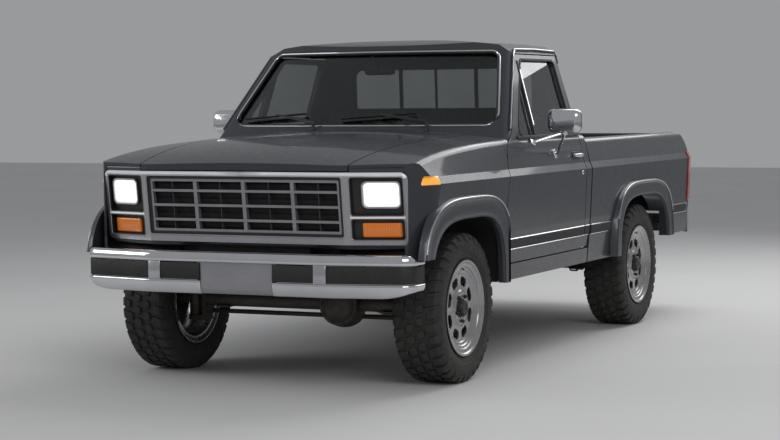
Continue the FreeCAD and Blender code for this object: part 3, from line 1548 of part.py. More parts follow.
def make_axles():
    z = s.wheel_radius
    hub_face = s.track_half_width + s.disc_offset - s.hub_length
    spindle_end = s.track_half_width + s.disc_offset - s.disc_thickness - s.seat_clearance
    clearance = s.seat_clearance

    def tube(x, y):
        return rod(V(-x, y, z), V(x, y, z), s.axle_tube_radius)

    def differential(x, y, ahead):
        ball = Part.makeSphere(s.differential_radius, V(x, y, z))
        collar = rod(V(x, y, z), V(x, y + ahead * s.pinion_reach, z), s.axle_tube_radius)
        side = s.differential_half_width
        casing = ball.common(block(
            x - side, x + side, y - s.differential_radius, y + s.differential_radius, 0, s.roof_height))
        return casing.fuse(collar)

    rear = [tube(hub_face - s.panel_gap, rear_axle), differential(0, rear_axle, -1)]
    for sign in (1, -1):
        rear.append(rod(V(sign * (hub_face - s.panel_gap), rear_axle, z), V(sign * spindle_end, rear_axle, z),
                        s.spindle_radius))
    feature("rear_axle", joined(rear))

    x = s.knuckle_half_width
    web_x = s.axle_end_half_width
    ear_z = s.knuckle_rise
    ear = s.yoke_thickness
    half = s.yoke_depth / 2
    yoke = [block(web_x, web_x + ear, front_axle - half, front_axle + half, z - ear_z, z + ear_z)]
    for sign in (1, -1):
        z0, z1 = sorted((z + sign * (ear_z - ear), z + sign * ear_z))
        yoke.append(block(web_x, x, front_axle - half, front_axle + half, z0, z1))
        yoke.append(rod(V(x, front_axle, z0), V(x, front_axle, z1), half))
    pin_hole = rod(V(x, front_axle, 0), V(x, front_axle, s.roof_height), s.kingpin_radius + clearance)
    yoke = joined(yoke).cut(pin_hole)
    front = [tube(web_x + clearance, front_axle), differential(s.front_differential_x, front_axle, 1),
             yoke, mirrored(yoke)]
    feature("front_axle", joined(front))

    body_z = ear_z - ear - s.knuckle_play
    arm_z = z - s.steering_arm_drop
    knuckle = joined([
        rod(V(x, front_axle, z - body_z), V(x, front_axle, z + body_z), s.knuckle_radius),
        rod(V(x, front_axle, z - ear_z), V(x, front_axle, z + ear_z), s.kingpin_radius),
        rod(V(x, front_axle, z), V(spindle_end, front_axle, z), s.spindle_radius),
        block(x - s.knuckle_plate / 2, x + s.knuckle_plate / 2, front_axle, front_axle + s.steering_arm_length,
              arm_z - s.knuckle_plate / 2, arm_z + s.knuckle_plate / 2),
        rod(V(x, front_axle + s.steering_arm_length, arm_z - s.knuckle_plate / 2),
            V(x, front_axle + s.steering_arm_length, arm_z + s.knuckle_plate / 2), s.tie_rod_eye_radius),
    ])
    eye_hole = rod(V(x, front_axle + s.steering_arm_length, 0), V(x, front_axle + s.steering_arm_length, z),
                   s.tie_rod_pin_radius + clearance)
    knuckle = knuckle.cut(eye_hole)
    feature("knuckle_left", knuckle)
    feature("knuckle_right", mirrored(knuckle))

    rod_z = arm_z - s.knuckle_plate / 2 - s.tie_rod_radius - s.knuckle_play
    y = front_axle + s.steering_arm_length
    parts = [rod(V(-x, y, rod_z), V(x, y, rod_z), s.tie_rod_radius)]
    for sign in (1, -1):
        parts.append(rod(V(sign * x, y, rod_z), V(sign * x, y, arm_z + s.knuckle_plate / 2), s.tie_rod_pin_radius))
    feature("tie_rod", joined(parts))


# What the frame carries

def make_radiator():
    z = s.rail_front_base_height + s.crossmember_rise + s.seat_clearance
    start = along(s.radiator_reach)
    core = block(-s.radiator_half_width, s.radiator_half_width, start, start + s.radiator_thickness, z,
                 s.radiator_top_height)
    low = s.rail_front_base_height + s.rail_rise + s.seat_clearance
    front = along(s.support_reach)
    wide = s.crease_half_width
    plate = block(-wide, wide, front, front + s.support_thickness, low, s.support_top_height)
    x = s.support_opening_half_width
    hole = block(-x, x, front, front + s.support_thickness, s.support_opening_base_height,
                 s.support_top_height - s.crossmember_rise)
    plate = plate.cut(hole).common(nose(s.skin_thickness + s.seat_clearance, s.rocker_height))
    lamp = marker_block(s.panel_gap)
    liner = front_arch(
        s.liner_gap + s.liner_thickness + s.seat_clearance, s.liner_inner_half_width - s.fit_gap, wide)
    for piece in (lamp, liner):
        plate = plate.cut(piece).cut(mirrored(piece))
    strut = block(
        -s.radiator_half_width, s.radiator_half_width, start + s.radiator_thickness, front,
        low, s.support_opening_base_height)
    carrier = face_prism(
        s.grille_half_width + s.grille_frame, s.bezel_inner_half_width, s.turn_bezel_top_height,
        s.headlamp_bezel_base_height, 0)
    carrier = carrier.cut(face_slab(-s.cut_overrun, s.cut_overrun + s.surround_thickness + s.seat_clearance))
    carrier = carrier.common(block(0, wide, along(s.nose_reach), front, 0, s.roof_height))
    feature("radiator_support", joined([core, plate, strut, carrier, mirrored(carrier)]))


def make_drivetrain():
    """Engine, gearbox and their mounts as one plain block, and the two drive shafts."""
    engine = bound(
        "Box", "engine", ("-Sizes.engine_width / 2", FRONT_AXLE + " + Sizes.engine_front_reach",
                          "Sizes.engine_base_height"),
        Length="Sizes.engine_width", Width="Sizes.engine_length", Height="Sizes.engine_rise")
    mount_width = "2 * (Sizes.rail_outer_half_width - Sizes.rail_width - Sizes.seat_clearance)"
    mounts = bound(
        "Box", "engine_mounts", (
            "-(Sizes.rail_outer_half_width - Sizes.rail_width - Sizes.seat_clearance)",
            FRONT_AXLE + " + Sizes.engine_front_reach + Sizes.engine_length / 2", "Sizes.engine_base_height"),
        Length=mount_width, Width="Sizes.crossmember_width", Height="Sizes.engine_mount_rise")
    gearbox = bound(
        "Box", "gearbox", (
            "-Sizes.gearbox_width / 2",
            FRONT_AXLE + " + Sizes.engine_front_reach + Sizes.engine_length - Sizes.gearbox_overlap",
            "Sizes.gearbox_base_height"),
        Length="Sizes.gearbox_width", Width="Sizes.gearbox_length", Height="Sizes.gearbox_rise")
    block_form = fused("engine_gearbox", [engine, mounts, gearbox])
    z = s.wheel_radius
    box_rear = along(s.engine_front_reach + s.engine_length - s.gearbox_overlap + s.gearbox_length)
    box_z = s.gearbox_base_height + s.gearbox_rise / 2
    radius = s.shaft_radius
    clearance = s.seat_clearance
    rear_shaft = shaft(V(0, box_rear, box_z), V(0, rear_axle - s.pinion_reach, z), radius)
    x = s.front_differential_x
    front_end = V(x, front_axle + s.pinion_reach, z)
    box_front = along(s.engine_front_reach + s.engine_length - s.gearbox_overlap)
    case_y = box_front + s.transfer_case_reach
    case = block(s.gearbox_width / 2 + clearance, x + radius * 2, case_y, case_y + s.transfer_case_length,
                 box_z - radius * 2, box_z + radius * 2)
    front_shaft = shaft(front_end, V(x, case_y, box_z), radius / 2).fuse(case)
    doc.recompute()
    feature("drivetrain", together([block_form.Shape, rear_shaft, front_shaft]))


def shaft(start, end, radius):
    """A shaft between two upright faces, its ends cut square to them with a small clearance."""
    low, high = sorted((start, end), key=lambda p: p.y)
    direction = (high - low).normalize()
    long = rod(low - direction * radius, high + direction * radius, radius)
    clearance = s.seat_clearance
    return long.common(block(low.x - 2 * radius, low.x + 2 * radius, low.y + clearance, high.y - clearance,
                             0, s.roof_height))


def make_exhaust():
    radius = s.exhaust_radius
    x = s.exhaust_x
    z = s.exhaust_height
    route = [
        V(x, along(s.exhaust_start_reach), s.engine_base_height - s.seat_clearance),
        V(x, along(s.exhaust_start_reach), z),
        V(x, along(s.exhaust_turn_reach), z),
        V(-s.exhaust_tip_half_width, along(s.exhaust_turn_reach), z),
    ]
    pieces = [rod(a, b, radius) for a, b in zip(route, route[1:])]
    pieces += [Part.makeSphere(radius, corner) for corner in route[1:-1]]
    start = along(s.muffler_start_reach)
    pieces.append(rod(V(x, start, z), V(x, start + s.muffler_length, z), s.muffler_radius))
    feature("exhaust", joined(pieces))


def make_fuel_tank():
    tank = bound(
        "Box", "tank_box", (
            "Sizes.rail_outer_half_width - Sizes.rail_width - Sizes.seat_clearance - Sizes.tank_width",
            FRONT_AXLE + " + Sizes.tank_front_reach", "Sizes.tank_base_height"),
        Length="Sizes.tank_width", Width="Sizes.tank_length", Height="Sizes.tank_rise")
    keep("fuel_tank", tank)


def make_suspension():
    clearance = s.seat_clearance
    rail = s.rail_outer_half_width + clearance
    x0 = s.leaf_half_width - s.leaf_width / 2
    x1 = s.leaf_half_width + s.leaf_width / 2
    base = s.wheel_radius + s.axle_tube_radius + clearance
    leaf = block(x0, x1, rear_axle - s.leaf_half_length, rear_axle + s.leaf_half_length, base,
                 base + s.leaf_thickness)
    parts = [leaf]
    floor_base = s.box_floor_height - s.box_floor_thickness - clearance
    for sign in (1, -1):
        end = rear_axle + sign * s.leaf_half_length
        y0, y1 = sorted((end, end - sign * s.hanger_length))
        top = floor_base - s.rail_rise / 2
        parts.append(block(rail, x1, y0, y1, base, top))
    leaf_pack = joined(parts)
    coil_base = s.wheel_radius + s.axle_tube_radius + clearance
    coil_top = s.rail_front_base_height + s.rail_rise - s.leaf_thickness - clearance
    coil = rod(V(s.coil_half_width, front_axle, coil_base), V(s.coil_half_width, front_axle, coil_top),
               s.coil_radius)
    arm_top = s.cab_floor_height - s.cab_floor_thickness - s.rail_rise - 2 * clearance
    arm = block(
        s.radius_arm_half_width - s.radius_arm_width / 2, s.radius_arm_half_width + s.radius_arm_width / 2,
        front_axle + s.axle_tube_radius + clearance, along(s.radius_arm_end_reach),
        arm_top - s.radius_arm_rise, arm_top)
    halves = [leaf_pack, coil, arm]
    feature("springs_and_arms", together(halves + [mirrored(piece) for piece in halves]))


# Cabin

def make_cabin():
    clearance = s.seat_clearance
    start = along(s.firewall_reach)
    rear = start + s.firewall_thickness + s.dash_depth
    half = s.dash_half_width
    section = [
        (start, s.dash_base_height), (rear, s.dash_base_height),
        (rear, s.dash_rear_top_height), (start + s.firewall_thickness, s.dash_top_height),
        (start, s.dash_top_height),
    ]
    panel = side_prism(section, [0, s.dash_corner_radius, s.dash_corner_radius, 0, 0], -half, half)
    inset = s.wall_thickness + clearance
    room = cab_solid(inset, s.cab_floor_height, start + s.firewall_thickness + clearance, inset)
    tilt = math.radians(s.steering_tilt_angle)
    axis = V(0, math.cos(tilt), math.sin(tilt))
    middle = V(s.steering_wheel_half_width, along(s.steering_wheel_reach), s.steering_wheel_height)
    column_end = middle - axis * s.steering_hub_length
    reach = (column_end.y - rear + s.column_radius) / axis.y
    column = rod(column_end - axis * reach, column_end, s.column_radius)
    stub = rod(column_end, middle, s.steering_shaft_radius)
    feature("dashboard", joined([panel.common(room), column, stub]))

    hub = rod(column_end + axis * s.knuckle_play, middle + axis * s.steering_rim_radius, s.steering_hub_radius)
    rim = Part.makeTorus(s.steering_wheel_radius, s.steering_rim_radius, middle, axis)
    spokes = []
    for turn_angle in SPOKE_ANGLES:
        spoke = Part.makeBox(
            s.steering_wheel_radius, s.steering_spoke_width, s.steering_rim_radius,
            V(0, -s.steering_spoke_width / 2, -s.steering_rim_radius / 2))
        spoke.rotate(V(0, 0, 0), V(0, 0, 1), turn_angle)
        spoke.Placement = FreeCAD.Placement(middle, FreeCAD.Rotation(V(0, 0, 1), axis)).multiply(spoke.Placement)
        spokes.append(spoke)
    socket = rod(column_end, middle + axis * clearance, s.steering_shaft_radius + clearance)
    feature("steering_wheel", joined([hub, rim] + spokes).cut(socket))

    seat_front = along(s.seat_front_reach)
    seat_rear = seat_front + s.seat_depth
    x = s.seat_half_width
    seat_low = s.seat_height - s.seat_thickness
    corner = s.seat_corner_radius
    cushion = side_prism(
        [(seat_front, seat_low), (seat_rear, seat_low), (seat_rear, s.seat_height), (seat_front, s.seat_height)],
        [0, 0, corner, corner], -x, x)
    feature("seat_cushion", cushion)
    back_z = s.seat_height + clearance
    back_front = seat_rear - s.back_thickness
    back = side_prism(
        [(back_front, back_z), (seat_rear, back_z), (seat_rear + s.back_lean, s.back_top_height),
         (back_front + s.back_lean, s.back_top_height)],
        [0, 0, corner, corner], -x, x)
    feature("seat_back", back)


def seat_plinth():
    """The raised floor that carries the bench."""
    front = along(s.seat_front_reach) + s.seat_plinth_inset
    rear = along(s.seat_front_reach) + s.seat_depth - s.seat_plinth_inset
    x = s.seat_half_width - s.seat_plinth_inset
    top = s.seat_height - s.seat_thickness - s.seat_clearance
    return block(-x, x, front, rear, s.cab_floor_height - s.cab_floor_thickness, top)


# Mirrors, handles and wipers

def make_mirrors():
    outer_x = s.mirror_outer_half_width
    inner_x = outer_x - s.mirror_width
    y = along(s.mirror_reach)
    z0 = s.mirror_height - s.mirror_rise / 2
    z1 = s.mirror_height + s.mirror_rise / 2
    radius = s.mirror_arm_radius
    head = front_prism([(inner_x, z0), (outer_x, z0), (outer_x, z1), (inner_x, z1)], 3 * radius, y,
                       y + s.mirror_depth)
    middle = V((inner_x + outer_x) / 2, y + s.mirror_depth / 2, z0 + radius)
    front_foot = V(s.belt_half_width - s.door_frame_thickness / 2, y - s.mirror_foot_reach, s.mirror_foot_height)
    rear_foot = V(s.shoulder_half_width - s.door_frame_thickness / 2, y + s.mirror_brace_reach,
                  s.mirror_brace_height)
    arms = [rod(front_foot, middle, radius), rod(rear_foot, middle, radius)]
    handle = block(
        s.belt_half_width, s.shoulder_half_width + s.handle_proud,
        along(s.handle_rear_reach) - s.handle_width, along(s.handle_rear_reach),
        s.handle_height - s.handle_rise / 2, s.handle_height + s.handle_rise / 2)
    skin = cab_solid(-s.seat_clearance, s.rocker_height, along(s.door_front_reach), -s.seat_clearance)
    mirror = joined([head] + arms).cut(skin)
    grip = handle.cut(skin)
    pieces = [largest(mirror), largest(grip)]
    feature("door_chrome_left", together(pieces))
    feature("door_chrome_right", together([mirrored(piece) for piece in pieces]))


def windshield_front(x, z, proud):
    """The place along the cab of the windshield's outer face, drawn forward by a distance."""
    share = (z - s.glasshouse_base_height) / (s.glasshouse_top_height - s.glasshouse_base_height)

    def between(low, high):
        return low + (high - low) * share

    front = between(s.glasshouse_base_front_reach, s.glasshouse_top_front_reach)
    bow = between(s.glasshouse_base_bow, s.glasshouse_top_bow)
    half = between(s.glasshouse_base_half_width, s.glasshouse_top_half_width)
    return along(front + bow * (x / half) ** 2) - proud


def make_wipers():
    arm = s.wiper_arm
    pieces = []
    for pivot_x in (s.wiper_left_pivot_x, s.wiper_right_pivot_x):
        z = s.windshield_base_height + s.wiper_rise
        tip_x = pivot_x - s.wiper_length
        pivot = V(pivot_x, windshield_front(pivot_x, z, s.wiper_proud), z)
        tip_z = z + s.wiper_tip_rise
        tip = V(tip_x, windshield_front(tip_x, tip_z, arm / 2 + s.seat_clearance), tip_z)
        foot = V(pivot_x, pivot.y, s.cowl_edge_height)
        pieces.append(joined([rod(foot, pivot, arm), Part.makeSphere(arm, pivot), rod(pivot, tip, arm / 2)]))
    skin = cab_solid(-s.seat_clearance, s.rocker_height, along(s.hood_hinge_reach), -s.seat_clearance)
    feature("wipers", together([largest(piece.cut(skin)) for piece in pieces]))


def write_parts():
    """Checks every object and writes each sub-part to its own file."""
    doc.recompute()
    for obj in doc.Objects:
        for state in ("Invalid", "Error"):
            if state in obj.State:
                raise RuntimeError(f"{obj.Label} is {state}")
    os.makedirs("parts", exist_ok=True)
    for name, obj in NODES.items():
        shape = obj.Shape
        if shape.isNull() or not shape.isValid():
            raise RuntimeError(f"{name} has no valid shape")
        shape.exportStep(f"parts/{name}.step")
        print(name, len(shape.Solids), round(shape.Volume))


make_cab()
make_cab_glass()
make_doors()
make_hood()
make_fenders()
make_cargo_box()
make_front_face()
make_front_bumper()
make_rear_bumper()
make_frame()
make_wheels()
make_axles()
make_radiator()
make_drivetrain()
make_exhaust()
make_fuel_tank()
make_suspension()
make_cabin()
make_mirrors()
make_wipers()
write_parts()
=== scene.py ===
import json
import math

import bmesh
import bpy
import numpy as np
from mathutils import Matrix, Vector
from mathutils.bvhtree import BVHTree


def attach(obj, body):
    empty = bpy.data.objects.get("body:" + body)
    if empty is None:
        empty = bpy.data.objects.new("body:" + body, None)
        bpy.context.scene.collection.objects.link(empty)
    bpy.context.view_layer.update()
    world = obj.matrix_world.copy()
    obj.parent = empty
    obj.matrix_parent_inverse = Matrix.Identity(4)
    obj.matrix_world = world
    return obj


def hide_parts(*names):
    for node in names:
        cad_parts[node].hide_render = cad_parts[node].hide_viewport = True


# Pickup truck: looks, light and camera. Metres, +X is the truck's left, -Y its front, +Z up.

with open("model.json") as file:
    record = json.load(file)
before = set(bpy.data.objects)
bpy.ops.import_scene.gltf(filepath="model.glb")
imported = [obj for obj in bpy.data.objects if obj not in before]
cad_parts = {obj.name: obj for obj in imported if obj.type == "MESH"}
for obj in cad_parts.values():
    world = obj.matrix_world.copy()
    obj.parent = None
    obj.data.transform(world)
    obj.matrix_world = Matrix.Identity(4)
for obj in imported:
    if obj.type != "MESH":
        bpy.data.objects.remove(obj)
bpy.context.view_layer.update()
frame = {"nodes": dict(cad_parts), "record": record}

FRONT_AXLE = -1.65
REAR_AXLE = 1.317
AXLE_HEIGHT = 0.395
TRACK = 0.812


# Materials

def nodes_of(name):
    mat = bpy.data.materials.new(name)
    mat.use_nodes = True
    tree = mat.node_tree
    return mat, tree, tree.nodes["Principled BSDF"]


def dial(node, values):
    """Sets a node's inputs by name."""
    for name, value in values.items():
        node.inputs[name].default_value = value


def texture(tree, kind, output, **inputs):
    """A texture in the object's own coordinates."""
    node = tree.nodes.new(kind)
    dial(node, inputs)
    coords = tree.nodes.new("ShaderNodeTexCoord")
    tree.links.new(coords.outputs["Object"], node.inputs["Vector"])
    return node.outputs[output]


def noise(tree, scale, detail=4.0, rough=0.55):
    return texture(tree, "ShaderNodeTexNoise", "Fac", Scale=scale, Detail=detail, Roughness=rough)


def cells(tree, scale):
    return texture(tree, "ShaderNodeTexVoronoi", "Distance", Scale=scale)


def spread(tree, source, low, high, from_low=0.3, from_high=0.7):
    """A source mapped onto a range of values; a noise lies mostly between 0.3 and 0.7."""
    node = tree.nodes.new("ShaderNodeMapRange")
    dial(node, {"From Min": from_low, "From Max": from_high, "To Min": low, "To Max": high})
    tree.links.new(source, node.inputs["Value"])
    return node.outputs["Result"]


def mix_colours(tree, factor, first, second):
    node = tree.nodes.new("ShaderNodeMix")
    node.data_type = "RGBA"
    for socket, colour in ((node.inputs[6], first), (node.inputs[7], second)):
        if isinstance(colour, bpy.types.NodeSocket):
            tree.links.new(colour, socket)
        else:
            socket.default_value = (*colour, 1)
    tree.links.new(factor, node.inputs[0])
    return node.outputs[2]


def bump(tree, shader, height, strength, distance):
    node = tree.nodes.new("ShaderNodeBump")
    dial(node, {"Strength": strength, "Distance": distance})
    tree.links.new(height, node.inputs["Height"])
    tree.links.new(node.outputs["Normal"], shader.inputs["Normal"])


def height_share(tree, low, high):
    """From 1 at a low height to 0 at a high one."""
    coords = tree.nodes.new("ShaderNodeTexCoord")
    split = tree.nodes.new("ShaderNodeSeparateXYZ")
    tree.links.new(coords.outputs["Object"], split.inputs["Vector"])
    return spread(tree, split.outputs["Z"], 1, 0, low, high)


def times(tree, a, b):
    node = tree.nodes.new("ShaderNodeMath")
    node.operation = "MULTIPLY"
    tree.links.new(a, node.inputs[0])
    if isinstance(b, bpy.types.NodeSocket):
        tree.links.new(b, node.inputs[1])
    else:
        node.inputs[1].default_value = b
    return node.outputs[0]


def dusted(tree, base, low, high, scale, least, amount, colour):
    """A colour under patches of dust, that fade out between two heights."""
    patches = spread(tree, noise(tree, scale, 6.0), least, 1)
    dirt = times(tree, times(tree, height_share(tree, low, high), patches), amount)
    return mix_colours(tree, dirt, base, colour)


def shade(colour, factor):
    return tuple(min(1, c * factor) for c in colour)


def surface(name, colour, rough, metallic=0.0, vary=0.15, scale=9.0, grain=None, coat=0.0, dust=0.0):
    """A material with colour and roughness variation, a fine grain and dust near the ground."""
    mat, tree, shader = nodes_of(name)
    broad = noise(tree, scale)
    result = mix_colours(tree, spread(tree, broad, 0, 1), shade(colour, 1 - vary), shade(colour, 1 + vary))
    if dust:
        result = dusted(tree, result, 0.15, 0.75, 5.0, 0.2, dust, (0.2, 0.17, 0.135))
    tree.links.new(result, shader.inputs["Base Color"])
    fine = spread(tree, noise(tree, scale * 3), rough * 0.85, min(1, rough * 1.2))
    tree.links.new(fine, shader.inputs["Roughness"])
    dial(shader, {"Metallic": metallic, "Coat Weight": coat, "Coat Roughness": 0.04, "Specular IOR Level": 0.5})
    if grain:
        kind, grain_scale, strength, distance = grain
        source = noise(tree, grain_scale, 3.0) if kind == "noise" else cells(tree, grain_scale)
        bump(tree, shader, source, strength, distance)
    return mat


def car_paint():
    """Charcoal metallic paint: fine flakes under a clear coat, with a little road dust low down."""
    mat, tree, shader = nodes_of("charcoal_paint")
    flakes = spread(tree, cells(tree, 900.0), 0, 1, 0.1, 0.75)
    broad = spread(tree, noise(tree, 2.5), 0, 1)
    base = mix_colours(tree, flakes, (0.034, 0.036, 0.042), (0.066, 0.069, 0.082))
    base = mix_colours(tree, times(tree, broad, 0.3), base, (0.048, 0.051, 0.06))
    base = dusted(tree, base, 0.4, 0.72, 7.0, 0.1, 0.2, (0.16, 0.145, 0.12))
    tree.links.new(base, shader.inputs["Base Color"])
    tree.links.new(spread(tree, noise(tree, 30.0), 0.32, 0.42), shader.inputs["Roughness"])
    dial(shader, {"Metallic": 0.45, "Specular IOR Level": 0.1, "Coat Weight": 0.45, "Coat Roughness": 0.07})
    bump(tree, shader, noise(tree, 260.0, 2.0), 0.02, 0.0004)
    return mat


def clear_glass(name, tint):
    mat, tree, shader = nodes_of(name)
    streak = spread(tree, noise(tree, 3.0, 6.0, 0.6), 0.0, 1)
    tree.links.new(mix_colours(tree, streak, tint, shade(tint, 0.9)), shader.inputs["Base Color"])
    tree.links.new(spread(tree, noise(tree, 14.0), 0.0, 0.02), shader.inputs["Roughness"])
    dial(shader, {"Transmission Weight": 1.0, "IOR": 1.45})
    return mat


def lens(name, colour, glow, ribs):
    """A ribbed moulded lamp lens that glows a little."""
    mat, tree, shader = nodes_of(name)
    wave = texture(tree, "ShaderNodeTexWave", "Fac", Scale=ribs, Distortion=0.3)
    shine = mix_colours(tree, wave, shade(colour, 0.72), colour)
    tree.links.new(shine, shader.inputs["Base Color"])
    tree.links.new(shine, shader.inputs["Emission Color"])
    tree.links.new(spread(tree, noise(tree, 60.0), 0.12, 0.2), shader.inputs["Roughness"])
    dial(shader, {"Emission Strength": glow, "Coat Weight": 0.8})
    bump(tree, shader, wave, 0.3, 0.001)
    return mat


PAINT = car_paint()
CHROME = surface("bright_chrome", (0.72, 0.73, 0.76), 0.07, 1.0, 0.04, 6.0, ("noise", 40.0, 0.03, 0.0006),
                 dust=0.25)
TRIM = surface("satin_trim", (0.4, 0.4, 0.425), 0.3, 0.85, 0.05, 8.0, ("noise", 60.0, 0.02, 0.0002))
# A near-white painted as the highlight on the surround's rolled top rim and on the bar between the lamps
PAINTED_HIGHLIGHT = surface("painted_highlight_line", (0.84, 0.84, 0.87), 0.34, 0.15, 0.04, 8.0, ("noise", 60.0, 0.02, 0.0002))
GRILLE = surface("grille_grey", (0.3, 0.3, 0.32), 0.34, 0.7, 0.1, 12.0, ("noise", 80.0, 0.03, 0.0003))
BLACK = surface("satin_black", (0.012, 0.012, 0.013), 0.45, 0.0, 0.2, 14.0, ("noise", 380.0, 0.12, 0.0003))
RUBBER = surface("black_rubber", (0.014, 0.014, 0.014), 0.62, 0.0, 0.2, 18.0, ("cells", 900.0, 0.15, 0.0003))
CHASSIS = surface("chassis_black", (0.022, 0.021, 0.02), 0.55, 0.2, 0.3, 8.0, ("noise", 160.0, 0.25, 0.0006),
                  dust=0.35)
IRON = surface("cast_iron", (0.075, 0.068, 0.062), 0.62, 0.6, 0.3, 12.0, ("cells", 220.0, 0.3, 0.0008),
               dust=0.4)
STEEL = surface("dull_steel", (0.25, 0.22, 0.19), 0.42, 0.9, 0.3, 9.0, ("noise", 120.0, 0.15, 0.0005), dust=0.4)
WHEEL = surface("wheel_enamel", (0.36, 0.36, 0.37), 0.26, 0.8, 0.1, 10.0, ("noise", 200.0, 0.05, 0.0003),
                coat=0.5, dust=0.25)
TYRE = surface("tyre_rubber", (0.016, 0.016, 0.016), 0.7, 0.0, 0.25, 16.0, ("noise", 260.0, 0.3, 0.0006),
               dust=0.1)
VINYL = surface("seat_vinyl", (0.045, 0.045, 0.048), 0.52, 0.0, 0.15, 6.0, ("cells", 620.0, 0.5, 0.0005))
DASH = surface("dash_plastic", (0.035, 0.035, 0.038), 0.58, 0.0, 0.15, 7.0, ("cells", 520.0, 0.45, 0.0005))
GLASS = clear_glass("window_glass", (0.46, 0.49, 0.49))
LENS_WHITE = lens("headlamp_lens", (1.0, 0.97, 0.91), 0.8, 55.0)
LENS_AMBER = lens("amber_lens", (0.66, 0.17, 0.01), 0.26, 40.0)
LENS_MARKER = lens("marker_lens", (0.92, 0.4, 0.05), 0.6, 60.0)
LENS_RED = lens("red_lens", (0.4, 0.01, 0.008), 0.08, 60.0)
SATIN = surface("satin_chrome", (0.58, 0.58, 0.61), 0.22, 1.0, 0.06, 9.0, ("noise", 300.0, 0.05, 0.0003),
                dust=0.2)
HUB = surface("hub_iron", (0.03, 0.029, 0.029), 0.45, 0.5, 0.2, 14.0, ("cells", 260.0, 0.15, 0.0005), dust=0.12)
PANEL = surface("plate_panel", (0.3, 0.3, 0.32), 0.42, 0.5, 0.08, 8.0, ("noise", 260.0, 0.06, 0.0003),
                dust=0.15)
GRILLE_DARK = surface("grille_fin", (0.045, 0.045, 0.05), 0.42, 0.4, 0.15, 12.0, ("noise", 300.0, 0.08, 0.0003))
# Near-black used as painted shade behind the grille and in the stake pockets, and as the gauges' own black face
SHADE_AND_GAUGE_BLACK = surface("grille_screen_painted_shade", (0.006, 0.006, 0.007), 0.7, 0.0, 0.3, 30.0, ("cells", 160.0, 0.6, 0.002))
TRIM_BLACK = surface("trim_black", (0.02, 0.02, 0.022), 0.5, 0.0, 0.15, 8.0, ("cells", 700.0, 0.4, 0.0004))
LINER = surface("grey_liner", (0.16, 0.16, 0.165), 0.85, 0.0, 0.08, 10.0, ("cells", 900.0, 0.4, 0.0005))
PLATE_WHITE = surface("mark_white", (0.65, 0.65, 0.63), 0.5, 0.0, 0.05, 30.0, ("noise", 300.0, 0.05, 0.0002))
STEERING = surface("steering_plastic", (0.15, 0.15, 0.155), 0.4, 0.0, 0.12, 9.0, ("cells", 500.0, 0.2, 0.0003))
BATTERY = surface("battery_case", (0.05, 0.05, 0.055), 0.45, 0.0, 0.12, 10.0, ("noise", 240.0, 0.1, 0.0003),
                  dust=0.1)
LENS_CLEAR = lens("clear_lens", (0.62, 0.62, 0.62), 0.05, 60.0)
MIRROR = surface("mirror_glass", (0.75, 0.76, 0.78), 0.03, 1.0, 0.02, 5.0)
BRAKE = surface("brake_iron", (0.05, 0.045, 0.042), 0.5, 0.6, 0.3, 14.0, ("noise", 200.0, 0.2, 0.0005),
                dust=0.3)

SLOT_LOOKS = {
    "body_paint": PAINT, "chassis_black": CHASSIS, "inner_black": BLACK, "axle_iron": IRON, "engine_iron": IRON,
    "exhaust_steel": STEEL, "chrome": CHROME, "black_rubber": RUBBER, "silver_trim": TRIM, "glass": GLASS,
    "lamp_clear": LENS_WHITE, "lamp_amber": LENS_AMBER, "lamp_red": LENS_RED, "dash_plastic": DASH,
    "seat_vinyl": VINYL, "black_plastic": BLACK, "tyre": TYRE, "wheel_paint": WHEEL,
}
for entry in frame["record"]["subparts"]:
    look = SLOT_LOOKS[entry["material_slot"]]
    if entry["node"] == "grille":
        look = GRILLE
    obj = frame["nodes"][entry["node"]]
    obj.data.materials.clear()
    obj.data.materials.append(look)


# Mesh building

def directions(path, loop):
    """A path's direction at each of its points."""
    count = len(path)
    out = []
    for i, point in enumerate(path):
        before = path[i - 1] if i or loop else point
        after = path[(i + 1) % count] if i < count - 1 or loop else point
        out.append((after - before).normalized())
    return out


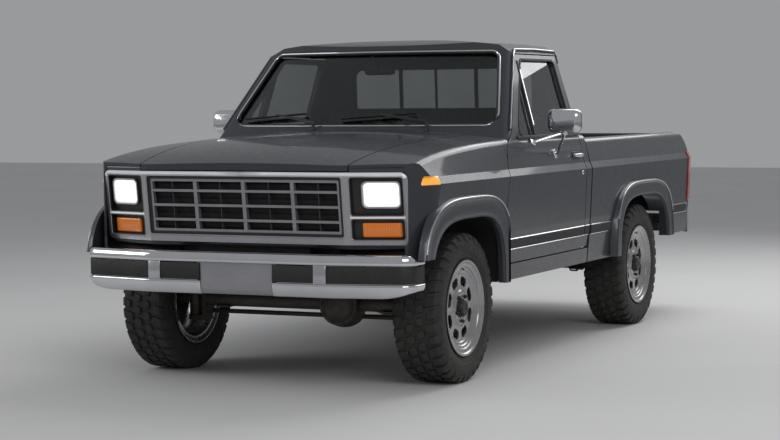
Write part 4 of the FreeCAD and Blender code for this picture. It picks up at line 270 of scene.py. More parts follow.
class Build:
    """Vertices and faces gathered into one mesh."""

    def __init__(self):
        self.verts = []
        self.faces = []

    def add(self, verts, faces):
        start = len(self.verts)
        self.verts += [tuple(v) for v in verts]
        self.faces += [tuple(start + i for i in face) for face in faces]
        return self

    def merge(self, *others):
        for other in others:
            self.add(other.verts, other.faces)
        return self

    def mirrored(self):
        out = Build()
        out.verts = [(-x, y, z) for x, y, z in self.verts]
        out.faces = [tuple(reversed(face)) for face in self.faces]
        return out

    def both(self):
        return Build().merge(self, self.mirrored())

    def moved(self, matrix):
        out = Build()
        out.verts = [tuple(matrix @ Vector(v)) for v in self.verts]
        out.faces = list(self.faces)
        return out

    def turned(self, count, axis="X", start=0.0):
        """Copies at an even spacing round an axis through the origin."""
        out = Build()
        for index in range(count):
            out.merge(self.moved(Matrix.Rotation(2 * math.pi * (index + start) / count, 4, axis)))
        return out

    def loft(self, rings, loop=False):
        """Closed rings of equal length joined in order, with a cap at each end or joined into a loop."""
        count = len(rings[0])
        verts = [p for ring in rings for p in ring]
        faces = []
        for k in range(len(rings) if loop else len(rings) - 1):
            a = k * count
            b = ((k + 1) % len(rings)) * count
            for i in range(count):
                j = (i + 1) % count
                faces.append((a + i, a + j, b + j, b + i))
        if not loop:
            faces.append(tuple(reversed(range(count))))
            faces.append(tuple(range((len(rings) - 1) * count, len(rings) * count)))
        return self.add(verts, faces)

    def box(self, one, other):
        """A box between two opposite corners."""
        (x0, x1), (y0, y1), (z0, z1) = (sorted(ends) for ends in zip(one, other))
        return self.loft([[(x0, y0, z), (x1, y0, z), (x1, y1, z), (x0, y1, z)] for z in (z0, z1)])

    def prism(self, outline, start, end, axis):
        """An outline of pairs run along an axis: 'x' takes (y, z), 'y' takes (x, z), 'z' takes (x, y)."""
        def put(a, b, c):
            return {"x": (c, a, b), "y": (a, c, b), "z": (a, b, c)}[axis]
        return self.loft([[put(a, b, c) for a, b in outline] for c in (start, end)])

    def tube(self, path, radius, sides=10):
        """A round tube along a path; radius is one number or one per point."""
        path = [Vector(p) for p in path]
        radii = radius if isinstance(radius, (list, tuple)) else [radius] * len(path)
        tangents = directions(path, False)
        side = tangents[0].orthogonal().normalized()
        rings = []
        for point, tangent, size in zip(path, tangents, radii):
            side = (side - tangent * side.dot(tangent)).normalized()
            other = tangent.cross(side)
            ring = []
            for k in range(sides):
                angle = 2 * math.pi * k / sides
                ring.append(point + (side * math.cos(angle) + other * math.sin(angle)) * size)
            rings.append(ring)
        return self.loft(rings)

    def strip(self, path, normals, section, loop=False):
        """A section of (across, out) pairs run along a path; normals holds one direction, or one per point."""
        if isinstance(normals, tuple):
            normals = [normals] * len(path)
        path = [Vector(p) for p in path]
        rings = []
        for point, tangent, normal in zip(path, directions(path, loop), normals):
            normal = Vector(normal)
            normal = (normal - tangent * normal.dot(tangent)).normalized()
            across = tangent.cross(normal)
            rings.append([point + across * a + normal * b for a, b in section])
        return self.loft(rings, loop=loop)

    def lathe(self, profile, centre, steps, axis="x"):
        """A closed profile of (along, radius) pairs turned about an axis."""
        centre = Vector(centre)
        rings = []
        for k in range(steps):
            angle = 2 * math.pi * k / steps
            c, d = math.cos(angle), math.sin(angle)
            put = {"x": lambda a, r: (a, r * c, r * d), "y": lambda a, r: (r * c, a, r * d),
                   "z": lambda a, r: (r * c, r * d, a)}[axis]
            rings.append([centre + Vector(put(a, r)) for a, r in profile])
        return self.loft(rings, loop=True)

    def sheet(self, top, low, line):
        """A closed sheet between two grids of points, both written line by line."""
        count = len(top)
        faces = [(a, a + 1, a + line + 1, a + line) for a in range(count - line) if (a + 1) % line]
        faces += [tuple(count + i for i in reversed(face)) for face in faces]
        rim = [*range(0, count, line), *range(count - line + 1, count), *range(count - 1 - line, -1, -line),
               *range(line - 2, 0, -1)]
        faces += [(a, b, count + b, count + a) for a, b in zip(rim, rim[1:] + rim[:1])]
        return self.add(top + low, faces)


def place(name, build, mat, slot, replaces=(), body="truck", bevel=0.0, steps=2, sharp=35, subsurf=0,
          padded=None):
    """Makes a piece of the truck from gathered geometry."""
    mesh = bpy.data.meshes.new(name)
    mesh.from_pydata(build.verts, [], build.faces)
    work = bmesh.new()
    work.from_mesh(mesh)
    bmesh.ops.remove_doubles(work, verts=work.verts, dist=1e-6)
    bmesh.ops.recalc_face_normals(work, faces=work.faces)
    work.to_mesh(mesh)
    work.free()
    mesh.materials.append(mat)
    obj = bpy.data.objects.new(name, mesh)
    bpy.context.collection.objects.link(obj)
    mesh.polygons.foreach_set("use_smooth", [True] * len(mesh.polygons))
    mesh.set_sharp_from_angle(angle=math.radians(sharp))
    if bevel:
        mod = obj.modifiers.new("edges", "BEVEL")
        mod.width = bevel
        mod.segments = steps
        mod.limit_method = "ANGLE"
        mod.angle_limit = math.radians(sharp)
    if subsurf:
        mod = obj.modifiers.new("curve", "SUBSURF")
        mod.levels = subsurf
        mod.render_levels = subsurf
    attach(obj, body)
    if replaces:
        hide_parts(*replaces)


def pair(name, build, mat, slot, replaces="", body="truck", **options):
    """A piece on the left and its mirror image on the right; {} in a name stands for the side."""
    for side, shape in (("left", build), ("right", build.mirrored())):
        place(name.format(side), shape, mat, slot, tuple(node.format(side) for node in replaces.split()),
              body.format(side), **options)


def arc_points(corner, before, after, radius, steps):
    """The arc that rounds a corner between the directions to its two neighbours."""
    half = before.angle(after) / 2
    centre = corner + (before + after).normalized() * (radius / math.sin(half))
    start = corner + before * (radius / math.tan(half)) - centre
    end = corner + after * (radius / math.tan(half)) - centre
    span = start.angle(end)
    points = []
    for k in range(steps + 1):
        share = k / steps
        a = math.sin((1 - share) * span) / math.sin(span)
        b = math.sin(share * span) / math.sin(span)
        points.append(tuple(centre + start * a + end * b))
    return points


def rounded(points, radii, steps=6):
    """An outline of pairs with its corners rounded; radii is one number or one per corner."""
    if not isinstance(radii, (list, tuple)):
        radii = [radii] * len(points)
    out = []
    for i, point in enumerate(points):
        corner = Vector(point)
        if radii[i] == 0:
            out.append(tuple(corner))
            continue
        before = (Vector(points[i - 1]) - corner).normalized()
        after = (Vector(points[(i + 1) % len(points)]) - corner).normalized()
        out += arc_points(corner, before, after, radii[i], steps)
    return out


def rectangle(x0, x1, z0, z1, radius, steps=5):
    return rounded([(x0, z0), (x1, z0), (x1, z1), (x0, z1)], radius, steps)


def scaled(outline, middle, a_factor, b_factor):
    """An outline of pairs scaled about its middle."""
    a_middle, b_middle = middle
    return [(a_middle + (a - a_middle) * a_factor, b_middle + (b - b_middle) * b_factor) for a, b in outline]


def resample(points, step, loop=False):
    """Points at an even spacing along a line, with its corners kept."""
    points = [Vector(p) for p in points]
    if loop:
        points.append(points[0])
    out = []
    for a, b in zip(points, points[1:]):
        count = max(1, round((b - a).length / step))
        out += [a + (b - a) * (k / count) for k in range(count)]
    if not loop:
        out.append(points[-1])
    return out


def tree_of(*nodes):
    """A tree for rays, of the CAD model's nodes at rest."""
    verts = []
    polys = []
    for node in nodes:
        mesh = frame["nodes"][node].data
        start = len(verts)
        verts += [v.co.copy() for v in mesh.vertices]
        polys += [tuple(start + i for i in poly.vertices) for poly in mesh.polygons]
    return BVHTree.FromPolygons(verts, polys)


def laid(tree, starts, way):
    """The places where rays sent in one direction meet a surface, and its normals there; a miss is left out."""
    way = Vector(way)
    path = []
    normals = []
    for start in starts:
        hit, normal = tree.ray_cast(Vector(start), way)[:2]
        if hit is not None:
            path.append(hit)
            normals.append(normal if normal.dot(way) < 0 else -normal)
    return path, normals


def on_side(tree, outline):
    """Places and normals on the left side under points given as (along, up)."""
    return laid(tree, [(1.4, y, z) for y, z in outline], (-1, 0, 0))


def from_front(tree, outline):
    """Places and normals on the front under points given as (across, up)."""
    return laid(tree, [(x, -3.0, z) for x, z in outline], (0, 1, 0))


def from_rear(tree, outline):
    return laid(tree, [(x, 3.0, z) for x, z in outline], (0, -1, 0))


def hit_below(tree, x, y, z):
    return tree.ray_cast(Vector((x, y, z)), Vector((0, 0, -1)))[0]


def hit_above(tree, x, y, z):
    return tree.ray_cast(Vector((x, y, z)), Vector((0, 0, 1)))[0]


def bead(width, height, sink=0.003):
    """The section of a half-round bead, as (across, out) pairs."""
    half = width / 2
    return [(-half, -sink), (-half, height * 0.25), (-half * 0.72, height * 0.72), (-half * 0.3, height),
            (half * 0.3, height), (half * 0.72, height * 0.72), (half, height * 0.25), (half, -sink)]


def flat_strip(width, height, sink=0.003):
    """The section of a flat strip with its edges taken off, as (across, out) pairs."""
    half = width / 2
    return [(-half, -sink), (-half, height * 0.7), (-half + height * 0.3, height),
            (half - height * 0.3, height), (half, height * 0.7), (half, -sink)]


# Wheels and tyres

LUGS = 36
WHEEL_STEPS = 96


def tyre_carcass():
    side = [
        (0.112, 0.23), (0.1125, 0.252), (0.1165, 0.26), (0.1205, 0.266), (0.1235, 0.269), (0.1245, 0.274),
        (0.129, 0.29), (0.1305, 0.2945), (0.1318, 0.296), (0.1328, 0.31), (0.1335, 0.323), (0.1325, 0.34),
        (0.131, 0.344), (0.1295, 0.352), (0.125, 0.364), (0.118, 0.375), (0.106, 0.381), (0.06, 0.3825),
    ]
    return Build().lathe(side + [(-a, r) for a, r in reversed(side)], (0, 0, 0), WHEEL_STEPS)


def wedge(angle, twist, ring, width):
    """The two ends of a lug, centred on an angle of the tread; ring holds (across, radius, width share)."""
    turn = Matrix.Rotation(angle, 4, "X")
    ends = []
    for way in (-1, 1):
        ends.append([turn @ Vector((a, way * width * share / 2 + (a - 0.09) * twist, r))
                     for a, r, share in ring])
    return ends


def tyre_lugs():
    """Long and short shoulder lugs in turn, with two rows of blocks between them."""
    shape = Build()
    pitch = 2 * math.pi / LUGS
    long_lug = [(0.06, 0.378, 1.0), (0.061, 0.394, 0.94), (0.11, 0.394, 1.0), (0.1225, 0.383, 1.02),
                (0.131, 0.366, 0.96), (0.1338, 0.348, 0.8), (0.133, 0.338, 0.74), (0.12, 0.34, 0.74),
                (0.105, 0.37, 1.0)]
    short_lug = [(0.072, 0.378, 0.9), (0.073, 0.394, 0.84), (0.11, 0.394, 0.95), (0.1215, 0.3835, 0.95),
                 (0.1285, 0.37, 0.86), (0.1295, 0.36, 0.8), (0.118, 0.36, 0.8), (0.105, 0.37, 0.9)]
    for index in range(LUGS):
        ring = long_lug if index % 2 == 0 else short_lug
        for sign, shift in ((1, 0), (-1, pitch / 2)):
            ends = wedge(pitch * index + shift, 0.25 * sign, ring, 0.046)
            shape.loft([[(p.x * sign, p.y, p.z) for p in end] for end in ends])
    block = [(-0.021, -0.016), (-0.004, -0.024), (0.021, -0.017), (0.023, 0.012), (0.006, 0.024),
             (-0.021, 0.015)]
    for index in range(LUGS):
        for offset, shift, flip in ((0.029, 0.55, 1), (-0.027, 0.05, -1)):
            turn = Matrix.Rotation(pitch * (index + shift), 4, "X")
            shape.loft([[turn @ Vector((offset + a * flip * grow, b * grow, r)) for a, b in block]
                        for grow, r in ((1, 0.38), (0.93, 0.394))])
    return shape


RIM_FACE = [
    (0.1085, 0.214), (0.109, 0.205), (0.1065, 0.201), (0.1015, 0.1975), (0.099, 0.193), (0.099, 0.1865),
    (0.0965, 0.1825), (0.0925, 0.179), (0.0905, 0.174), (0.09, 0.168), (0.09, 0.16), (0.09, 0.127),
    (0.0905, 0.119), (0.0915, 0.102), (0.0935, 0.095), (0.0985, 0.09), (0.1005, 0.086), (0.1005, 0.056),
    (0.0985, 0.052), (0.096, 0.05),
]
RIM_LIP = [
    (0.113, 0.23), (0.114, 0.248), (0.118, 0.252), (0.123, 0.2545), (0.127, 0.254), (0.128, 0.251),
    (0.1278, 0.246), (0.1255, 0.242), (0.1205, 0.239), (0.1175, 0.235), (0.1165, 0.228), (0.116, 0.22),
    (0.1135, 0.2165), (0.11, 0.2145),
]


def rim_disc():
    """The stepped face of the wheel with its eight windows."""
    windows = 8
    per_window = WHEEL_STEPS // windows
    count = len(RIM_FACE)
    verts = []
    for k in range(WHEEL_STEPS):
        angle = 2 * math.pi * (k + 0.5) / WHEEL_STEPS
        c, d = math.cos(angle), math.sin(angle)
        verts += [(a, r * c, r * d) for a, r in RIM_FACE]
    back = len(verts)
    verts += [(a - 0.007, b, c) for a, b, c in verts]
    open_bands = {9: (3, 8), 10: (2, 9), 11: (3, 8)}

    def is_open(band, k):
        if band not in open_bands:
            return False
        first, last = open_bands[band]
        return first <= k % per_window <= last

    faces = []
    for k in range(WHEEL_STEPS):
        a = k * count
        b = ((k + 1) % WHEEL_STEPS) * count
        for i in range(count - 1):
            if is_open(i, k):
                sides = (
                    ((i - 1, k), (a + i, b + i)), ((i + 1, k), (b + i + 1, a + i + 1)),
                    ((i, k - 1), (a + i + 1, a + i)), ((i, k + 1), (b + i, b + i + 1)))
                for (band, step), (p, q) in sides:
                    if not is_open(band, step):
                        faces.append((p, q, back + q, back + p))
                continue
            faces.append((a + i, a + i + 1, b + i + 1, b + i))
            faces.append((back + b + i, back + b + i + 1, back + a + i + 1, back + a + i))
        for i in (0, count - 1):
            faces.append((a + i, b + i, back + b + i, back + a + i))
    return Build().add(verts, faces)


def wheel_rim():
    shape = rim_disc()
    well = [(0.108, 0.213), (0.07, 0.212), (0.03, 0.199), (-0.05, 0.199), (-0.07, 0.212),
            (-0.116, 0.216), (-0.118, 0.236), (-0.1275, 0.244), (-0.128, 0.251), (-0.116, 0.25),
            (-0.113, 0.23), (-0.113, 0.2265), (0.113, 0.2265)]
    shape.lathe(well[::-1] + [(a, r) for a, r in reversed(RIM_LIP)], (0, 0, 0), WHEEL_STEPS)
    return shape


def hub_parts():
    """The dark hub: a ribbed locking cap, its flange and five nuts."""
    shape = Build().lathe([
        (0.02, 0.03), (0.02, 0.044), (0.098, 0.044), (0.1005, 0.05), (0.103, 0.05), (0.1045, 0.044),
        (0.119, 0.042), (0.1225, 0.039), (0.124, 0.034), (0.124, 0.02), (0.1215, 0.018), (0.1215, 0.001),
        (0.02, 0.001)], (0, 0, 0), 48)
    rib = Build().box((0.105, -0.003, 0.04), (0.1185, 0.003, 0.0455))
    bolt_circle = 0.069
    hexagon = [(0.0105 * math.cos(math.pi * k / 3), bolt_circle + 0.0105 * math.sin(math.pi * k / 3))
               for k in range(6)]
    nut = Build().prism(hexagon, 0.0995, 0.113, "x")
    nut.lathe([(0.112, 0.0075), (0.116, 0.006), (0.1175, 0.003), (0.112, 0.003)], (0, 0, bolt_circle), 12)
    return shape.merge(rib.turned(10), nut.turned(5, start=0.5))


def brake_parts():
    """The finned drum that shows through the wheel's windows."""
    shape = Build().lathe([
        (0.02, 0.044), (0.02, 0.15), (0.024, 0.1545), (0.046, 0.1545), (0.05, 0.15), (0.053, 0.13),
        (0.06, 0.124), (0.064, 0.1), (0.078, 0.092), (0.08, 0.052), (0.08, 0.044)], (0, 0, 0), 64)
    return shape.merge(Build().box((0.027, -0.0035, 0.15), (0.043, 0.0035, 0.1585)).turned(24))


def make_wheels():
    valve = Build().tube([(0.1, 0, 0.208), (0.118, 0, 0.2035)], [0.0045, 0.0035], 8)
    carcass, lugs, rim, hub, brake = tyre_carcass(), tyre_lugs(), wheel_rim(), hub_parts(), brake_parts()
    for row, y in (("front", FRONT_AXLE), ("rear", REAR_AXLE)):
        for side, sign in (("left", 1), ("right", -1)):
            tag = f"{row}_{side}"
            body = "wheel_" + tag
            centre = Matrix.Translation((sign * TRACK, y, AXLE_HEIGHT))

            def put(shape):
                return (shape if sign > 0 else shape.mirrored()).moved(centre)
            place("tyre_carcass_" + tag, put(carcass), TYRE, "tyre", ("tyre_" + tag,), body=body, sharp=28)
            place("tyre_lugs_" + tag, put(lugs), TYRE, "tyre", body=body, bevel=0.0022, steps=1, sharp=30)
            place("wheel_disc_" + tag, put(rim), WHEEL, "wheel_paint", ("rim_" + tag,), body=body, sharp=50)
            place("wheel_hub_" + tag, put(hub), HUB, "axle_iron", body=body, bevel=0.0008, steps=1)
            place("wheel_brake_" + tag, put(brake), BRAKE, "axle_iron", body=body)
            place("wheel_valve_" + tag, put(valve), RUBBER, "black_rubber", body=body)


# Front bumper

BUMPER_FACE = -2.4495
BUMPER_END = 0.955
BUMPER_SECTION = [
    (0.062, 0.718), (0.036, 0.723), (0.024, 0.7225), (0.014, 0.7185), (0.0065, 0.711), (0.0018, 0.7),
    (0.0002, 0.686), (0.0004, 0.6765), (0.002, 0.6715), (0.0055, 0.6685), (0.0158, 0.668), (0.0158, 0.575),
    (0.0055, 0.5745), (0.002, 0.572), (0.0004, 0.5675), (0.0008, 0.559), (0.0045, 0.538), (0.0095, 0.52),
    (0.014, 0.51), (0.02, 0.505), (0.03, 0.5035), (0.062, 0.5035), (0.062, 0.5095), (0.031, 0.5095),
    (0.022, 0.513), (0.015, 0.54), (0.012, 0.564), (0.0215, 0.569), (0.0215, 0.674), (0.012, 0.68),
    (0.019, 0.7085), (0.035, 0.7165), (0.062, 0.712),
]
BUMPER_STRIP = [(0.0168, 0.577), (0.0068, 0.578), (0.004, 0.583), (0.0036, 0.621), (0.004, 0.66),
                (0.0068, 0.665), (0.0168, 0.666)]
BUMPER_PAD = [(0.017, 0.5735), (0.003, 0.5735), (-0.0004, 0.58), (-0.0008, 0.621), (-0.0004, 0.663),
              (0.003, 0.6695), (0.017, 0.6695)]


def bumper_path():
    """Places and outward directions along the bumper's front, from the right end to the left."""
    line = rounded([(-BUMPER_END, -2.214), (-BUMPER_END, -2.368), (-0.52, BUMPER_FACE), (0.52, BUMPER_FACE),
                    (BUMPER_END, -2.368), (BUMPER_END, -2.214)], [0, 0.085, 0.4, 0.4, 0.085, 0], 10)
    points = resample(line, 0.03)
    normals = []
    for tangent in directions(points, False):
        normals.append(Vector((tangent.y, -tangent.x)))
    return points, normals


def bumper_ring(section, point, normal):
    """The section at a place, drawn up at its foot round the corner and down at its top along the side."""
    lift = 0.5 * min(1, max(0, (abs(point.x) - 0.8) / 0.15)) ** 1.5
    drop = 0.9 * min(1, max(0, (point.y + 2.335) / 0.055))
    foot_level, lip_level = 0.56, 0.684
    ring = []
    for setback, z in section:
        if z < foot_level:
            z = foot_level - (foot_level - z) * (1 - lift)
        if z > lip_level:
            z = lip_level + (z - lip_level) * (1 - drop)
        ring.append((point.x - normal.x * setback, point.y - normal.y * setback, z))
    return ring


def bumper_sweep(section, x0, x1):
    """The section along the bumper between two places across, with rings at exactly those places."""
    points, normals = bumper_path()
    rings = []
    for index, (point, normal) in enumerate(zip(points, normals)):
        if x0 - 1e-6 <= point.x <= x1 + 1e-6:
            rings.append(bumper_ring(section, point, normal))
        if index + 1 < len(points):
            after = points[index + 1]
            for x in sorted((x0, x1), reverse=after.x < point.x):
                if abs(after.x - point.x) > 1e-6 and (point.x - x) * (after.x - x) < -1e-12:
                    share = (x - point.x) / (after.x - point.x)
                    turned = normal.lerp(normals[index + 1], share).normalized()
                    rings.append(bumper_ring(section, point.lerp(after, share), turned))
    return Build().loft(rings)


def lower_bar_end(sign):
    """The return that closes the lower bar beside the plate panel."""
    rings = []
    for x, grow in ((0.232, 0.0), (0.222, 0.0004), (0.214, 0.0004), (0.2095, 0.004), (0.2085, 0.014)):
        section = [(0.03, 0.572), (grow + 0.0012, 0.5735 - grow * 0.4)]
        section += [(grow + setback, z) for setback, z in (
            (0.0002, 0.568), (0.0004, 0.559), (0.0042, 0.538), (0.0092, 0.52), (0.0138, 0.51))]
        section.append((0.03, 0.5035))
        rings.append([(sign * x, BUMPER_FACE + setback, z) for setback, z in section])
    return Build().loft(rings)


def make_front_bumper():
    """The rolled top lip with its groove, the lower bar on each side of the plate panel, strips and pads."""
    top_lip = BUMPER_SECTION[:11] + [(0.0158, 0.66), (0.0215, 0.66)] + BUMPER_SECTION[28:]
    lower = BUMPER_SECTION[10:28]
    bar = bumper_sweep(top_lip, -1, 1).merge(
        bumper_sweep(lower, -1, -0.23), bumper_sweep(lower, 0.23, 1), lower_bar_end(-1), lower_bar_end(1))
    place("front_bumper_bar", bar, CHROME, "chrome", ("front_bumper",), sharp=55)
    pad_at, pad_half, panel_half = 0.48, 0.035, 0.212
    strips = Build()
    for x0, x1 in ((-1, -pad_at - pad_half - 0.0005), (-pad_at + pad_half + 0.0005, -panel_half),
                   (panel_half, pad_at - pad_half - 0.0005), (pad_at + pad_half + 0.0005, 1)):
        strips.merge(bumper_sweep(BUMPER_STRIP, x0, x1))
    place("bumper_strip_rubber", strips, RUBBER, "black_rubber", ("bumper_strips",), sharp=50)
    pads = Build()
    for x in (-pad_at, pad_at):
        pads.merge(bumper_sweep(BUMPER_PAD, x - pad_half, x + pad_half))
    place("bumper_pads", pads, SATIN, "chrome", bevel=0.002)
    rings = []
    for z, half, setback in ((0.6685, panel_half, 0.006), (0.66, 0.211, 0.0105), (0.62, 0.2095, 0.011),
                             (0.57, 0.2085, 0.011), (0.535, 0.2085, 0.0125), (0.515, 0.2085, 0.018),
                             (0.506, 0.2085, 0.026)):
        front = BUMPER_FACE + setback
        rings.append([(-half, -2.417, z), (-half, front, z), (half, front, z), (half, -2.417, z)])
    place("bumper_plate_panel", Build().loft(rings), PANEL, "chrome", bevel=0.003)


# Grille, lamps and their boxes

FACE_Y = -2.376
FACE_TOP = 1.128
GRILLE_HALF = 0.566


def face_y(x, z, setback):
    """The front face's place along the truck, set back by a distance."""
    sweep = max(0.0, abs(x) - GRILLE_HALF) * 0.324
    lean = (FACE_TOP - z) * 0.12637
    return FACE_Y + sweep + lean + setback


def face_ring(outline, setback):
    return [(x, face_y(x, z, setback), z) for x, z in outline]


def face_frame(outer, inner, front, back):
    """A flat frame between two outlines, in line with the front face."""
    rings = [face_ring(outer, back), face_ring(outer, front), face_ring(inner, front), face_ring(inner, back)]
    return Build().loft(rings, loop=True)


def face_bead(outline):
    """A fine bead round an outline on the front face."""
    path = face_ring(resample(outline, 0.03, True), 0.0015)
    return Build().strip(path, (0, -1, 0), bead(0.005, 0.003), loop=True)


def face_panel(xs, section):
    """A section of (height, setback) pairs run across the front face."""
    return Build().loft([[(x, face_y(x, z, setback), z) for z, setback in section] for x in xs])


def lamp_lens(x0, x1, z0, z1, setback, crown, radius):
    """A crowned lens with a rolled edge."""
    shape = []
    for grow, depth in ((0.0, 0.014), (0.0, 0.003), (-0.003, 0.0), (-0.008, -crown * 0.35),
                        (-0.022, -crown * 0.7), (-0.045, -crown * 0.93), (-0.066, -crown)):
        grow = max(grow, -(z1 - z0) / 2 + 0.004)
        outline = rectangle(x0 - grow, x1 + grow, z0 - grow, z1 + grow, max(0.002, radius + grow))
        shape.append(face_ring(outline, setback + depth))
    return Build().loft(shape)


def make_front_face():
    lamp_hole = rectangle(0.658, 0.84, 0.952, 1.083, 0.022)
    box = face_frame(rectangle(0.6045, 0.8615, 0.9125, 1.1055, 0.013), lamp_hole, 0.03, 0.0335)
    walls = face_frame(rectangle(0.6044, 0.8616, 0.9124, 1.1056, 0.013),
                       rectangle(0.6085, 0.8575, 0.9165, 1.1015, 0.01), 0.002, 0.0335)
    turn_walls = face_frame(rectangle(0.6044, 0.8616, 0.7904, 0.8956, 0.013),
                            rectangle(0.6085, 0.8575, 0.7945, 0.8915, 0.01), 0.002, 0.0335)
    turn_back = rectangle(0.606, 0.86, 0.792, 0.894, 0.01)
    turn_back = Build().loft([face_ring(turn_back, 0.03), face_ring(turn_back, 0.0335)])
    # The lamp pockets are lined with black, painted as the shade inside them
    place("lamp_boxes_painted_shade", Build().merge(box, walls, turn_walls, turn_back).both(), BLACK, "inner_black")
    lamp = lamp_lens(0.663, 0.835, 0.957, 1.078, 0.0165, 0.009, 0.024)
    place("headlamp_lenses", lamp.both(), LENS_WHITE, "lamp_clear", ("headlamps",), sharp=60)
    ring = face_frame(rectangle(0.654, 0.844, 0.948, 1.087, 0.028), rectangle(0.661, 0.837, 0.955, 1.08, 0.024),
                      0.015, 0.033)
    place("headlamp_rings", ring.both(), TRIM, "silver_trim", bevel=0.0015)
    lamp = lamp_lens(0.65, 0.836, 0.803, 0.876, 0.0165, 0.004, 0.008)
    place("turn_lamp_lenses", lamp.both(), LENS_AMBER, "lamp_amber", ("amber_lamps",), sharp=60)
    place("side_marker_lenses", side_marker().both(), LENS_MARKER, "lamp_amber", sharp=60)

    # Bright lines: near-white strips over the surround and between the lamps, painting the highlights on its
    # rolled rim and on the bar, and satin beads round the lamp boxes and the grille
    top = [(x, 1.1205) for x in (0, 0.25, 0.5, 0.566, 0.62, 0.7, 0.8, 0.852)] + [
        (0.862, 1.1185), (0.8695, 1.112), (0.873, 1.102)]
    section = [(-0.011, -0.007), (-0.011, 0.0015), (-0.0085, 0.0045), (-0.0025, 0.0072), (0.0035, 0.0072),
               (0.0085, 0.0036), (0.01, -0.007)]
    bright = Build().strip(face_ring(top, 0.001), (0, -1, 0.55), section)
    between = [(x, 0.904) for x in (0.6, 0.7, 0.8, 0.866)]
    bright.strip(face_ring(between, 0.001), (0, -1, 0.3), bead(0.013, 0.0045))
    # Near-white strips painted as the highlights on the surround's top rim and on the bar between the lamps
    place("surround_painted_highlight_lines", bright.both(), PAINTED_HIGHLIGHT, "chrome")
    edges = face_bead(rectangle(0.6005, 0.8655, 0.909, 1.109, 0.016))
    edges.merge(face_bead(rectangle(0.6005, 0.8655, 0.787, 0.899, 0.016)))
    edges = edges.both().merge(face_bead(rectangle(-0.572, 0.572, 0.796, 1.112, 0.018)))
    place("surround_edges", edges, TRIM, "silver_trim")

    # The painted valance under the surround, and the brow that closes the fender tops down to it
    valance = face_panel((-0.872, -0.8, -0.7, -0.6, -0.566, -0.4, 0, 0.4, 0.566, 0.6, 0.7, 0.8, 0.872), (
        (0.796, 0.01), (0.78, 0.0105), (0.765, 0.015), (0.748, 0.026), (0.739, 0.042), (0.739, 0.052),
        (0.744, 0.052), (0.753, 0.03), (0.768, 0.02), (0.796, 0.0155)))
    place("front_valance", valance, PAINT, "body_paint", sharp=50)
    brow = face_panel((0.6075, 0.64, 0.7, 0.76, 0.82, 0.868, 0.884), (
        (1.1315, 0.046), (1.1315, 0.008), (1.1345, 0.0045), (1.142, 0.0035), (1.152, 0.006), (1.156, 0.012),
        (1.156, 0.046)))
    place("fender_brows", brow.both(), PAINT, "body_paint", sharp=50)

    # The gap round the grille as a black ring of painted shade, its fins, and behind them a near-black screen
    # painted as the shaded radiator behind the grille
    ring = face_frame(rectangle(-0.5655, 0.5655, 0.8025, 1.1055, 0.013),
                      rectangle(-0.55, 0.55, 0.817, 1.091, 0.008), 0.008, 0.03)
    # A black ring painted as the shade in the gap round the grille
    place("grille_gap", ring, BLACK, "inner_black")
    fins = Build()
    for column in range(4):
        x = GRILLE_HALF * (2 * (column + 0.5) / 4 - 1)
        fins.loft([[(x - 0.0025, face_y(x, z, 0.022), z), (x + 0.0025, face_y(x, z, 0.022), z),
                    (x + 0.0035, face_y(x, z, 0.04), z), (x - 0.0035, face_y(x, z, 0.04), z)]
                   for z in (0.815, 1.093)])
    for row in range(4):
        z = 0.802 + 0.304 * (row + 0.5) / 4
        fins.prism([(face_y(0, z, 0.044), z - 0.0012), (face_y(0, z, 0.04), z),
                    (face_y(0, z, 0.044), z + 0.0012), (face_y(0, z, 0.05), z)], -0.545, 0.545, "x")
    place("grille_fins", fins, GRILLE_DARK, "inner_black")
    screen = rectangle(-0.56, 0.56, 0.795, 1.112, 0.01)
    screen = Build().loft([face_ring(screen, 0.05), face_ring(screen, 0.054)])
    # A near-black screen behind the grille, painted as the shaded radiator behind it
    place("grille_screen_painted_shade", screen, SHADE_AND_GAUGE_BLACK, "inner_black")


# Cab and body sides

def reach(distance):
    """The place along the truck at a distance behind the front axle."""
    return FRONT_AXLE + distance


def side_x(z):
    """The body side's half width at a height."""
    table = ((0.49, 0.942), (0.76, 0.966), (1.066, 0.981), (1.104, 0.963), (1.27, 0.926))
    for (z0, x0), (z1, x1) in zip(table, table[1:]):
        if z <= z1:
            return x0 + (x1 - x0) * max(0, z - z0) / (z1 - z0)
    return table[-1][1]


def up_glasshouse(z):
    """The share of the way from the cab's belt line, at 0, to the level of the glasshouse's top, at 1."""
    belt, rise = 1.18, 0.72
    return (z - belt) / rise


def glass_front(x, z, proud=0.0):
    """The windshield's place along the truck: it leans back and is bowed across."""
    share = up_glasshouse(z)
    front = 0.398 + 0.664 * share
    bow = 0.182 - 0.044 * share
    half = 0.948 - 0.212 * share
    return reach(front + bow * (x / half) ** 2) - proud


ARCH_POWER = 2 / 3.6
FLARE_STEPS = 56
FLARE_SECTION = [
    (0.124, 0.956), (0.119, 0.97), (0.1155, 0.983), (0.111, 0.9925), (0.106, 0.997), (0.1, 0.9975),
    (0.0955, 0.9945), (0.0915, 0.9915), (0.085, 0.9902), (0.045, 0.9908), (0.015, 0.9912), (0.005, 0.9895),
    (-0.0012, 0.984), (-0.0012, 0.966), (0.03, 0.956),
]


def arch_point(axle, front, rear, rise, outset, share):
    """A point round a wheel opening, from its rear foot at 0 to its front foot at 1."""
    angle = math.pi * share
    length = rear + outset if angle <= math.pi / 2 else -(front + outset)
    across = abs(math.cos(angle)) ** ARCH_POWER * length
    return axle + across, AXLE_HEIGHT + (rise + outset) * math.sin(angle) ** ARCH_POWER


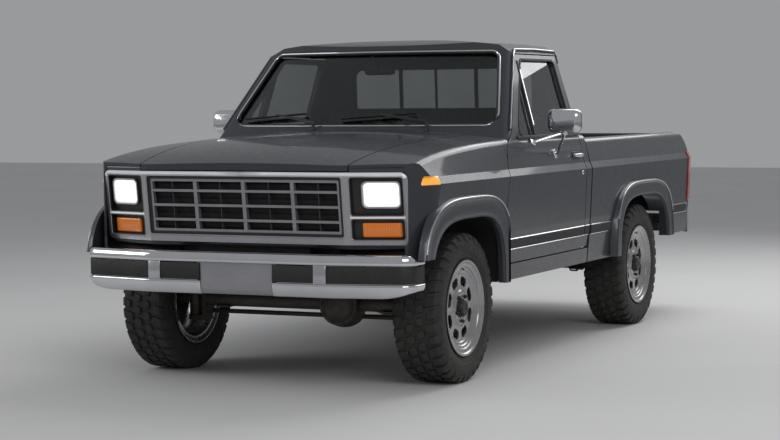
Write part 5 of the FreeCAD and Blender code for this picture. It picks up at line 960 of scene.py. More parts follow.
def flare(axle, front, rear, rise, rear_low, front_low, rear_limit, width=1.0):
    """A flare round a wheel opening, cut off at its two feet and at the cab or box's end."""
    rings = []
    for k in range(FLARE_STEPS + 1):
        share = 0.5 - 0.5 * math.cos(math.pi * k / FLARE_STEPS)
        ring = []
        for outset, x in FLARE_SECTION:
            y, z = arch_point(axle, front, rear, rise, outset * width, share)
            ring.append((x, min(y, rear_limit), max(z, rear_low if share < 0.5 else front_low)))
        rings.append(ring)
    return Build().loft(rings)


def make_flares():
    front = flare(FRONT_AXLE, 0.545, 0.452, 0.478, 0.491, 0.693, reach(0.5))
    pair("front_flare_{}", front, PAINT, "body_paint", sharp=60)
    rear = flare(REAR_AXLE, 0.52, 0.52, 0.462, 0.553, 0.491, reach(3.7), 0.85)
    pair("rear_flare_{}", rear, PAINT, "body_paint", sharp=60)
    for tag, axle, lengths, rise, outset in (("front", FRONT_AXLE, (0.545, 0.452), 0.478, 0.1075),
                                             ("rear", REAR_AXLE, (0.52, 0.52), 0.462, 0.0914)):
        path = []
        for k in range(8, 61):
            share = 0.5 - 0.5 * math.cos(math.pi * k / 64)
            y, z = arch_point(axle, *lengths, rise, outset, share)
            if z > 0.72 and (tag == "rear" or y < reach(0.495)):
                path.append((0.9955, y, z))
        pair("flare_bead_" + tag + "_{}", Build().strip(path, (1, 0, 0), bead(0.0085, 0.0034)), SATIN, "chrome")


def side_marker():
    """A lens on the fender's side, bent round its front corner."""
    corner_radius = 0.34
    rings = []
    for grow, out in ((0.0, -0.02), (0.0, 0.003), (-0.003, 0.0062), (-0.009, 0.0078)):
        outline = rectangle(-2.2095, -2.0705, 1.0625, 1.1075, 0.006, 4)
        ring = []
        for y, z in scaled(outline, (-2.14, 1.085), 1 + grow * 14, 1 + grow * 40):
            bend = corner_radius - math.sqrt(corner_radius ** 2 - max(0.0, reach(-0.387) - y) ** 2)
            ring.append((side_x(z) - bend + out, y, z))
        rings.append(ring)
    return Build().loft(rings)


def moulding(tree, y0, y1, z0, z1, front_end, rear_end):
    """A black strip between two bright lines along the body side."""
    def line(offset, section):
        outline = [(y0 + (y1 - y0) * k / 12, z0 + (z1 - z0) * k / 12 + offset) for k in range(13)]
        return Build().strip(*on_side(tree, outline), section)
    black = line(0, flat_strip(0.046, 0.0062))
    bright = line(0.0285, bead(0.0095, 0.006)).merge(line(-0.0285, bead(0.0095, 0.006)))
    for y, z, wanted in ((y0, z0, front_end), (y1, z1, rear_end)):
        if wanted:
            bright.strip(*on_side(tree, [(y, z - 0.031), (y, z), (y, z + 0.031)]), bead(0.009, 0.0062))
    return black, bright


def make_mouldings():
    for tag, node, body, span, ends in (
            ("door", "door_left", "door_{}", (0.533, 1.802, 0.69, 0.69), (True, False)),
            ("cab", "cab_shell", "truck", (1.826, 1.902, 0.69, 0.69), (False, False)),
            ("box", "box_side_left", "truck", (1.93, 2.338, 0.69, 0.69), (False, False)),
            ("tail", "box_side_left", "truck", (3.585, 3.955, 0.722, 0.722), (False, True))):
        black, bright = moulding(tree_of(node), reach(span[0]), reach(span[1]), span[2], span[3], *ends)
        pair("side_strip_" + tag + "_{}", black, RUBBER, "black_rubber", body=body)
        pair("side_strip_edges_" + tag + "_{}", bright, CHROME, "chrome", body=body)


def make_glass_trim():
    shell = tree_of("cab_shell", "cab_glass")
    ring = rounded([(-0.85, 1.342), (0.85, 1.342), (0.716, 1.767), (-0.716, 1.767)], 0.062, 8)
    line = from_front(shell, resample(ring, 0.04, True))
    place("windshield_gasket", Build().strip(*line, flat_strip(0.03, 0.004, 0.006), loop=True), RUBBER,
          "black_rubber")
    place("windshield_moulding", Build().strip(*line, bead(0.013, 0.0075), loop=True), CHROME, "chrome")
    line = from_rear(shell, resample(rectangle(-0.612, 0.612, 1.328, 1.692, 0.062, 8), 0.04, True))
    place("rear_window_gasket", Build().strip(*line, flat_strip(0.032, 0.007, 0.006), loop=True), RUBBER,
          "black_rubber")
    place("rear_window_moulding", Build().strip(*line, bead(0.008, 0.0095), loop=True), SATIN, "chrome")

    # Door frames: weather strips round the panes, the upright bar and the strip along the sill
    door = tree_of("door_left")
    front, rear = reach(0.842) - 0.014, reach(1.728) + 0.007
    window = rounded([(front, 1.277), (rear, 1.277), (rear, 1.719), (reach(1.196) - 0.008, 1.719)], 0.036, 6)
    strip = Build().strip(*on_side(door, resample(window, 0.04, True)), flat_strip(0.012, 0.0035, 0.004),
                          loop=True)
    bar = [(reach(1.096) + 0.034 * k / 8, 1.286 + 0.424 * k / 8) for k in range(9)]
    strip.strip(*on_side(door, bar), flat_strip(0.024, 0.004, 0.004))
    sill = [(reach(0.8) + 0.0985 * k, 1.2715) for k in range(11)]
    strip.strip(*on_side(door, sill), flat_strip(0.016, 0.007, 0.003))
    pair("door_weather_strip_{}", strip, RUBBER, "black_rubber", body="door_{}")
    line = on_side(door, [(y + 0.006, z) for y, z in bar[1:-1]])
    pair("vent_bar_line_{}", Build().strip(*line, bead(0.0065, 0.0068)), SATIN, "chrome", body="door_{}")

    # Drip rail over the door and down the windshield pillar
    corners = [(reach(0.742) - 0.026, 1.318), (reach(1.1135) - 0.022, 1.748), (reach(1.15), 1.7685),
               (reach(1.5), 1.7735), (reach(1.815), 1.7685), (reach(1.843), 1.745), (reach(1.85), 1.7)]
    path, normals = on_side(tree_of("cab_shell"), resample(corners, 0.04))
    rail = Build().strip(path, normals, [(-0.006, -0.004), (-0.006, 0.01), (-0.003, 0.0135), (0.005, 0.0135),
                                         (0.008, 0.01), (0.008, -0.004)])
    pair("drip_rail_{}", rail, PAINT, "body_paint", bevel=0.001)
    rail = Build().strip([p + n * 0.0125 for p, n in zip(path, normals)], normals, bead(0.008, 0.003))
    pair("drip_rail_line_{}", rail, SATIN, "chrome")


def make_mirrors():
    def ring(y, grow):
        """The head's outline, grown by a width, at a place along the truck."""
        outline = rectangle(0.9965 - grow, 1.1955 + grow, 1.2935 - grow, 1.4325 + grow, 0.038 + grow * 0.6, 6)
        return [(x, y + abs(z - 1.363) * 0.06, z) for x, z in outline]
    shell = Build().loft([ring(y, grow) for y, grow in (
        (-0.59, -0.03), (-0.5885, -0.022), (-0.583, -0.012), (-0.574, -0.005), (-0.562, -0.001), (-0.545, 0.0),
        (-0.5335, -0.001), (-0.5305, -0.003), (-0.5305, -0.008), (-0.537, -0.009))])
    pair("mirror_shell_{}", shell, CHROME, "chrome", "door_chrome_{}", body="door_{}", sharp=50)
    face = Build().loft([ring(y, grow) for y, grow in ((-0.5365, -0.0095), (-0.5335, -0.01),
                                                       (-0.5328, -0.0125))])
    pair("mirror_face_{}", face, MIRROR, "chrome", body="door_{}", sharp=50)
    path = [Vector(p) for p in ring(-0.552, 0.0)]
    normals = [(p - Vector((1.096, p.y, 1.363))).normalized() for p in path]
    band = Build().strip(path, normals, flat_strip(0.005, 0.0006, 0.002), loop=True)
    pair("mirror_band_{}", band, BLACK, "black_plastic", body="door_{}")
    middle = Vector((1.096, -0.56, 1.3))
    front_foot = Vector((0.925, -0.65, 1.243))
    rear_foot = Vector((0.946, -0.33, 1.168))
    arms = Build()
    for foot, leave, steps in (
            (front_foot, (0.03, 0.004, 0.004), ((-0.045, -0.02, -0.018), (-0.004, 0, -0.004), (0, 0, 0.01))),
            (rear_foot, (0.028, -0.006, 0.006),
             ((-0.02, 0.045, -0.03), (0.002, 0.004, -0.006), (0.004, 0, 0.01)))):
        arms.tube([foot, foot + Vector(leave)] + [middle + Vector(step) for step in steps], 0.0085, 10)
    arms.lathe([(1.284, 0.001), (1.284, 0.017), (1.29, 0.02), (1.299, 0.017), (1.299, 0.001)],
               (middle.x, middle.y, 0), 20, "z")
    door = tree_of("door_left")
    for foot, length, lean in ((front_foot, 0.06, 0.25), (rear_foot, 0.05, 1.2)):
        points = [(foot.y + k * length / 4 * math.cos(lean), foot.z - k * length / 4 * math.sin(lean))
                  for k in range(-2, 3)]
        arms.strip(*on_side(door, points), [(-0.014, -0.004), (-0.014, 0.006), (-0.009, 0.012), (0.009, 0.012),
                                            (0.014, 0.006), (0.014, -0.004)])
    pair("mirror_arms_{}", arms, CHROME, "chrome", body="door_{}", bevel=0.001)


def make_handles():
    """A lift handle over a black pad painted as the shade of its hollow, with a lock below it whose keyway is a
    black slot of painted shade.
    """
    y0, y1 = reach(1.622), reach(1.758)
    handle_z = 1.15
    plate = rectangle(y0, y1, 1.127, 1.173, 0.014, 5)
    rings = []
    for grow, out in ((0.0, -0.01), (0.0, 0.0025), (-0.002, 0.0035), (-0.006, 0.0035), (-0.009, 0.0012)):
        ring = scaled(plate, ((y0 + y1) / 2, handle_z), 1 + grow / 0.068, 1 + grow / 0.023)
        rings.append([(side_x(z) + out, y, z) for y, z in ring])
    # A black pad painted as the shade in the hollow behind the handle
    pair("handle_recess_{}", Build().loft(rings), BLACK, "black_plastic", body="door_{}")
    x = side_x(handle_z)
    rings = []
    for y, inset in ((y0 + 0.002, 0.01), (y0 + 0.006, 0.003), (y0 + 0.014, 0.0), (y1 - 0.04, 0.0),
                     (y1 - 0.014, 0.001), (y1 - 0.006, 0.004), (y1 - 0.002, 0.011)):
        out = x + 0.034 - inset
        top, low = 1.1625 - inset * 0.3, 1.1415 + inset * 0.3
        rings.append([(out - 0.018, y, top), (out - 0.003, y, top - 0.001), (out, y, top - 0.006),
                      (out, y, low + 0.005), (out - 0.004, y, low), (out - 0.018, y, low + 0.003)])
    grip = Build().loft(rings)
    for y in (y0 + 0.012, y1 - 0.012):
        grip.box((x - 0.006, y - 0.008, 1.144), (x + 0.024, y + 0.008, 1.16))
    lock = Vector((side_x(1.046), reach(1.738), 1.046))
    grip.lathe([(-0.006, 0.001), (-0.006, 0.0125), (0.002, 0.0125), (0.0045, 0.0105), (0.0045, 0.0085),
                (0.003, 0.0075), (0.003, 0.001)], lock, 20)
    pair("handle_grip_{}", grip, CHROME, "chrome", body="door_{}", bevel=0.0012)
    slot = Build().box(lock + Vector((0.002, -0.001, -0.005)), lock + Vector((0.0036, 0.001, 0.005)))
    # A black box painted as the shade in the lock's keyway
    pair("lock_slot_{}", slot, BLACK, "black_plastic", body="door_{}")


def make_wipers():
    metal = Build()
    rubber = Build()
    z = 1.352
    for pivot_x in (0.47, -0.22):
        pivot = Vector((pivot_x, glass_front(pivot_x, z, 0.04), z))
        metal.lathe([(1.255, 0.001), (1.255, 0.011), (1.335, 0.011), (1.34, 0.01), (1.36, 0.01),
                     (1.364, 0.007), (1.365, 0.001)], (pivot.x, pivot.y, 0), 16, "z")
        rings = []
        for k in range(9):
            share = k / 8
            x = pivot_x - 0.3 * share
            height = z + 0.012 + 0.046 * share
            point = Vector((x, glass_front(x, height, 0.04 - 0.016 * share), height))
            half = 0.013 - 0.007 * share
            rings.append([point + Vector((0, a * 0.7, b * half)) for a, b in (
                (-0.005, -0.6), (-0.005, 0.6), (0.002, 1), (0.004, 0.8), (0.004, -0.8), (0.002, -1))])
        metal.loft(rings)
        spine = []
        blade = []
        for k in range(15):
            share = k / 14
            x = pivot_x - 0.095 - 0.44 * share
            height = z + 0.062 - 0.03 * share
            lift = 0.012 + 0.008 * (1 - (2 * share - 1) ** 2)
            spine.append((x, glass_front(x, height, lift), height + 0.002))
            blade.append((x, glass_front(x, height, 0.0065), height))
        metal.tube(spine, 0.0035, 6)
        rubber.strip(blade, (0, -1, 0.5), [(-0.0035, -0.006), (-0.0015, -0.0065), (0.0015, -0.0065),
                                           (0.0035, 0.006), (-0.0035, 0.006)])
        for x, y, height in blade[1::4]:
            metal.box((x - 0.006, y - 0.013, height - 0.004), (x + 0.006, y, height + 0.006))
    place("wiper_arms", metal, BLACK, "black_plastic", ("wipers",))
    place("wiper_blades", rubber, RUBBER, "black_rubber")


def make_cowl():
    """The air intake's row of slots, on the flat between the hood and the windshield, drawn as black strips
    painted as the shade inside the slots.
    """
    tree = tree_of("cab_shell")
    slots = Build()
    for index in range(27):
        x = -0.598 + 1.196 * index / 26
        slots.strip([hit_below(tree, x, y, 1.6) for y in (-1.164, -1.147, -1.13)], (0, -0.1, 1), [
            (-0.015, -0.003), (-0.015, 0.001), (-0.0135, 0.0016), (0.0135, 0.0016), (0.015, 0.001),
            (0.015, -0.003)])
    # Black strips painted as the shade inside the cowl's slots
    place("cowl_slots_painted_shade", slots, BLACK, "inner_black")


def blurred(grid, passes):
    for _ in range(passes):
        grid = np.pad(grid, 1, mode="edge")
        grid = (grid[:-2] + 2 * grid[1:-1] + grid[2:]) / 4
        grid = (grid[:, :-2] + 2 * grid[:, 1:-1] + grid[:, 2:]) / 4
    return grid


def make_roof_skin():
    """A smooth sheet over the creases of the roof, that dips under it along its border."""
    tree = tree_of("cab_shell")
    half_width, rear, columns, rows = 0.696, 0.192, 100, 72
    roof_top, brow_foot = 1.846, 1.806
    highest, most_lift, thick, sink = 1.8468, 0.006, 0.004, 0.0015
    xs = [half_width * (2 * i / columns - 1) for i in range(columns + 1)]
    fronts = [glass_front(x, brow_foot) + 0.022 for x in xs]
    spots = [[(x, front + (rear - front) * j / rows) for x, front in zip(xs, fronts)] for j in range(rows + 1)]

    def height(x, y):
        """The roof's height; a ray that slips through a crease gives way to the roof's own two slopes."""
        hit = hit_below(tree, x, y, 2.2)
        crown = roof_top - 0.042 * (x / 0.7) ** 2
        brow = brow_foot + 0.04 * (y + 0.665) / 0.375
        return hit.z if hit and hit.z > 1.75 else min(crown, brow, roof_top)
    base = np.array([[height(x, y) for x, y in row] for row in spots])
    skin = blurred(base, 14)
    for _ in range(5):
        skin = skin + 1.2 * blurred(np.maximum(0, base + 0.0004 - skin), 5)
    skin = np.minimum(skin, np.minimum(base + most_lift, highest))
    verts = []
    for j, row in enumerate(spots):
        for i, (x, y) in enumerate(row):
            share = 1
            for inside in ((half_width - abs(x)) / 0.05, (y - fronts[i]) / 0.03, (rear - y) / 0.04):
                inside = min(1, max(0, inside))
                share *= inside * inside * (3 - 2 * inside)
            verts.append((x, y, skin[j, i] * share + (base[j, i] - sink) * (1 - share)))
    skin = Build().sheet(verts, [(x, y, z - thick) for x, y, z in verts], len(xs))
    place("roof_skin", skin, PAINT, "body_paint", sharp=60)


# Cabin

def pad_ring(low, high, front, rear, radius, sides=44):
    """One upright section of a padded block: places along and up, each with its share of the way out."""
    ring = []
    power = 2 / radius
    for k in range(sides):
        angle = 2 * math.pi * k / sides
        c, d = math.cos(angle), math.sin(angle)
        a = math.copysign(abs(c) ** power, c)
        b = math.copysign(abs(d) ** power, d)
        along = (front + rear) / 2 + a * (rear - front) / 2
        up = (low + high) / 2 + b * (high - low) / 2
        ring.append((along, up, a, b))
    return ring


def padded_block(section, face):
    """A block across the cab, its stitched pads on 'top' or 'front'; section: front, rear, low, high, lean."""
    front, rear, low, high, lean = section
    middle_y, middle_z = (front + rear) / 2, (low + high) / 2
    x_half, ends, columns = 0.68, 0.045, 92
    crown, pad_rise, groove, seam_width = 0.016, 0.006, 0.007, 0.0055
    seams = [0.08 * (k - 7.5) for k in range(16)]
    rings = []
    for i in range(columns + 1):
        x = -x_half + 2 * x_half * i / columns
        edge = max(0.0, (abs(x) - (x_half - ends)) / ends)
        shrink = 1 - 0.5 * (1 - math.sqrt(max(0.0, 1 - edge ** 2)))
        seam = max(math.exp(-((x - at) / seam_width) ** 2) for at in seams)
        puff = min(1, min(abs(x - at) for at in seams) / 0.03)
        ring = []
        for y, z, a, b in pad_ring(low, high, front, rear, 7.0):
            out, other = (b, a) if face == "top" else (-a, b)
            swell = crown * (1 - other ** 4) + pad_rise * puff - groove * seam * (1 - other ** 8)
            swell *= max(0.0, out) ** 4 * shrink
            y = middle_y + (y - middle_y) * (0.93 + 0.07 * shrink)
            z = middle_z + (z - middle_z) * (0.8 + 0.2 * shrink)
            if face == "top":
                z += swell
            else:
                y -= swell
            ring.append((x, y + lean * (z - low) / (high - low), z))
        rings.append(ring)
    return Build().loft(rings)


def make_bench():
    cushion = padded_block((-0.47, 0.072, 0.812, 0.985, 0.0), "top")
    place("bench_cushion", cushion, VINYL, "seat_vinyl", ("seat_cushion",), sharp=70, padded=0.6)
    back = padded_block((-0.082, 0.066, 1.003, 1.436, 0.1), "front")
    place("bench_back", back, VINYL, "seat_vinyl", ("seat_back",), sharp=70, padded=0.6)
    piping = Build()
    for z in (0.962, 0.838):
        piping.tube([(-0.65, -0.4725, z), (-0.3, -0.4755, z), (0.3, -0.4755, z), (0.65, -0.4725, z)], 0.0045, 8)
    piping.tube([(-0.645, 0.02, 1.4255), (-0.3, 0.015, 1.429), (0.3, 0.015, 1.429), (0.645, 0.02, 1.4255)],
                0.0045, 8)
    place("bench_piping", piping, TRIM_BLACK, "seat_vinyl")
    base = Build()
    for x in (-0.56, -0.2, 0.2, 0.56):
        base.box((x - 0.02, -0.43, 0.785), (x + 0.02, 0.04, 0.815))
    for x in (-0.655, 0.655):
        for y0, y1, top in ((-0.45, -0.39, 0.815), (0.0, 0.05, 0.815), (-0.45, 0.05, 0.64)):
            base.box((x - 0.012, y0, 0.622), (x + 0.012, y1, top))
    place("bench_base", base, CHASSIS, "chassis_black", bevel=0.002)
    belts = Build()
    for x in (-0.3, 0.06, 0.3):
        belts.box((x - 0.012, -0.085, 0.995), (x + 0.012, -0.07, 1.075))
        belts.loft([[(x - 0.015, y0, z), (x + 0.015, y0, z), (x + 0.015, y1, z), (x - 0.015, y1, z)]
                    for y0, y1, z in ((-0.094, -0.068, 1.07), (-0.1, -0.076, 1.125))])
    place("belt_buckles", belts, BLACK, "black_plastic", bevel=0.002)


def make_steering_wheel():
    tilt = math.radians(32)
    axis = Vector((0, math.cos(tilt), math.sin(tilt)))
    middle = Vector((0.372, -0.59, 1.17))
    on_column = Matrix.Translation(middle) @ axis.to_track_quat("Z", "Y").to_matrix().to_4x4()
    rim_radius = 0.19
    rings = []
    for k in range(72):
        angle = 2 * math.pi * k / 72
        grip = 0.0122 + 0.0007 * math.cos(angle * 36)
        ring = []
        for j in range(12):
            turn = 2 * math.pi * j / 12
            r = rim_radius + grip * math.cos(turn)
            ring.append((r * math.cos(angle), r * math.sin(angle), grip * math.sin(turn)))
        rings.append(ring)
    rim = Build().loft(rings, loop=True)
    outline = rounded([(-0.095, -0.042), (0.095, -0.042), (0.08, 0.04), (-0.08, 0.04)], 0.022, 5)
    pad = Build().loft([[(x * g, y * g, z) for x, y in outline] for z, g in
                        ((-0.03, 0.8), (-0.012, 1.0), (0.008, 1.0), (0.016, 0.95), (0.02, 0.84))])
    pad.lathe([(-0.058, 0.016), (-0.058, 0.044), (-0.02, 0.046), (-0.02, 0.016)], (0, 0, 0), 28, "z")
    for angle in (math.radians(a) for a in (12, 168, 218, 322)):
        c, d = math.cos(angle), math.sin(angle)
        start = Vector((c * 0.055, d * 0.03, 0.0))
        end = Vector((c * 0.186, d * 0.186, 0.002))
        side = (end - start).cross(Vector((0, 0, 1))).normalized()
        edge = ((-1, -0.4), (-0.7, -1), (0.7, -1), (1, -0.4), (1, 0.4), (0.7, 1), (-0.7, 1), (-1, 0.4))
        rings = []
        for point, half, thick in ((start, 0.02, 0.009), ((start + end) / 2, 0.0145, 0.007),
                                   (end, 0.0125, 0.006)):
            rings.append([point + side * a * half + Vector((0, 0, b * thick)) for a, b in edge])
        pad.loft(rings)
    place("wheel_rim_grip", rim.moved(on_column), STEERING, "dash_plastic", ("steering_wheel",),
          body="steering_wheel")
    place("wheel_pad", pad.moved(on_column), DASH, "dash_plastic", body="steering_wheel", bevel=0.002)


DASH_FACE = -0.711


def make_dash():
    face = DASH_FACE
    rings = []
    for y, z0, z1 in ((face - 0.15, 1.238, 1.262), (face - 0.02, 1.228, 1.2635), (face + 0.03, 1.216, 1.2475),
                      (face + 0.038, 1.214, 1.24), (face + 0.038, 1.218, 1.228)):
        outline = rectangle(0.155, 0.59, z0, z1, min(0.01, (z1 - z0) / 2 - 0.001), 3)
        rings.append([(x, y, z) for x, z in outline])
    hood = Build().loft(rings)
    outer = rectangle(0.16, 0.585, 1.078, 1.222, 0.014, 4)
    inner = rectangle(0.178, 0.567, 1.094, 1.212, 0.01, 4)
    hood.loft([[(x, face + out, z) for x, z in outline] for outline, out in (
        (outer, -0.002), (outer, 0.024), (inner, 0.024), (inner, 0.002))])
    roll = rounded([(face - 0.06, 1.2225), (face + 0.012, 1.2), (face + 0.012, 1.238), (face - 0.06, 1.26)],
                   0.008, 3)
    for x0, x1 in ((-0.74, 0.15), (0.595, 0.74)):
        hood.prism(roll, x0, x1, "x")
    place("dash_hood", hood, DASH, "dash_plastic", bevel=0.0015)
    place("gauge_panel", Build().prism(inner, face + 0.0005, face + 0.004, "y"), SHADE_AND_GAUGE_BLACK, "dash_plastic")
    rings = Build()
    marks = Build()
    for x, radius in ((0.45, 0.05), (0.3, 0.05), (0.53, 0.026)):
        middle = (x, face, 1.153)
        rings.lathe([(0.004, radius - 0.004), (0.009, radius - 0.003), (0.009, radius),
                     (0.004, radius + 0.001)], middle, 36, "y")
        upright = Matrix.Translation(middle) @ Matrix.Rotation(math.radians(-90), 4, "X")
        tick = Build().box((radius * 0.78, -0.0007, 0.004), (radius * 0.9, 0.0007, 0.0046))
        for k in range(11):
            marks.merge(tick.moved(upright @ Matrix.Rotation(math.radians(-40 + 26 * k), 4, "Z")))
        needle = Build().box((-radius * 0.15, -0.001, 0.0055), (radius * 0.72, 0.001, 0.0065))
        marks.merge(needle.moved(upright @ Matrix.Rotation(math.radians(130), 4, "Z")))
    place("gauge_rings", rings, TRIM, "silver_trim")
    place("gauge_marks", marks, PLATE_WHITE, "silver_trim")

    def boxes(name, mat, slot, bevel, rows, extra=None):
        """Flat blocks on the dashboard's face; a row is x0, x1, z0, z1 and how far it stands in and out."""
        build = extra or Build()
        for x0, x1, z0, z1, inner_y, outer_y in rows:
            build.box((x0, face + inner_y, z0), (x1, face + outer_y, z1))
        place(name, build, mat, slot, bevel=bevel)
    boxes("dash_trim_strip", TRIM, "silver_trim", 0.001, (
        (-0.735, 0.735, 1.052, 1.07, -0.001, 0.006), (-0.735, 0.735, 0.94, 0.946, -0.001, 0.004)))
    boxes("dash_radio", BLACK, "black_plastic", 0.002, (
        (-0.105, 0.105, 1.085, 1.14, -0.001, 0.01), (-0.105, 0.105, 1.15, 1.195, -0.001, 0.008),
        (-0.07, 0.07, 0.975, 1.04, -0.001, 0.012)))
    knobs = Build()
    for x in (-0.085, 0.085):
        knobs.lathe([(0.008, 0.001), (0.008, 0.011), (0.024, 0.0095), (0.026, 0.007), (0.026, 0.001)],
                    (x, face, 1.112), 18, "y")
    for x, radius, out in ((0.19, 0.012, 0.022), (0.56, 0.01, 0.02)):
        knobs.lathe([(0.004, 0.001), (0.004, radius), (out, radius * 0.5 + 0.004), (out + 0.002, 0.001)],
                    (x, face, 1.015), 18, "y")
    boxes("dash_knobs", SATIN, "silver_trim", 0.0008,
          [(-0.05 + 0.022 * k, -0.035 + 0.022 * k, 1.09, 1.098, 0.008, 0.016) for k in range(5)]
          + [(-0.07 + 0.05 * k, -0.058 + 0.05 * k, 1.166, 1.18, 0.006, 0.017) for k in range(3)], knobs)
    boxes("dash_panels", DASH, "dash_plastic", 0.003, (
        (-0.66, -0.22, 0.96, 1.044, -0.001, 0.006), (-0.46, -0.42, 1.02, 1.036, 0.004, 0.014),
        (-0.73, -0.655, 1.11, 1.175, -0.001, 0.007), (-0.225, -0.125, 1.11, 1.175, -0.001, 0.007),
        (0.585, 0.695, 1.11, 1.175, -0.001, 0.007)))
    louvres = Build()
    for x0, x1 in ((-0.722, -0.668), (-0.215, -0.135), (0.595, 0.685)):
        for k in range(5):
            z = 1.119 + 0.0115 * k
            slat = []
            for y, low in ((face + 0.005, z), (face + 0.011, z + 0.002)):
                slat.append([(x0, y, low), (x1, y, low), (x1, y, low + 0.003), (x0, y, low + 0.003)])
            louvres.loft(slat)
    place("dash_louvres", louvres, BLACK, "black_plastic")
    stalk = Build()
    stalk.tube([(0.33, -0.655, 1.14), (0.25, -0.65, 1.155), (0.215, -0.64, 1.16)], [0.005, 0.005, 0.007], 8)
    stalk.tube([(0.352, -0.7, 1.09), (0.352, -0.65, 1.122)], 0.009, 8)
    place("column_stalk", stalk, BLACK, "black_plastic")


def make_floor_controls():
    tree = tree_of("cab_shell")
    metal = Build()
    boots = Build()
    knobs = Build()
    for x, y, top, lean in ((0.02, -0.64, 1.0, (0.02, 0.1)), (-0.13, -0.6, 0.93, (-0.01, 0.05))):
        base = Vector((x, y, 0.622))
        head = Vector((x + lean[0], y + lean[1], top))
        boots.lathe([(0.0, 0.001), (0.0, 0.075), (0.01, 0.072), (0.022, 0.052), (0.03, 0.054), (0.042, 0.034),
                     (0.05, 0.036), (0.064, 0.018), (0.07, 0.001)], base, 20, "z")
        metal.tube([base + Vector((0, 0, 0.05)), base.lerp(head, 0.6) + Vector((0, -0.01, 0)), head],
                   [0.008, 0.007, 0.006], 10)
        knobs.lathe([(-0.022, 0.001), (-0.022, 0.009), (-0.012, 0.017), (0.004, 0.021), (0.016, 0.017),
                     (0.022, 0.008), (0.022, 0.001)], head, 18, "z")
    for x, half, drop in ((0.5, 0.03, 0.0), (0.39, 0.03, 0.0), (0.27, 0.024, -0.02)):
        metal.tube([(x, -1.0, 0.92), (x, -0.96, 0.86), (x, -0.9, 0.8 + drop)], 0.008, 8)
        knobs.loft([[(x - half, y, z + drop), (x + half, y, z + drop), (x + half, y - 0.01, z + drop + 0.065),
                     (x - half, y - 0.01, z + drop + 0.065)] for y, z in ((-0.902, 0.77), (-0.886, 0.774))])
    place("floor_levers", metal, STEEL, "exhaust_steel")
    place("lever_boots", boots, RUBBER, "black_rubber")
    place("lever_knobs", knobs, TRIM_BLACK, "black_plastic", bevel=0.003)

    # The ribbed mat lies on the floor and over the gearbox tunnel
    rows, columns = 26, 60
    top = []
    for i in range(columns + 1):
        x = -0.8 + 1.6 * i / columns
        for j in range(rows + 1):
            y = -1.02 + 0.62 * j / rows
            hit = hit_below(tree, x, y, 0.78)
            tunnel = 0.055 * math.exp(-(x / 0.16) ** 4) * min(1, max(0, (-0.42 - y) / 0.08))
            top.append((x, y, (hit.z if hit else 0.62) + 0.006 + tunnel + 0.0012 * math.sin(x * 240)))
    mat = Build().sheet(top, [(x, y, 0.6195) for x, y, z in top], rows + 1)
    place("floor_mat", mat, RUBBER, "black_rubber", sharp=50)


def inner_side(z):
    return side_x(z) - 0.076


def make_door_cards():
    outline = rectangle(reach(0.7), reach(1.76), 0.64, 1.225, 0.05, 6)
    rings = []
    for grow, out in ((0.0, 0.006), (0.0, -0.004), (-0.006, -0.009), (-0.012, -0.01)):
        ring = scaled(outline, (reach(1.23), 0.9325), 1 + grow / 0.53, 1 + grow / 0.29)
        rings.append([(inner_side(z) + out, y, z) for y, z in ring])
    pair("door_card_{}", Build().loft(rings), VINYL, "seat_vinyl", body="door_{}", sharp=50)
    rest_z = 0.985
    x = inner_side(rest_z)
    rings = []
    for y, half, deep in ((1.2, 0.012, 0.018), (1.215, 0.026, 0.045), (1.3, 0.032, 0.058),
                          (1.56, 0.034, 0.06), (1.65, 0.028, 0.048), (1.665, 0.012, 0.018)):
        rings.append([(x - a, reach(y), rest_z + half * b) for a, b in (
            (0.004, -1.2), (deep * 0.8, -0.8), (deep, 0), (deep * 0.9, 0.7), (deep * 0.4, 1), (0.004, 1))])
    pair("door_arm_rest_{}", Build().loft(rings), TRIM_BLACK, "seat_vinyl", body="door_{}", subsurf=1)
    hardware = Build()
    for y, z, length, angle in ((reach(0.96), 0.905, 0.125, 35), (reach(0.86), 1.085, 0.085, 8)):
        x = inner_side(z) - 0.009
        along = length * math.cos(math.radians(angle))
        rise = length * math.sin(math.radians(angle))
        hardware.lathe([(-0.03, 0.001), (-0.03, 0.012), (-0.024, 0.018), (0.0, 0.022), (0.004, 0.02),
                        (0.004, 0.001)], (x, y, z), 20)
        hardware.tube([(x - 0.02, y, z), (x - 0.026, y + along * 0.5, z + rise * 0.5),
                       (x - 0.026, y + along, z + rise)], [0.008, 0.006, 0.006], 8)
        hardware.lathe([(-0.05, 0.001), (-0.05, 0.008), (-0.044, 0.011), (-0.022, 0.009), (-0.022, 0.001)],
                       (x, y + along, z + rise), 14)
    pair("door_inner_handles_{}", hardware, SATIN, "chrome", body="door_{}", bevel=0.0008)
    line = Build()
    for z in (1.155, 0.74):
        path = [(inner_side(z) - 0.0095, reach(0.74) + 0.098 * k, z) for k in range(11)]
        line.strip(path, (-1, 0, 0), bead(0.008, 0.003))
    pair("door_card_lines_{}", line, TRIM, "silver_trim", body="door_{}")
    grille = Build()
    y = reach(0.86)
    for k in range(-4, 5):
        half = math.sqrt(max(0.0, 1 - (k / 4.6) ** 2)) * 0.062
        z = 0.76 + k * 0.0145
        grille.box((inner_side(z) - 0.0135, y - half, z - 0.0035),
                   (inner_side(z) - 0.006, y + half, z + 0.0035))
    pair("door_speaker_{}", grille, BLACK, "black_plastic", body="door_{}")


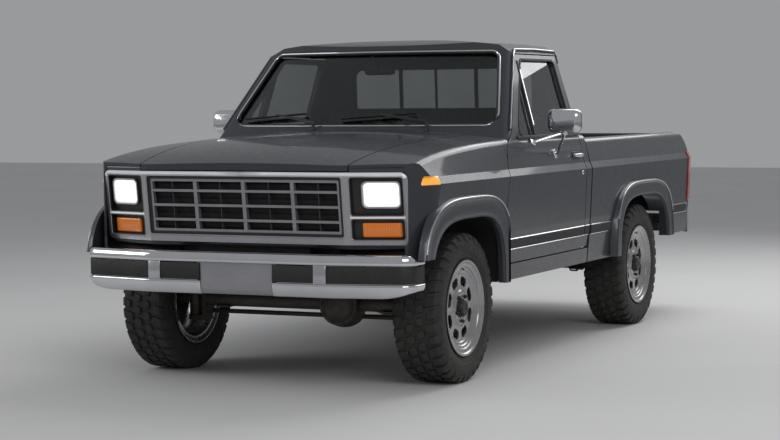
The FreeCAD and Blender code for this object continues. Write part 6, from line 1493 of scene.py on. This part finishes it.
def make_cab_lining():
    tree = tree_of("cab_shell")
    rows, columns = 18, 30
    low = []
    for i in range(columns + 1):
        x = -0.585 + 1.17 * i / columns
        for j in range(rows + 1):
            y = reach(1.06) + 0.76 * j / rows
            hit = hit_above(tree, x, y, 1.4)
            inside = min(1, i, columns - i, j, rows - j)
            sag = 0.001 + inside * (0.009 + 0.0025 * abs(math.sin(math.pi * j / 6)))
            low.append((x, y, (hit.z if hit else 1.8) - sag))
    liner = Build().sheet(low, [(x, y, z + 0.0045) for x, y, z in low], rows + 1)
    place("headliner", liner, LINER, "inner_black", sharp=60)

    middle = (-0.031, 1.6625)
    outline = rectangle(-0.128, 0.066, 1.635, 1.69, 0.022, 5)

    def mirror_ring(y, g):
        return [(x, y, z) for x, z in scaled(outline, middle, g, g)]
    mirror = Build().loft([mirror_ring(y, g) for y, g in (
        (-0.64, 0.8), (-0.636, 0.95), (-0.626, 1.0), (-0.614, 1.0), (-0.612, 0.97))])
    stem_x, stem_z = middle[0], 1.74
    stem_y = glass_front(stem_x, stem_z) + 0.01
    mirror.tube([(stem_x, -0.634, 1.664), (stem_x, -0.655, 1.69), (stem_x, stem_y, stem_z)],
                [0.007, 0.006, 0.007], 10)
    place("cabin_mirror", mirror, TRIM_BLACK, "black_plastic", bevel=0.001)
    glass = Build().loft([mirror_ring(y, 0.93) for y in (-0.6125, -0.6105)])
    place("cabin_mirror_face", glass, MIRROR, "chrome")
    visors = Build()
    for x0, x1 in ((0.135, 0.52), (-0.52, -0.135)):
        rings = []
        for t in (0.0, 0.12, 0.5, 0.88, 1.0):
            thick = 0.009 * math.sqrt(max(0.08, 1 - (2 * t - 1) ** 2))
            rings.append([(x, -0.56 + 0.135 * t, 1.742 + 0.018 * t + thick * b)
                          for x, b in ((x0, -1), (x1, -1), (x1, 1), (x0, 1))])
        visors.loft(rings)
    place("sun_visors", visors, LINER, "inner_black", bevel=0.004)
    bars = Build()
    for x, half in ((-0.271, 0.012), (-0.03, 0.008), (0.242, 0.012)):
        heights = [1.332 + 0.356 * k / 6 for k in range(7)]
        path = [(x, reach(1.906 - 0.038 * up_glasshouse(z)) - 0.026, z) for z in heights]
        bars.strip(path, (0, -1, 0), flat_strip(2 * half, 0.006, 0.003))
    place("rear_window_bars", bars, BLACK, "black_plastic")
    panel = Build().prism([(reach(1.863), 0.65), (reach(1.858), 0.66), (reach(1.853), 1.28),
                           (reach(1.856), 1.295), (reach(1.866), 1.295), (reach(1.868), 0.65)],
                          -0.7, 0.7, "x")
    place("cab_rear_panel", panel, TRIM_BLACK, "inner_black", bevel=0.003)


# Cargo box, tailgate and rear end

BOX_REAR = 2.37
BED_TOP = 0.766
GATE_FACE = 2.362


def stamping(outer, inner, at, out, way=1):
    """A raised border between two outlines of (across, up) pairs on an upright face along the truck."""
    return Build().loft([[(x * grow, at + way * rise, z) for x, z in outline] for outline, grow, rise in (
        (outer, 1, 0), (outer, 0.998, out), (inner, 1, out), (inner, 0.996, -0.001))], loop=True)


def floor_rib(y0, y1, x):
    half, foot, top = 0.03, BED_TOP - 0.001, BED_TOP + 0.01
    return Build().prism([(x - half, foot), (x - half * 0.72, top), (x + half * 0.72, top), (x + half, foot)],
                         y0, y1, "y")


def make_cargo_details():
    front, rear = 0.33, 2.292
    floor = Build()
    for k in range(11):
        floor.merge(floor_rib(front, rear, -0.6 + 0.12 * k))
    for x in (-0.755, 0.755):
        floor.merge(floor_rib(front, 0.79, x), floor_rib(1.845, rear, x))
    place("box_floor_ribs", floor, PAINT, "body_paint", bevel=0.003)
    wall = Build()
    for k in range(7):
        x = -0.66 + 0.22 * k
        wall.prism([(x - 0.055, 0.3135), (x - 0.04, 0.322), (x + 0.04, 0.322), (x + 0.055, 0.3135)],
                   0.82, 1.165, "z")
    wall.prism([(0.3, 1.206), (0.282, 1.2125), (0.322, 1.2125), (0.328, 1.206), (0.328, 1.188), (0.313, 1.188)],
               -0.855, 0.855, "x")
    place("box_front_ribs", wall, PAINT, "body_paint", bevel=0.003)
    ribs = Build()
    wall_x = 0.8585
    for z in (1.04, 1.12):
        ribs.prism([(wall_x, z - 0.016), (wall_x - 0.007, z - 0.009), (wall_x - 0.007, z + 0.009),
                    (wall_x, z + 0.016)], 0.345, 2.255, "y")
    for y, foot in ((0.4, 0.78), (0.8, 0.78), (1.317, 1.055), (1.84, 0.78), (2.24, 0.78)):
        ribs.prism([(wall_x, y - 0.018), (wall_x - 0.006, y - 0.012), (wall_x - 0.006, y + 0.012),
                    (wall_x, y + 0.018)], foot, 1.235, "z")
    for y in (1.02, 1.317, 1.61):
        ribs.prism([(y - 0.028, 0.984), (y - 0.016, 0.99), (y + 0.016, 0.99), (y + 0.028, 0.984)],
                   0.655, 0.852, "x")
    place("box_inner_ribs", ribs.both(), PAINT, "body_paint", bevel=0.002)
    rail = Build().prism([(0.852, 1.222), (0.852, 1.2465), (0.857, 1.2478), (0.893, 1.2478), (0.895, 1.244),
                          (0.86, 1.243), (0.86, 1.222)], 0.276, 2.262, "y")
    place("box_rail_caps", rail.both(), PAINT, "body_paint", bevel=0.002)
    # Thin near-black plates on the rail caps, painted as the shade inside the stake pocket holes
    pockets = Build()
    for y in (0.42, 1.317, 2.12):
        pockets.prism(rectangle(0.862, 0.89, y - 0.036, y + 0.036, 0.007, 3), 1.2462, 1.24798, "z")
    place("stake_pockets_painted_shade", pockets.both(), SHADE_AND_GAUGE_BLACK, "inner_black")


def make_tailgate():
    gate = stamping(rectangle(-0.792, 0.792, 0.702, 1.224, 0.012, 4),
                    rectangle(-0.7, 0.7, 0.79, 1.105, 0.045, 4), GATE_FACE - 0.0015, 0.0075)
    field = rectangle(-0.655, 0.655, 0.835, 1.06, 0.035, 5)
    gate.loft([[(x, GATE_FACE + out, z) for x, z in scaled(field, (0, 0.9475), g, h)] for out, g, h in
               ((-0.002, 1.012, 1.05), (0.0045, 1.0, 1.0), (0.0045, 0.5, 0.5))])
    cap = rounded([(GATE_FACE + out, z) for out, z in (
        (-0.0485, 1.231), (-0.0485, 1.226), (0.006, 1.226), (0.006, 1.232), (-0.002, 1.24), (-0.04, 1.24))],
        0.002, 2)
    gate.prism(cap, -0.797, 0.797, "x")
    place("tailgate_stamping", gate, PAINT, "body_paint", body="tailgate", sharp=30, bevel=0.0015)
    front = GATE_FACE - 0.048
    inside = stamping(rectangle(-0.78, 0.78, 0.74, 1.215, 0.012, 4),
                      rectangle(-0.7, 0.7, 0.8, 1.15, 0.04, 4), front + 0.0015, 0.0065, -1)
    for k in range(9):
        x = -0.56 + 0.14 * k
        inside.prism([(x - 0.032, front + 0.001), (x - 0.022, front - 0.006), (x + 0.022, front - 0.006),
                      (x + 0.032, front + 0.001)], 0.83, 1.12, "z")
    place("tailgate_inner_ribs", inside, PAINT, "body_paint", body="tailgate", bevel=0.0015)
    at = GATE_FACE + 0.0065
    outer = rectangle(-0.085, 0.085, 1.125, 1.185, 0.014, 5)
    inner = rectangle(-0.075, 0.075, 1.133, 1.177, 0.01, 5)
    cup = Build().loft([[(x, at + out, z) for x, z in outline] for outline, out in (
        (outer, -0.004), (outer, 0.002), (inner, 0.002), (inner, -0.003))], loop=True)
    cup.prism(inner, at - 0.0035, at - 0.0005, "y")
    place("tailgate_handle_cup", cup, BLACK, "black_plastic", body="tailgate", bevel=0.001)
    paddle = Build().loft([[(-0.062, y, z0), (0.062, y, z0), (0.062, y, z1), (-0.062, y, z1)] for y, z0, z1 in
                           ((at - 0.001, 1.146, 1.174), (at + 0.006, 1.148, 1.173), (at + 0.011, 1.158, 1.17))])
    place("tailgate_handle", paddle, CHROME, "chrome", body="tailgate", bevel=0.002)
    line = Build()
    for z in (0.802, 1.094):
        line.strip([(x, GATE_FACE + 0.0058, z) for x in (-0.697, -0.35, 0, 0.35, 0.697)], (0, 1, 0),
                   bead(0.007, 0.003))
    place("tailgate_lines", line, SATIN, "chrome", body="tailgate")


def make_tail_lamps():
    rings = []
    for z, shrink in ((0.7705, 0.004), (0.7735, 0.0), (0.94, 0.0), (1.07, 0.0), (1.1085, 0.0), (1.1115, 0.004)):
        side = side_x(z) + 0.0065 - shrink
        rear = BOX_REAR + 0.0078 - shrink
        rings.append([(0.8645 + shrink, 2.3195, z), (0.8645 + shrink, rear - 0.005, z), (0.869, rear, z),
                      (side - 0.012, rear, z), (side - 0.003, rear - 0.004, z), (side, rear - 0.012, z),
                      (side, 2.3195, z)])
    place("tail_lamp_lenses", Build().loft(rings).both(), LENS_RED, "lamp_red", ("tail_lamps",), sharp=40)
    clear = Build().prism(rectangle(0.876, 0.948, 0.868, 0.936, 0.006, 4), 2.372, 2.3795, "y")
    place("reverse_lamp_lenses", clear.both(), LENS_CLEAR, "lamp_clear", bevel=0.0015)
    face = 2.3768
    outline = rounded([(0.8665, 0.7725), (0.966, 0.7725), (0.9665, 1.1095), (0.8665, 1.1095)], 0.004, 3)
    path = [(min(x, side_x(z) - 0.006), face, z) for x, z in resample(outline, 0.03, True)]
    bezel = Build().strip(path, (0, 1, 0), bead(0.007, 0.004), loop=True)
    for z in (0.862, 0.942):
        bezel.strip([(x, face, z) for x in (0.868, 0.915, 0.96)], (0, 1, 0), bead(0.005, 0.003))
    place("tail_lamp_bezels", bezel.both(), CHROME, "chrome")


def make_rear_bumper():
    pads = Build()
    for x0, x1, z in ((-0.935, -0.345, 0.662), (0.345, 0.935, 0.662), (-0.315, 0.315, 0.601)):
        pads.box((x0, 2.389, z - 0.001), (x1, 2.446, z + 0.0035))
        for k in range(int((x1 - x0) / 0.02)):
            x = x0 + 0.01 + 0.02 * k
            if abs(x) < 0.02 and z < 0.65:
                continue
            pads.box((x, 2.393, z + 0.003), (x + 0.008, 2.442, z + 0.0055))
    place("rear_step_pads", pads, RUBBER, "black_rubber")
    band = Build()
    for x0, x1 in ((-0.9, -0.36), (0.36, 0.9)):
        band.box((x0, 2.4405, 0.594), (x1, 2.4499, 0.618))
    place("rear_bumper_band", band, RUBBER, "black_rubber")
    plate = Build().box((-0.155, 2.386, 0.606), (0.155, 2.3885, 0.678))
    for x in (-0.125, 0.125):
        plate.lathe([(2.388, 0.001), (2.388, 0.006), (2.3905, 0.0045), (2.391, 0.001)], (x, 0, 0.668), 12, "y")
    place("rear_blank_plate", plate, PANEL, "chrome", bevel=0.0008)
    lamps = Build()
    for x in (-0.19, 0.19):
        lamps.box((x - 0.018, 2.387, 0.625), (x + 0.018, 2.405, 0.65))
    place("plate_lamps", lamps, LENS_CLEAR, "lamp_clear", bevel=0.003)
    ends = Build()
    for x in (-0.8, -0.45, 0.45, 0.8):
        ends.lathe([(2.44, 0.001), (2.44, 0.011), (2.447, 0.009), (2.4495, 0.004), (2.4497, 0.001)],
                   (x, 0, 0.64), 16, "y")
    place("rear_bumper_bolts", ends, SATIN, "chrome")


# Running gear

COIL_X = 0.5


def make_springs():
    details = Build()
    for side in (1, -1):
        for index, half in enumerate((0.64, 0.54, 0.43, 0.31, 0.19)):
            rings = []
            for k in range(25):
                y = -half + 2 * half * k / 24
                z = 0.4705 - 0.0085 * index + 0.052 * (y / 0.64) ** 2
                rings.append([(side * x, REAR_AXLE + y, z + rise) for x, rise in (
                    (0.475, -0.0038), (0.535, -0.0038), (0.535, 0.0038), (0.475, 0.0038))])
            details.loft(rings)
        for end in (-1, 1):
            y = REAR_AXLE + end * 0.63
            details.lathe([(-0.031, 0.008), (-0.031, 0.021), (0.031, 0.021), (0.031, 0.008)],
                          (side * 0.505, y, 0.5225), 18)
            for x in (0.469, 0.535):
                details.box((side * x, y - 0.02, 0.505), (side * (x + 0.005), y + 0.02, 0.64))
            details.box((side * 0.4325, y - 0.028, 0.585), (side * 0.54, y + 0.028, 0.645))
        for y in (-0.062, 0.062):
            details.tube([(side * x, REAR_AXLE + y * share, z) for x, share, z in (
                (0.47, 1, 0.5), (0.47, 0.9, 0.365), (0.482, 0.9, 0.345), (0.528, 0.9, 0.345),
                (0.54, 0.9, 0.365), (0.54, 1, 0.5))], 0.006, 8)
        details.box((side * 0.462, REAR_AXLE - 0.08, 0.4765), (side * 0.548, REAR_AXLE + 0.08, 0.4885))
        helix = []
        turns, steps = 5.5, 132
        for k in range(steps + 1):
            angle = 2 * math.pi * turns * k / steps
            helix.append((side * COIL_X + 0.051 * math.cos(angle), FRONT_AXLE + 0.051 * math.sin(angle),
                          0.446 + 0.203 * k / steps))
        details.tube(helix, 0.0082, 8)
        for z in (0.4358, 0.6505):
            details.lathe([(z, 0.02), (z, 0.0615), (z + 0.0088, 0.0615), (z + 0.0088, 0.02)],
                          (side * COIL_X, FRONT_AXLE, 0), 24, "z")
        x, z = side * 0.4, 0.42
        details.loft([[(x + a * wide, y, z + b * half) for a, b in (
            (-1, -1), (1, -1), (1, -0.45), (0.35, -0.3), (0.35, 0.3), (1, 0.45), (1, 1), (-1, 1), (-1, 0.45),
            (-0.35, 0.3), (-0.35, -0.3), (-1, -0.45))] for y, half, wide in (
                (-1.61, 0.0185, 0.016), (-1.54, 0.019, 0.019), (-1.0, 0.0165, 0.016),
                (-0.72, 0.0175, 0.0185), (-0.651, 0.0185, 0.0195))])
    place("springs_and_arms_detail", details, CHASSIS, "axle_iron", ("springs_and_arms",), sharp=40)
    dampers = Build()
    for side in (1, -1):
        for low, high in (((COIL_X, FRONT_AXLE, 0.447), (COIL_X, FRONT_AXLE, 0.648)),
                          ((0.415, 1.42, 0.4), (0.415, 1.64, 0.64))):
            low, high = (Vector((side * x, y, z)) for x, y, z in (low, high))
            dampers.tube([low, low.lerp(high, 0.52)], 0.024, 16)
            dampers.tube([low.lerp(high, 0.5), high], 0.0285, 16)
    place("dampers", dampers, STEEL, "axle_iron", bevel=0.001)


def make_axle_details():
    parts = Build()
    cover = [(0.08, 0.07), (0.08, 0.112), (0.088, 0.112), (0.09, 0.096), (0.11, 0.082), (0.126, 0.05),
             (0.131, 0.001), (0.08, 0.001)]
    bolt = [(0.087, 0.001), (0.087, 0.007), (0.095, 0.0065), (0.0955, 0.001)]
    for x, y, way in ((0.0, REAR_AXLE, 1), (0.23, FRONT_AXLE, -1)):
        parts.lathe([(way * a, r) for a, r in cover], (x, y, AXLE_HEIGHT), 32, "y")
        for k in range(10):
            angle = 2 * math.pi * k / 10
            parts.lathe([(way * a, r) for a, r in bolt],
                        (x + 0.103 * math.cos(angle), y, AXLE_HEIGHT + 0.103 * math.sin(angle)), 6, "y")
    for side in (1, -1):
        for y, x in ((REAR_AXLE, 0.505), (FRONT_AXLE, COIL_X)):
            parts.box((side * x - 0.036, y - 0.045, 0.352), (side * x + 0.036, y + 0.045, 0.362))
    place("axle_details", parts, IRON, "axle_iron", bevel=0.001)
    straps = Build()
    for y in (-0.08, 0.26):
        for x0, x1, z0, z1 in ((0.113, 0.119, 0.396, 0.584), (0.3665, 0.3675, 0.396, 0.584),
                               (0.113, 0.3675, 0.394, 0.4)):
            straps.box((x0, y, z0), (x1, y + 0.035, z1))
    place("tank_straps", straps, STEEL, "exhaust_steel", bevel=0.0005)


# Under the hood

def make_engine_bay():
    """The engine's dressing, and what stands round it under the hood."""
    iron = Build()
    cover = [(-0.066, 1.08), (0.066, 1.08), (0.066, 1.1), (0.05, 1.14), (0.0, 1.15), (-0.05, 1.14),
             (-0.066, 1.1)]
    for side in (1, -1):
        iron.loft([[(side * 0.172 + a, y, b) for a, b in scaled(cover, (0, 1.08), g, g)]
                   for y, g in ((-1.92, 0.86), (-1.905, 1.0), (-1.34, 1.0), (-1.325, 0.86))])
        for k in range(4):
            iron.tube([(side * 0.255, -1.86 + 0.16 * k, 0.98), (side * 0.285, -1.86 + 0.16 * k, 0.93),
                       (side * 0.295, -1.8 + 0.13 * k, 0.86)], 0.022, 10)
    iron.box((-0.1, -1.9, 1.07), (0.1, -1.34, 1.105))
    iron.box((-0.07, -1.7, 1.1), (0.07, -1.54, 1.128))
    cap_x, cap_y = -0.055, -1.275
    iron.lathe([(1.075, 0.001), (1.075, 0.032), (1.14, 0.032), (1.15, 0.045), (1.185, 0.045), (1.195, 0.03),
                (1.195, 0.001)], (cap_x, cap_y, 0), 20, "z")
    for k in range(8):
        angle = 2 * math.pi * k / 8
        x, y = cap_x + 0.034 * math.cos(angle), cap_y + 0.034 * math.sin(angle)
        plug = (0.12 if k % 2 else -0.12, -1.38 - 0.06 * k, 1.165)
        iron.tube([(x, y, 1.19), (x, y, 1.205), plug], 0.004, 6)
    place("engine_top", iron, IRON, "engine_iron", bevel=0.003)

    cleaner = Build()
    for profile, steps in (
            ([(1.128, 0.001), (1.128, 0.06), (1.14, 0.15), (1.146, 0.176), (1.196, 0.178), (1.202, 0.182),
              (1.208, 0.18), (1.214, 0.15), (1.211, 0.06), (1.218, 0.04), (1.218, 0.001)], 56),
            ([(1.217, 0.001), (1.217, 0.01), (1.226, 0.012), (1.231, 0.006), (1.231, 0.001)], 12)):
        cleaner.lathe(profile, (0.0, -1.62, 0), steps, "z")
    cleaner.tube([(0.12, -1.72, 1.17), (0.21, -1.84, 1.165), (0.27, -1.98, 1.14)], [0.036, 0.034, 0.036], 14)
    place("air_cleaner", cleaner, BLACK, "black_plastic", bevel=0.001)

    front = Build()
    for x, z, r, y in ((0.0, 0.7, 0.08, -2.01), (0.0, 0.9, 0.062, -2.014), (0.215, 0.985, 0.04, -2.006),
                       (-0.215, 0.96, 0.06, -2.006)):
        front.lathe([(0.018, 0.001), (0.018, r), (0.008, r), (0.004, r * 0.86), (-0.004, r * 0.86), (-0.008, r),
                     (-0.018, r), (-0.018, 0.001)], (x, y, z), 28, "y")
        front.tube([(x, y, z), (x, -1.975, z)], 0.02, 10)
    front.lathe([(-0.075, 0.001), (-0.075, 0.058), (0.055, 0.058), (0.065, 0.04), (0.065, 0.001)],
                (0.215, -1.925, 0.985), 24, "y")
    front.lathe([(-0.08, 0.001), (-0.08, 0.062), (0.07, 0.062), (0.07, 0.001)], (-0.215, -1.925, 0.96), 24, "y")
    place("engine_pulleys", front, STEEL, "engine_iron", bevel=0.001)

    belt = Build()
    for points in (((0.08, 0.7), (0.057, 0.935), (-0.057, 0.935), (-0.08, 0.7), (0.0, 0.618)),
                   ((0.25, 0.985), (0.215, 1.027), (0.0, 0.965), (0.0, 0.838), (0.24, 0.952))):
        path = [(x, -2.008, z) for x, z in resample(rounded(points, 0.03, 5), 0.03, True)]
        belt.strip(path, (0, 1, 0), [(-0.004, -0.006), (0.004, -0.006), (0.004, 0.006), (-0.004, 0.006)],
                   loop=True)
    belt.tube([(0.1, -1.93, 1.07), (0.16, -2.02, 1.1), (0.2, -2.12, 1.09), (0.2, -2.19, 1.05)], 0.02, 12)
    belt.tube([(-0.18, -1.98, 0.72), (-0.24, -2.06, 0.7), (-0.26, -2.13, 0.69), (-0.26, -2.19, 0.69)],
              0.022, 12)
    for x in (-0.1, -0.16):
        belt.tube([(x, -1.4, 1.09), (x - 0.06, -1.28, 1.16), (x - 0.15, -1.18, 1.12), (x - 0.2, -1.064, 1.08)],
                  0.011, 10)
    place("belts_and_hoses", belt, RUBBER, "black_rubber")

    fan_z, shroud_z = 0.88, 0.86
    blade = Build().loft([
        [(-0.022, -2.07, 0.045), (0.022, -2.055, 0.045), (0.022, -2.052, 0.045), (-0.022, -2.067, 0.045)],
        [(-0.042, -2.078, 0.195), (0.042, -2.048, 0.195), (0.042, -2.045, 0.195), (-0.042, -2.075, 0.195)]])
    fan = blade.turned(6, "Y").moved(Matrix.Translation((0, 0, fan_z)))
    fan.lathe([(-2.08, 0.001), (-2.08, 0.045), (-2.03, 0.055), (-2.012, 0.055), (-2.012, 0.001)],
              (0, 0, fan_z), 24, "y")
    circle = [(0.212 * math.cos(2 * math.pi * k / 32), fan_z + 0.195 * math.sin(2 * math.pi * k / 32))
              for k in range(32)]
    square = []
    for x, z in circle:
        angle = math.atan2(z - shroud_z, x)
        c, d = math.cos(angle), math.sin(angle)
        scale = min(0.312 / max(1e-6, abs(c)), 0.205 / max(1e-6, abs(d)))
        square.append((scale * c, shroud_z + scale * d))
    thin_circle = scaled(circle, (0, fan_z), 0.985, 0.985)
    thin_square = scaled(square, (0, shroud_z), 0.99, 0.98)
    fan.loft([[(x, y, z) for x, z in outline] for outline, y in (
        (square, -2.188), (square, -2.15), (circle, -2.11), (circle, -2.06), (thin_circle, -2.06),
        (thin_circle, -2.112), (thin_square, -2.152), (thin_square, -2.188))], loop=True)
    place("fan_and_shroud", fan, BLACK, "black_plastic")

    tank = Build().prism(rectangle(-2.252, -2.185, 1.04, 1.086, 0.012, 4), -0.335, 0.335, "x")
    tank.lathe([(1.084, 0.001), (1.084, 0.024), (1.094, 0.024), (1.096, 0.03), (1.104, 0.028), (1.106, 0.001)],
               (-0.12, -2.218, 0), 20, "z")
    tank.loft([[(-0.82, y, z), (0.82, y, z), (0.82, y, z + 0.004), (-0.82, y, z + 0.004)]
               for y, z in ((-2.178, 1.094), (-2.14, 1.098))])
    place("radiator_tank", tank, BLACK, "black_plastic", bevel=0.001)

    battery = Build()
    battery.box((-0.835, -2.085, 0.905), (-0.655, -1.905, 1.075))
    battery.box((-0.845, -2.095, 0.885), (-0.645, -1.895, 0.925))
    for k in range(6):
        battery.lathe([(1.074, 0.001), (1.074, 0.012), (1.083, 0.012), (1.083, 0.001)],
                      (-0.745 + (0.035 if k % 2 else -0.035), -2.06 + 0.026 * k, 0), 12, "z")
    battery.box((0.64, -2.08, 0.9), (0.8, -1.96, 1.06))
    battery.lathe([(1.058, 0.001), (1.058, 0.026), (1.078, 0.026), (1.08, 0.001)], (0.72, -2.02, 0), 18, "z")
    place("battery_and_bottle", battery, BATTERY, "black_plastic", bevel=0.006)
    posts = Build()
    x = -0.69
    for y in (-2.065, -1.925):
        posts.lathe([(1.074, 0.001), (1.074, 0.011), (1.094, 0.009), (1.094, 0.001)], (x, y, 0), 12, "z")
        posts.tube([(x, y, 1.088), (x + 0.04, y + 0.02, 1.092), (x + 0.11, y + 0.06, 1.0),
                    (x + 0.19, y + 0.08, 0.9)], 0.006, 8)
    place("battery_posts", posts, SATIN, "engine_iron")

    brake = Build()
    brake.lathe([(-1.0665, 0.001), (-1.0665, 0.11), (-1.085, 0.118), (-1.1, 0.118), (-1.125, 0.1),
                 (-1.14, 0.06), (-1.15, 0.03), (-1.15, 0.001)], (0.44, 0, 1.03), 36, "y")
    brake.tube([(0.44, -1.145, 1.03), (0.44, -1.3, 1.03)], 0.024, 16)
    brake.box((0.412, -1.29, 1.045), (0.468, -1.165, 1.085))
    brake.box((0.409, -1.294, 1.083), (0.471, -1.161, 1.092))
    place("brake_booster", brake, STEEL, "engine_iron", bevel=0.002)
    heater = Build().box((-0.52, -1.16, 0.96), (-0.24, -1.062, 1.15))
    heater.lathe([(-1.165, 0.001), (-1.165, 0.07), (-1.12, 0.078), (-1.066, 0.078), (-1.066, 0.001)],
                 (-0.42, 0, 1.06), 28, "y")
    place("heater_box", heater, BLACK, "black_plastic", bevel=0.008)


def make_hood_underside():
    """The stamped frame under the hood, shown when it opens."""
    tree = tree_of("hood")
    ribs = Build()

    def run(points, half):
        path = [hit for hit in (hit_above(tree, x, y, 0.9) for x, y in points) if hit]
        if len(path) > 2:
            high = 0.008
            ribs.strip(path, (0, 0, -1), [(-half, -0.002), (-half * 0.7, high), (half * 0.7, high),
                                          (half, -0.002)])
    for x in (-0.36, 0.0, 0.36):
        run([(x * (0.85 + 0.15 * k / 12), -2.26 + 0.9 * k / 12) for k in range(13)], 0.03)
    for y in (-2.25, -1.96, -1.66, -1.4):
        run([(-0.56 + 1.12 * k / 16, y) for k in range(17)], 0.032)
    place("hood_underside_ribs", ribs, PAINT, "body_paint", body="hood", bevel=0.002)


# Stage, light and camera

def stage_plane():
    bpy.ops.mesh.primitive_plane_add(size=60, location=(0, 0, 0))
    floor = bpy.context.object
    floor.name = "floor"
    mat, tree, shader = nodes_of("pale_floor")
    tone = spread(tree, noise(tree, 0.4), 0, 1)
    tree.links.new(mix_colours(tree, tone, (0.6, 0.6, 0.6), (0.64, 0.64, 0.64)), shader.inputs["Base Color"])
    shader.inputs["Roughness"].default_value = 0.8
    floor.data.materials.append(mat)


def area_light(name, location, target, size, size_y, power):
    data = bpy.data.lights.new(name, "AREA")
    data.shape = "RECTANGLE"
    data.size = size
    data.size_y = size_y
    data.energy = power
    lamp = bpy.data.objects.new(name, data)
    lamp.location = location
    lamp.rotation_euler = (Vector(target) - Vector(location)).to_track_quat("-Z", "Y").to_euler()
    bpy.context.collection.objects.link(lamp)


def studio():
    world = bpy.data.worlds.new("studio")
    bpy.context.scene.world = world
    world.use_nodes = True
    background = world.node_tree.nodes["Background"]
    background.inputs["Color"].default_value = (0.8, 0.81, 0.83, 1)
    background.inputs["Strength"].default_value = 0.4
    area_light("overhead", (1.5, 3.0, 5.5), (0.3, 0.3, 0.8), 4.0, 5.0, 170)
    area_light("key", (5.5, -7.0, 4.6), (0.3, -1.0, 0.8), 5.0, 3.0, 210)
    area_light("fill", (-6.5, -5.0, 3.6), (0, -0.5, 0.8), 4.0, 3.0, 120)
    area_light("back", (2.5, 7.5, 4.5), (0, 1.0, 1.0), 5.0, 2.5, 110)


def photo_camera():
    """The camera that was solved from the photograph."""
    azimuth, elevation, roll = (math.radians(angle) for angle in (24.829, 3.452, -0.477))
    x, y, z = 4.966, -11.297, 1.492
    focal_pixels, photo_width, sensor_width = 1995.6, 780, 36
    back = Vector((math.sin(azimuth) * math.cos(elevation), -math.cos(azimuth) * math.cos(elevation),
                   math.sin(elevation)))
    right = Vector((math.cos(azimuth), math.sin(azimuth), 0))
    right = right * math.cos(roll) + back.cross(right) * math.sin(roll)
    up = back.cross(right)
    data = bpy.data.cameras.new("photo_camera")
    data.sensor_width = sensor_width
    data.lens = focal_pixels * sensor_width / photo_width
    cam = bpy.data.objects.new("photo_camera", data)
    cam.matrix_world = Matrix(((right.x, up.x, back.x, x), (right.y, up.y, back.y, y),
                               (right.z, up.z, back.z, z), (0, 0, 0, 1)))
    bpy.context.collection.objects.link(cam)
    bpy.context.scene.camera = cam


make_wheels()
make_front_bumper()
make_front_face()
make_flares()
make_mouldings()
make_glass_trim()
make_mirrors()
make_handles()
make_wipers()
make_cowl()
make_roof_skin()
make_bench()
make_steering_wheel()
make_dash()
make_floor_controls()
make_door_cards()
make_cab_lining()
make_cargo_details()
make_tailgate()
make_tail_lamps()
make_rear_bumper()
make_springs()
make_axle_details()
make_engine_bay()
make_hood_underside()

stage_plane()
studio()
photo_camera()
bpy.context.scene.view_settings.view_transform = "Standard"
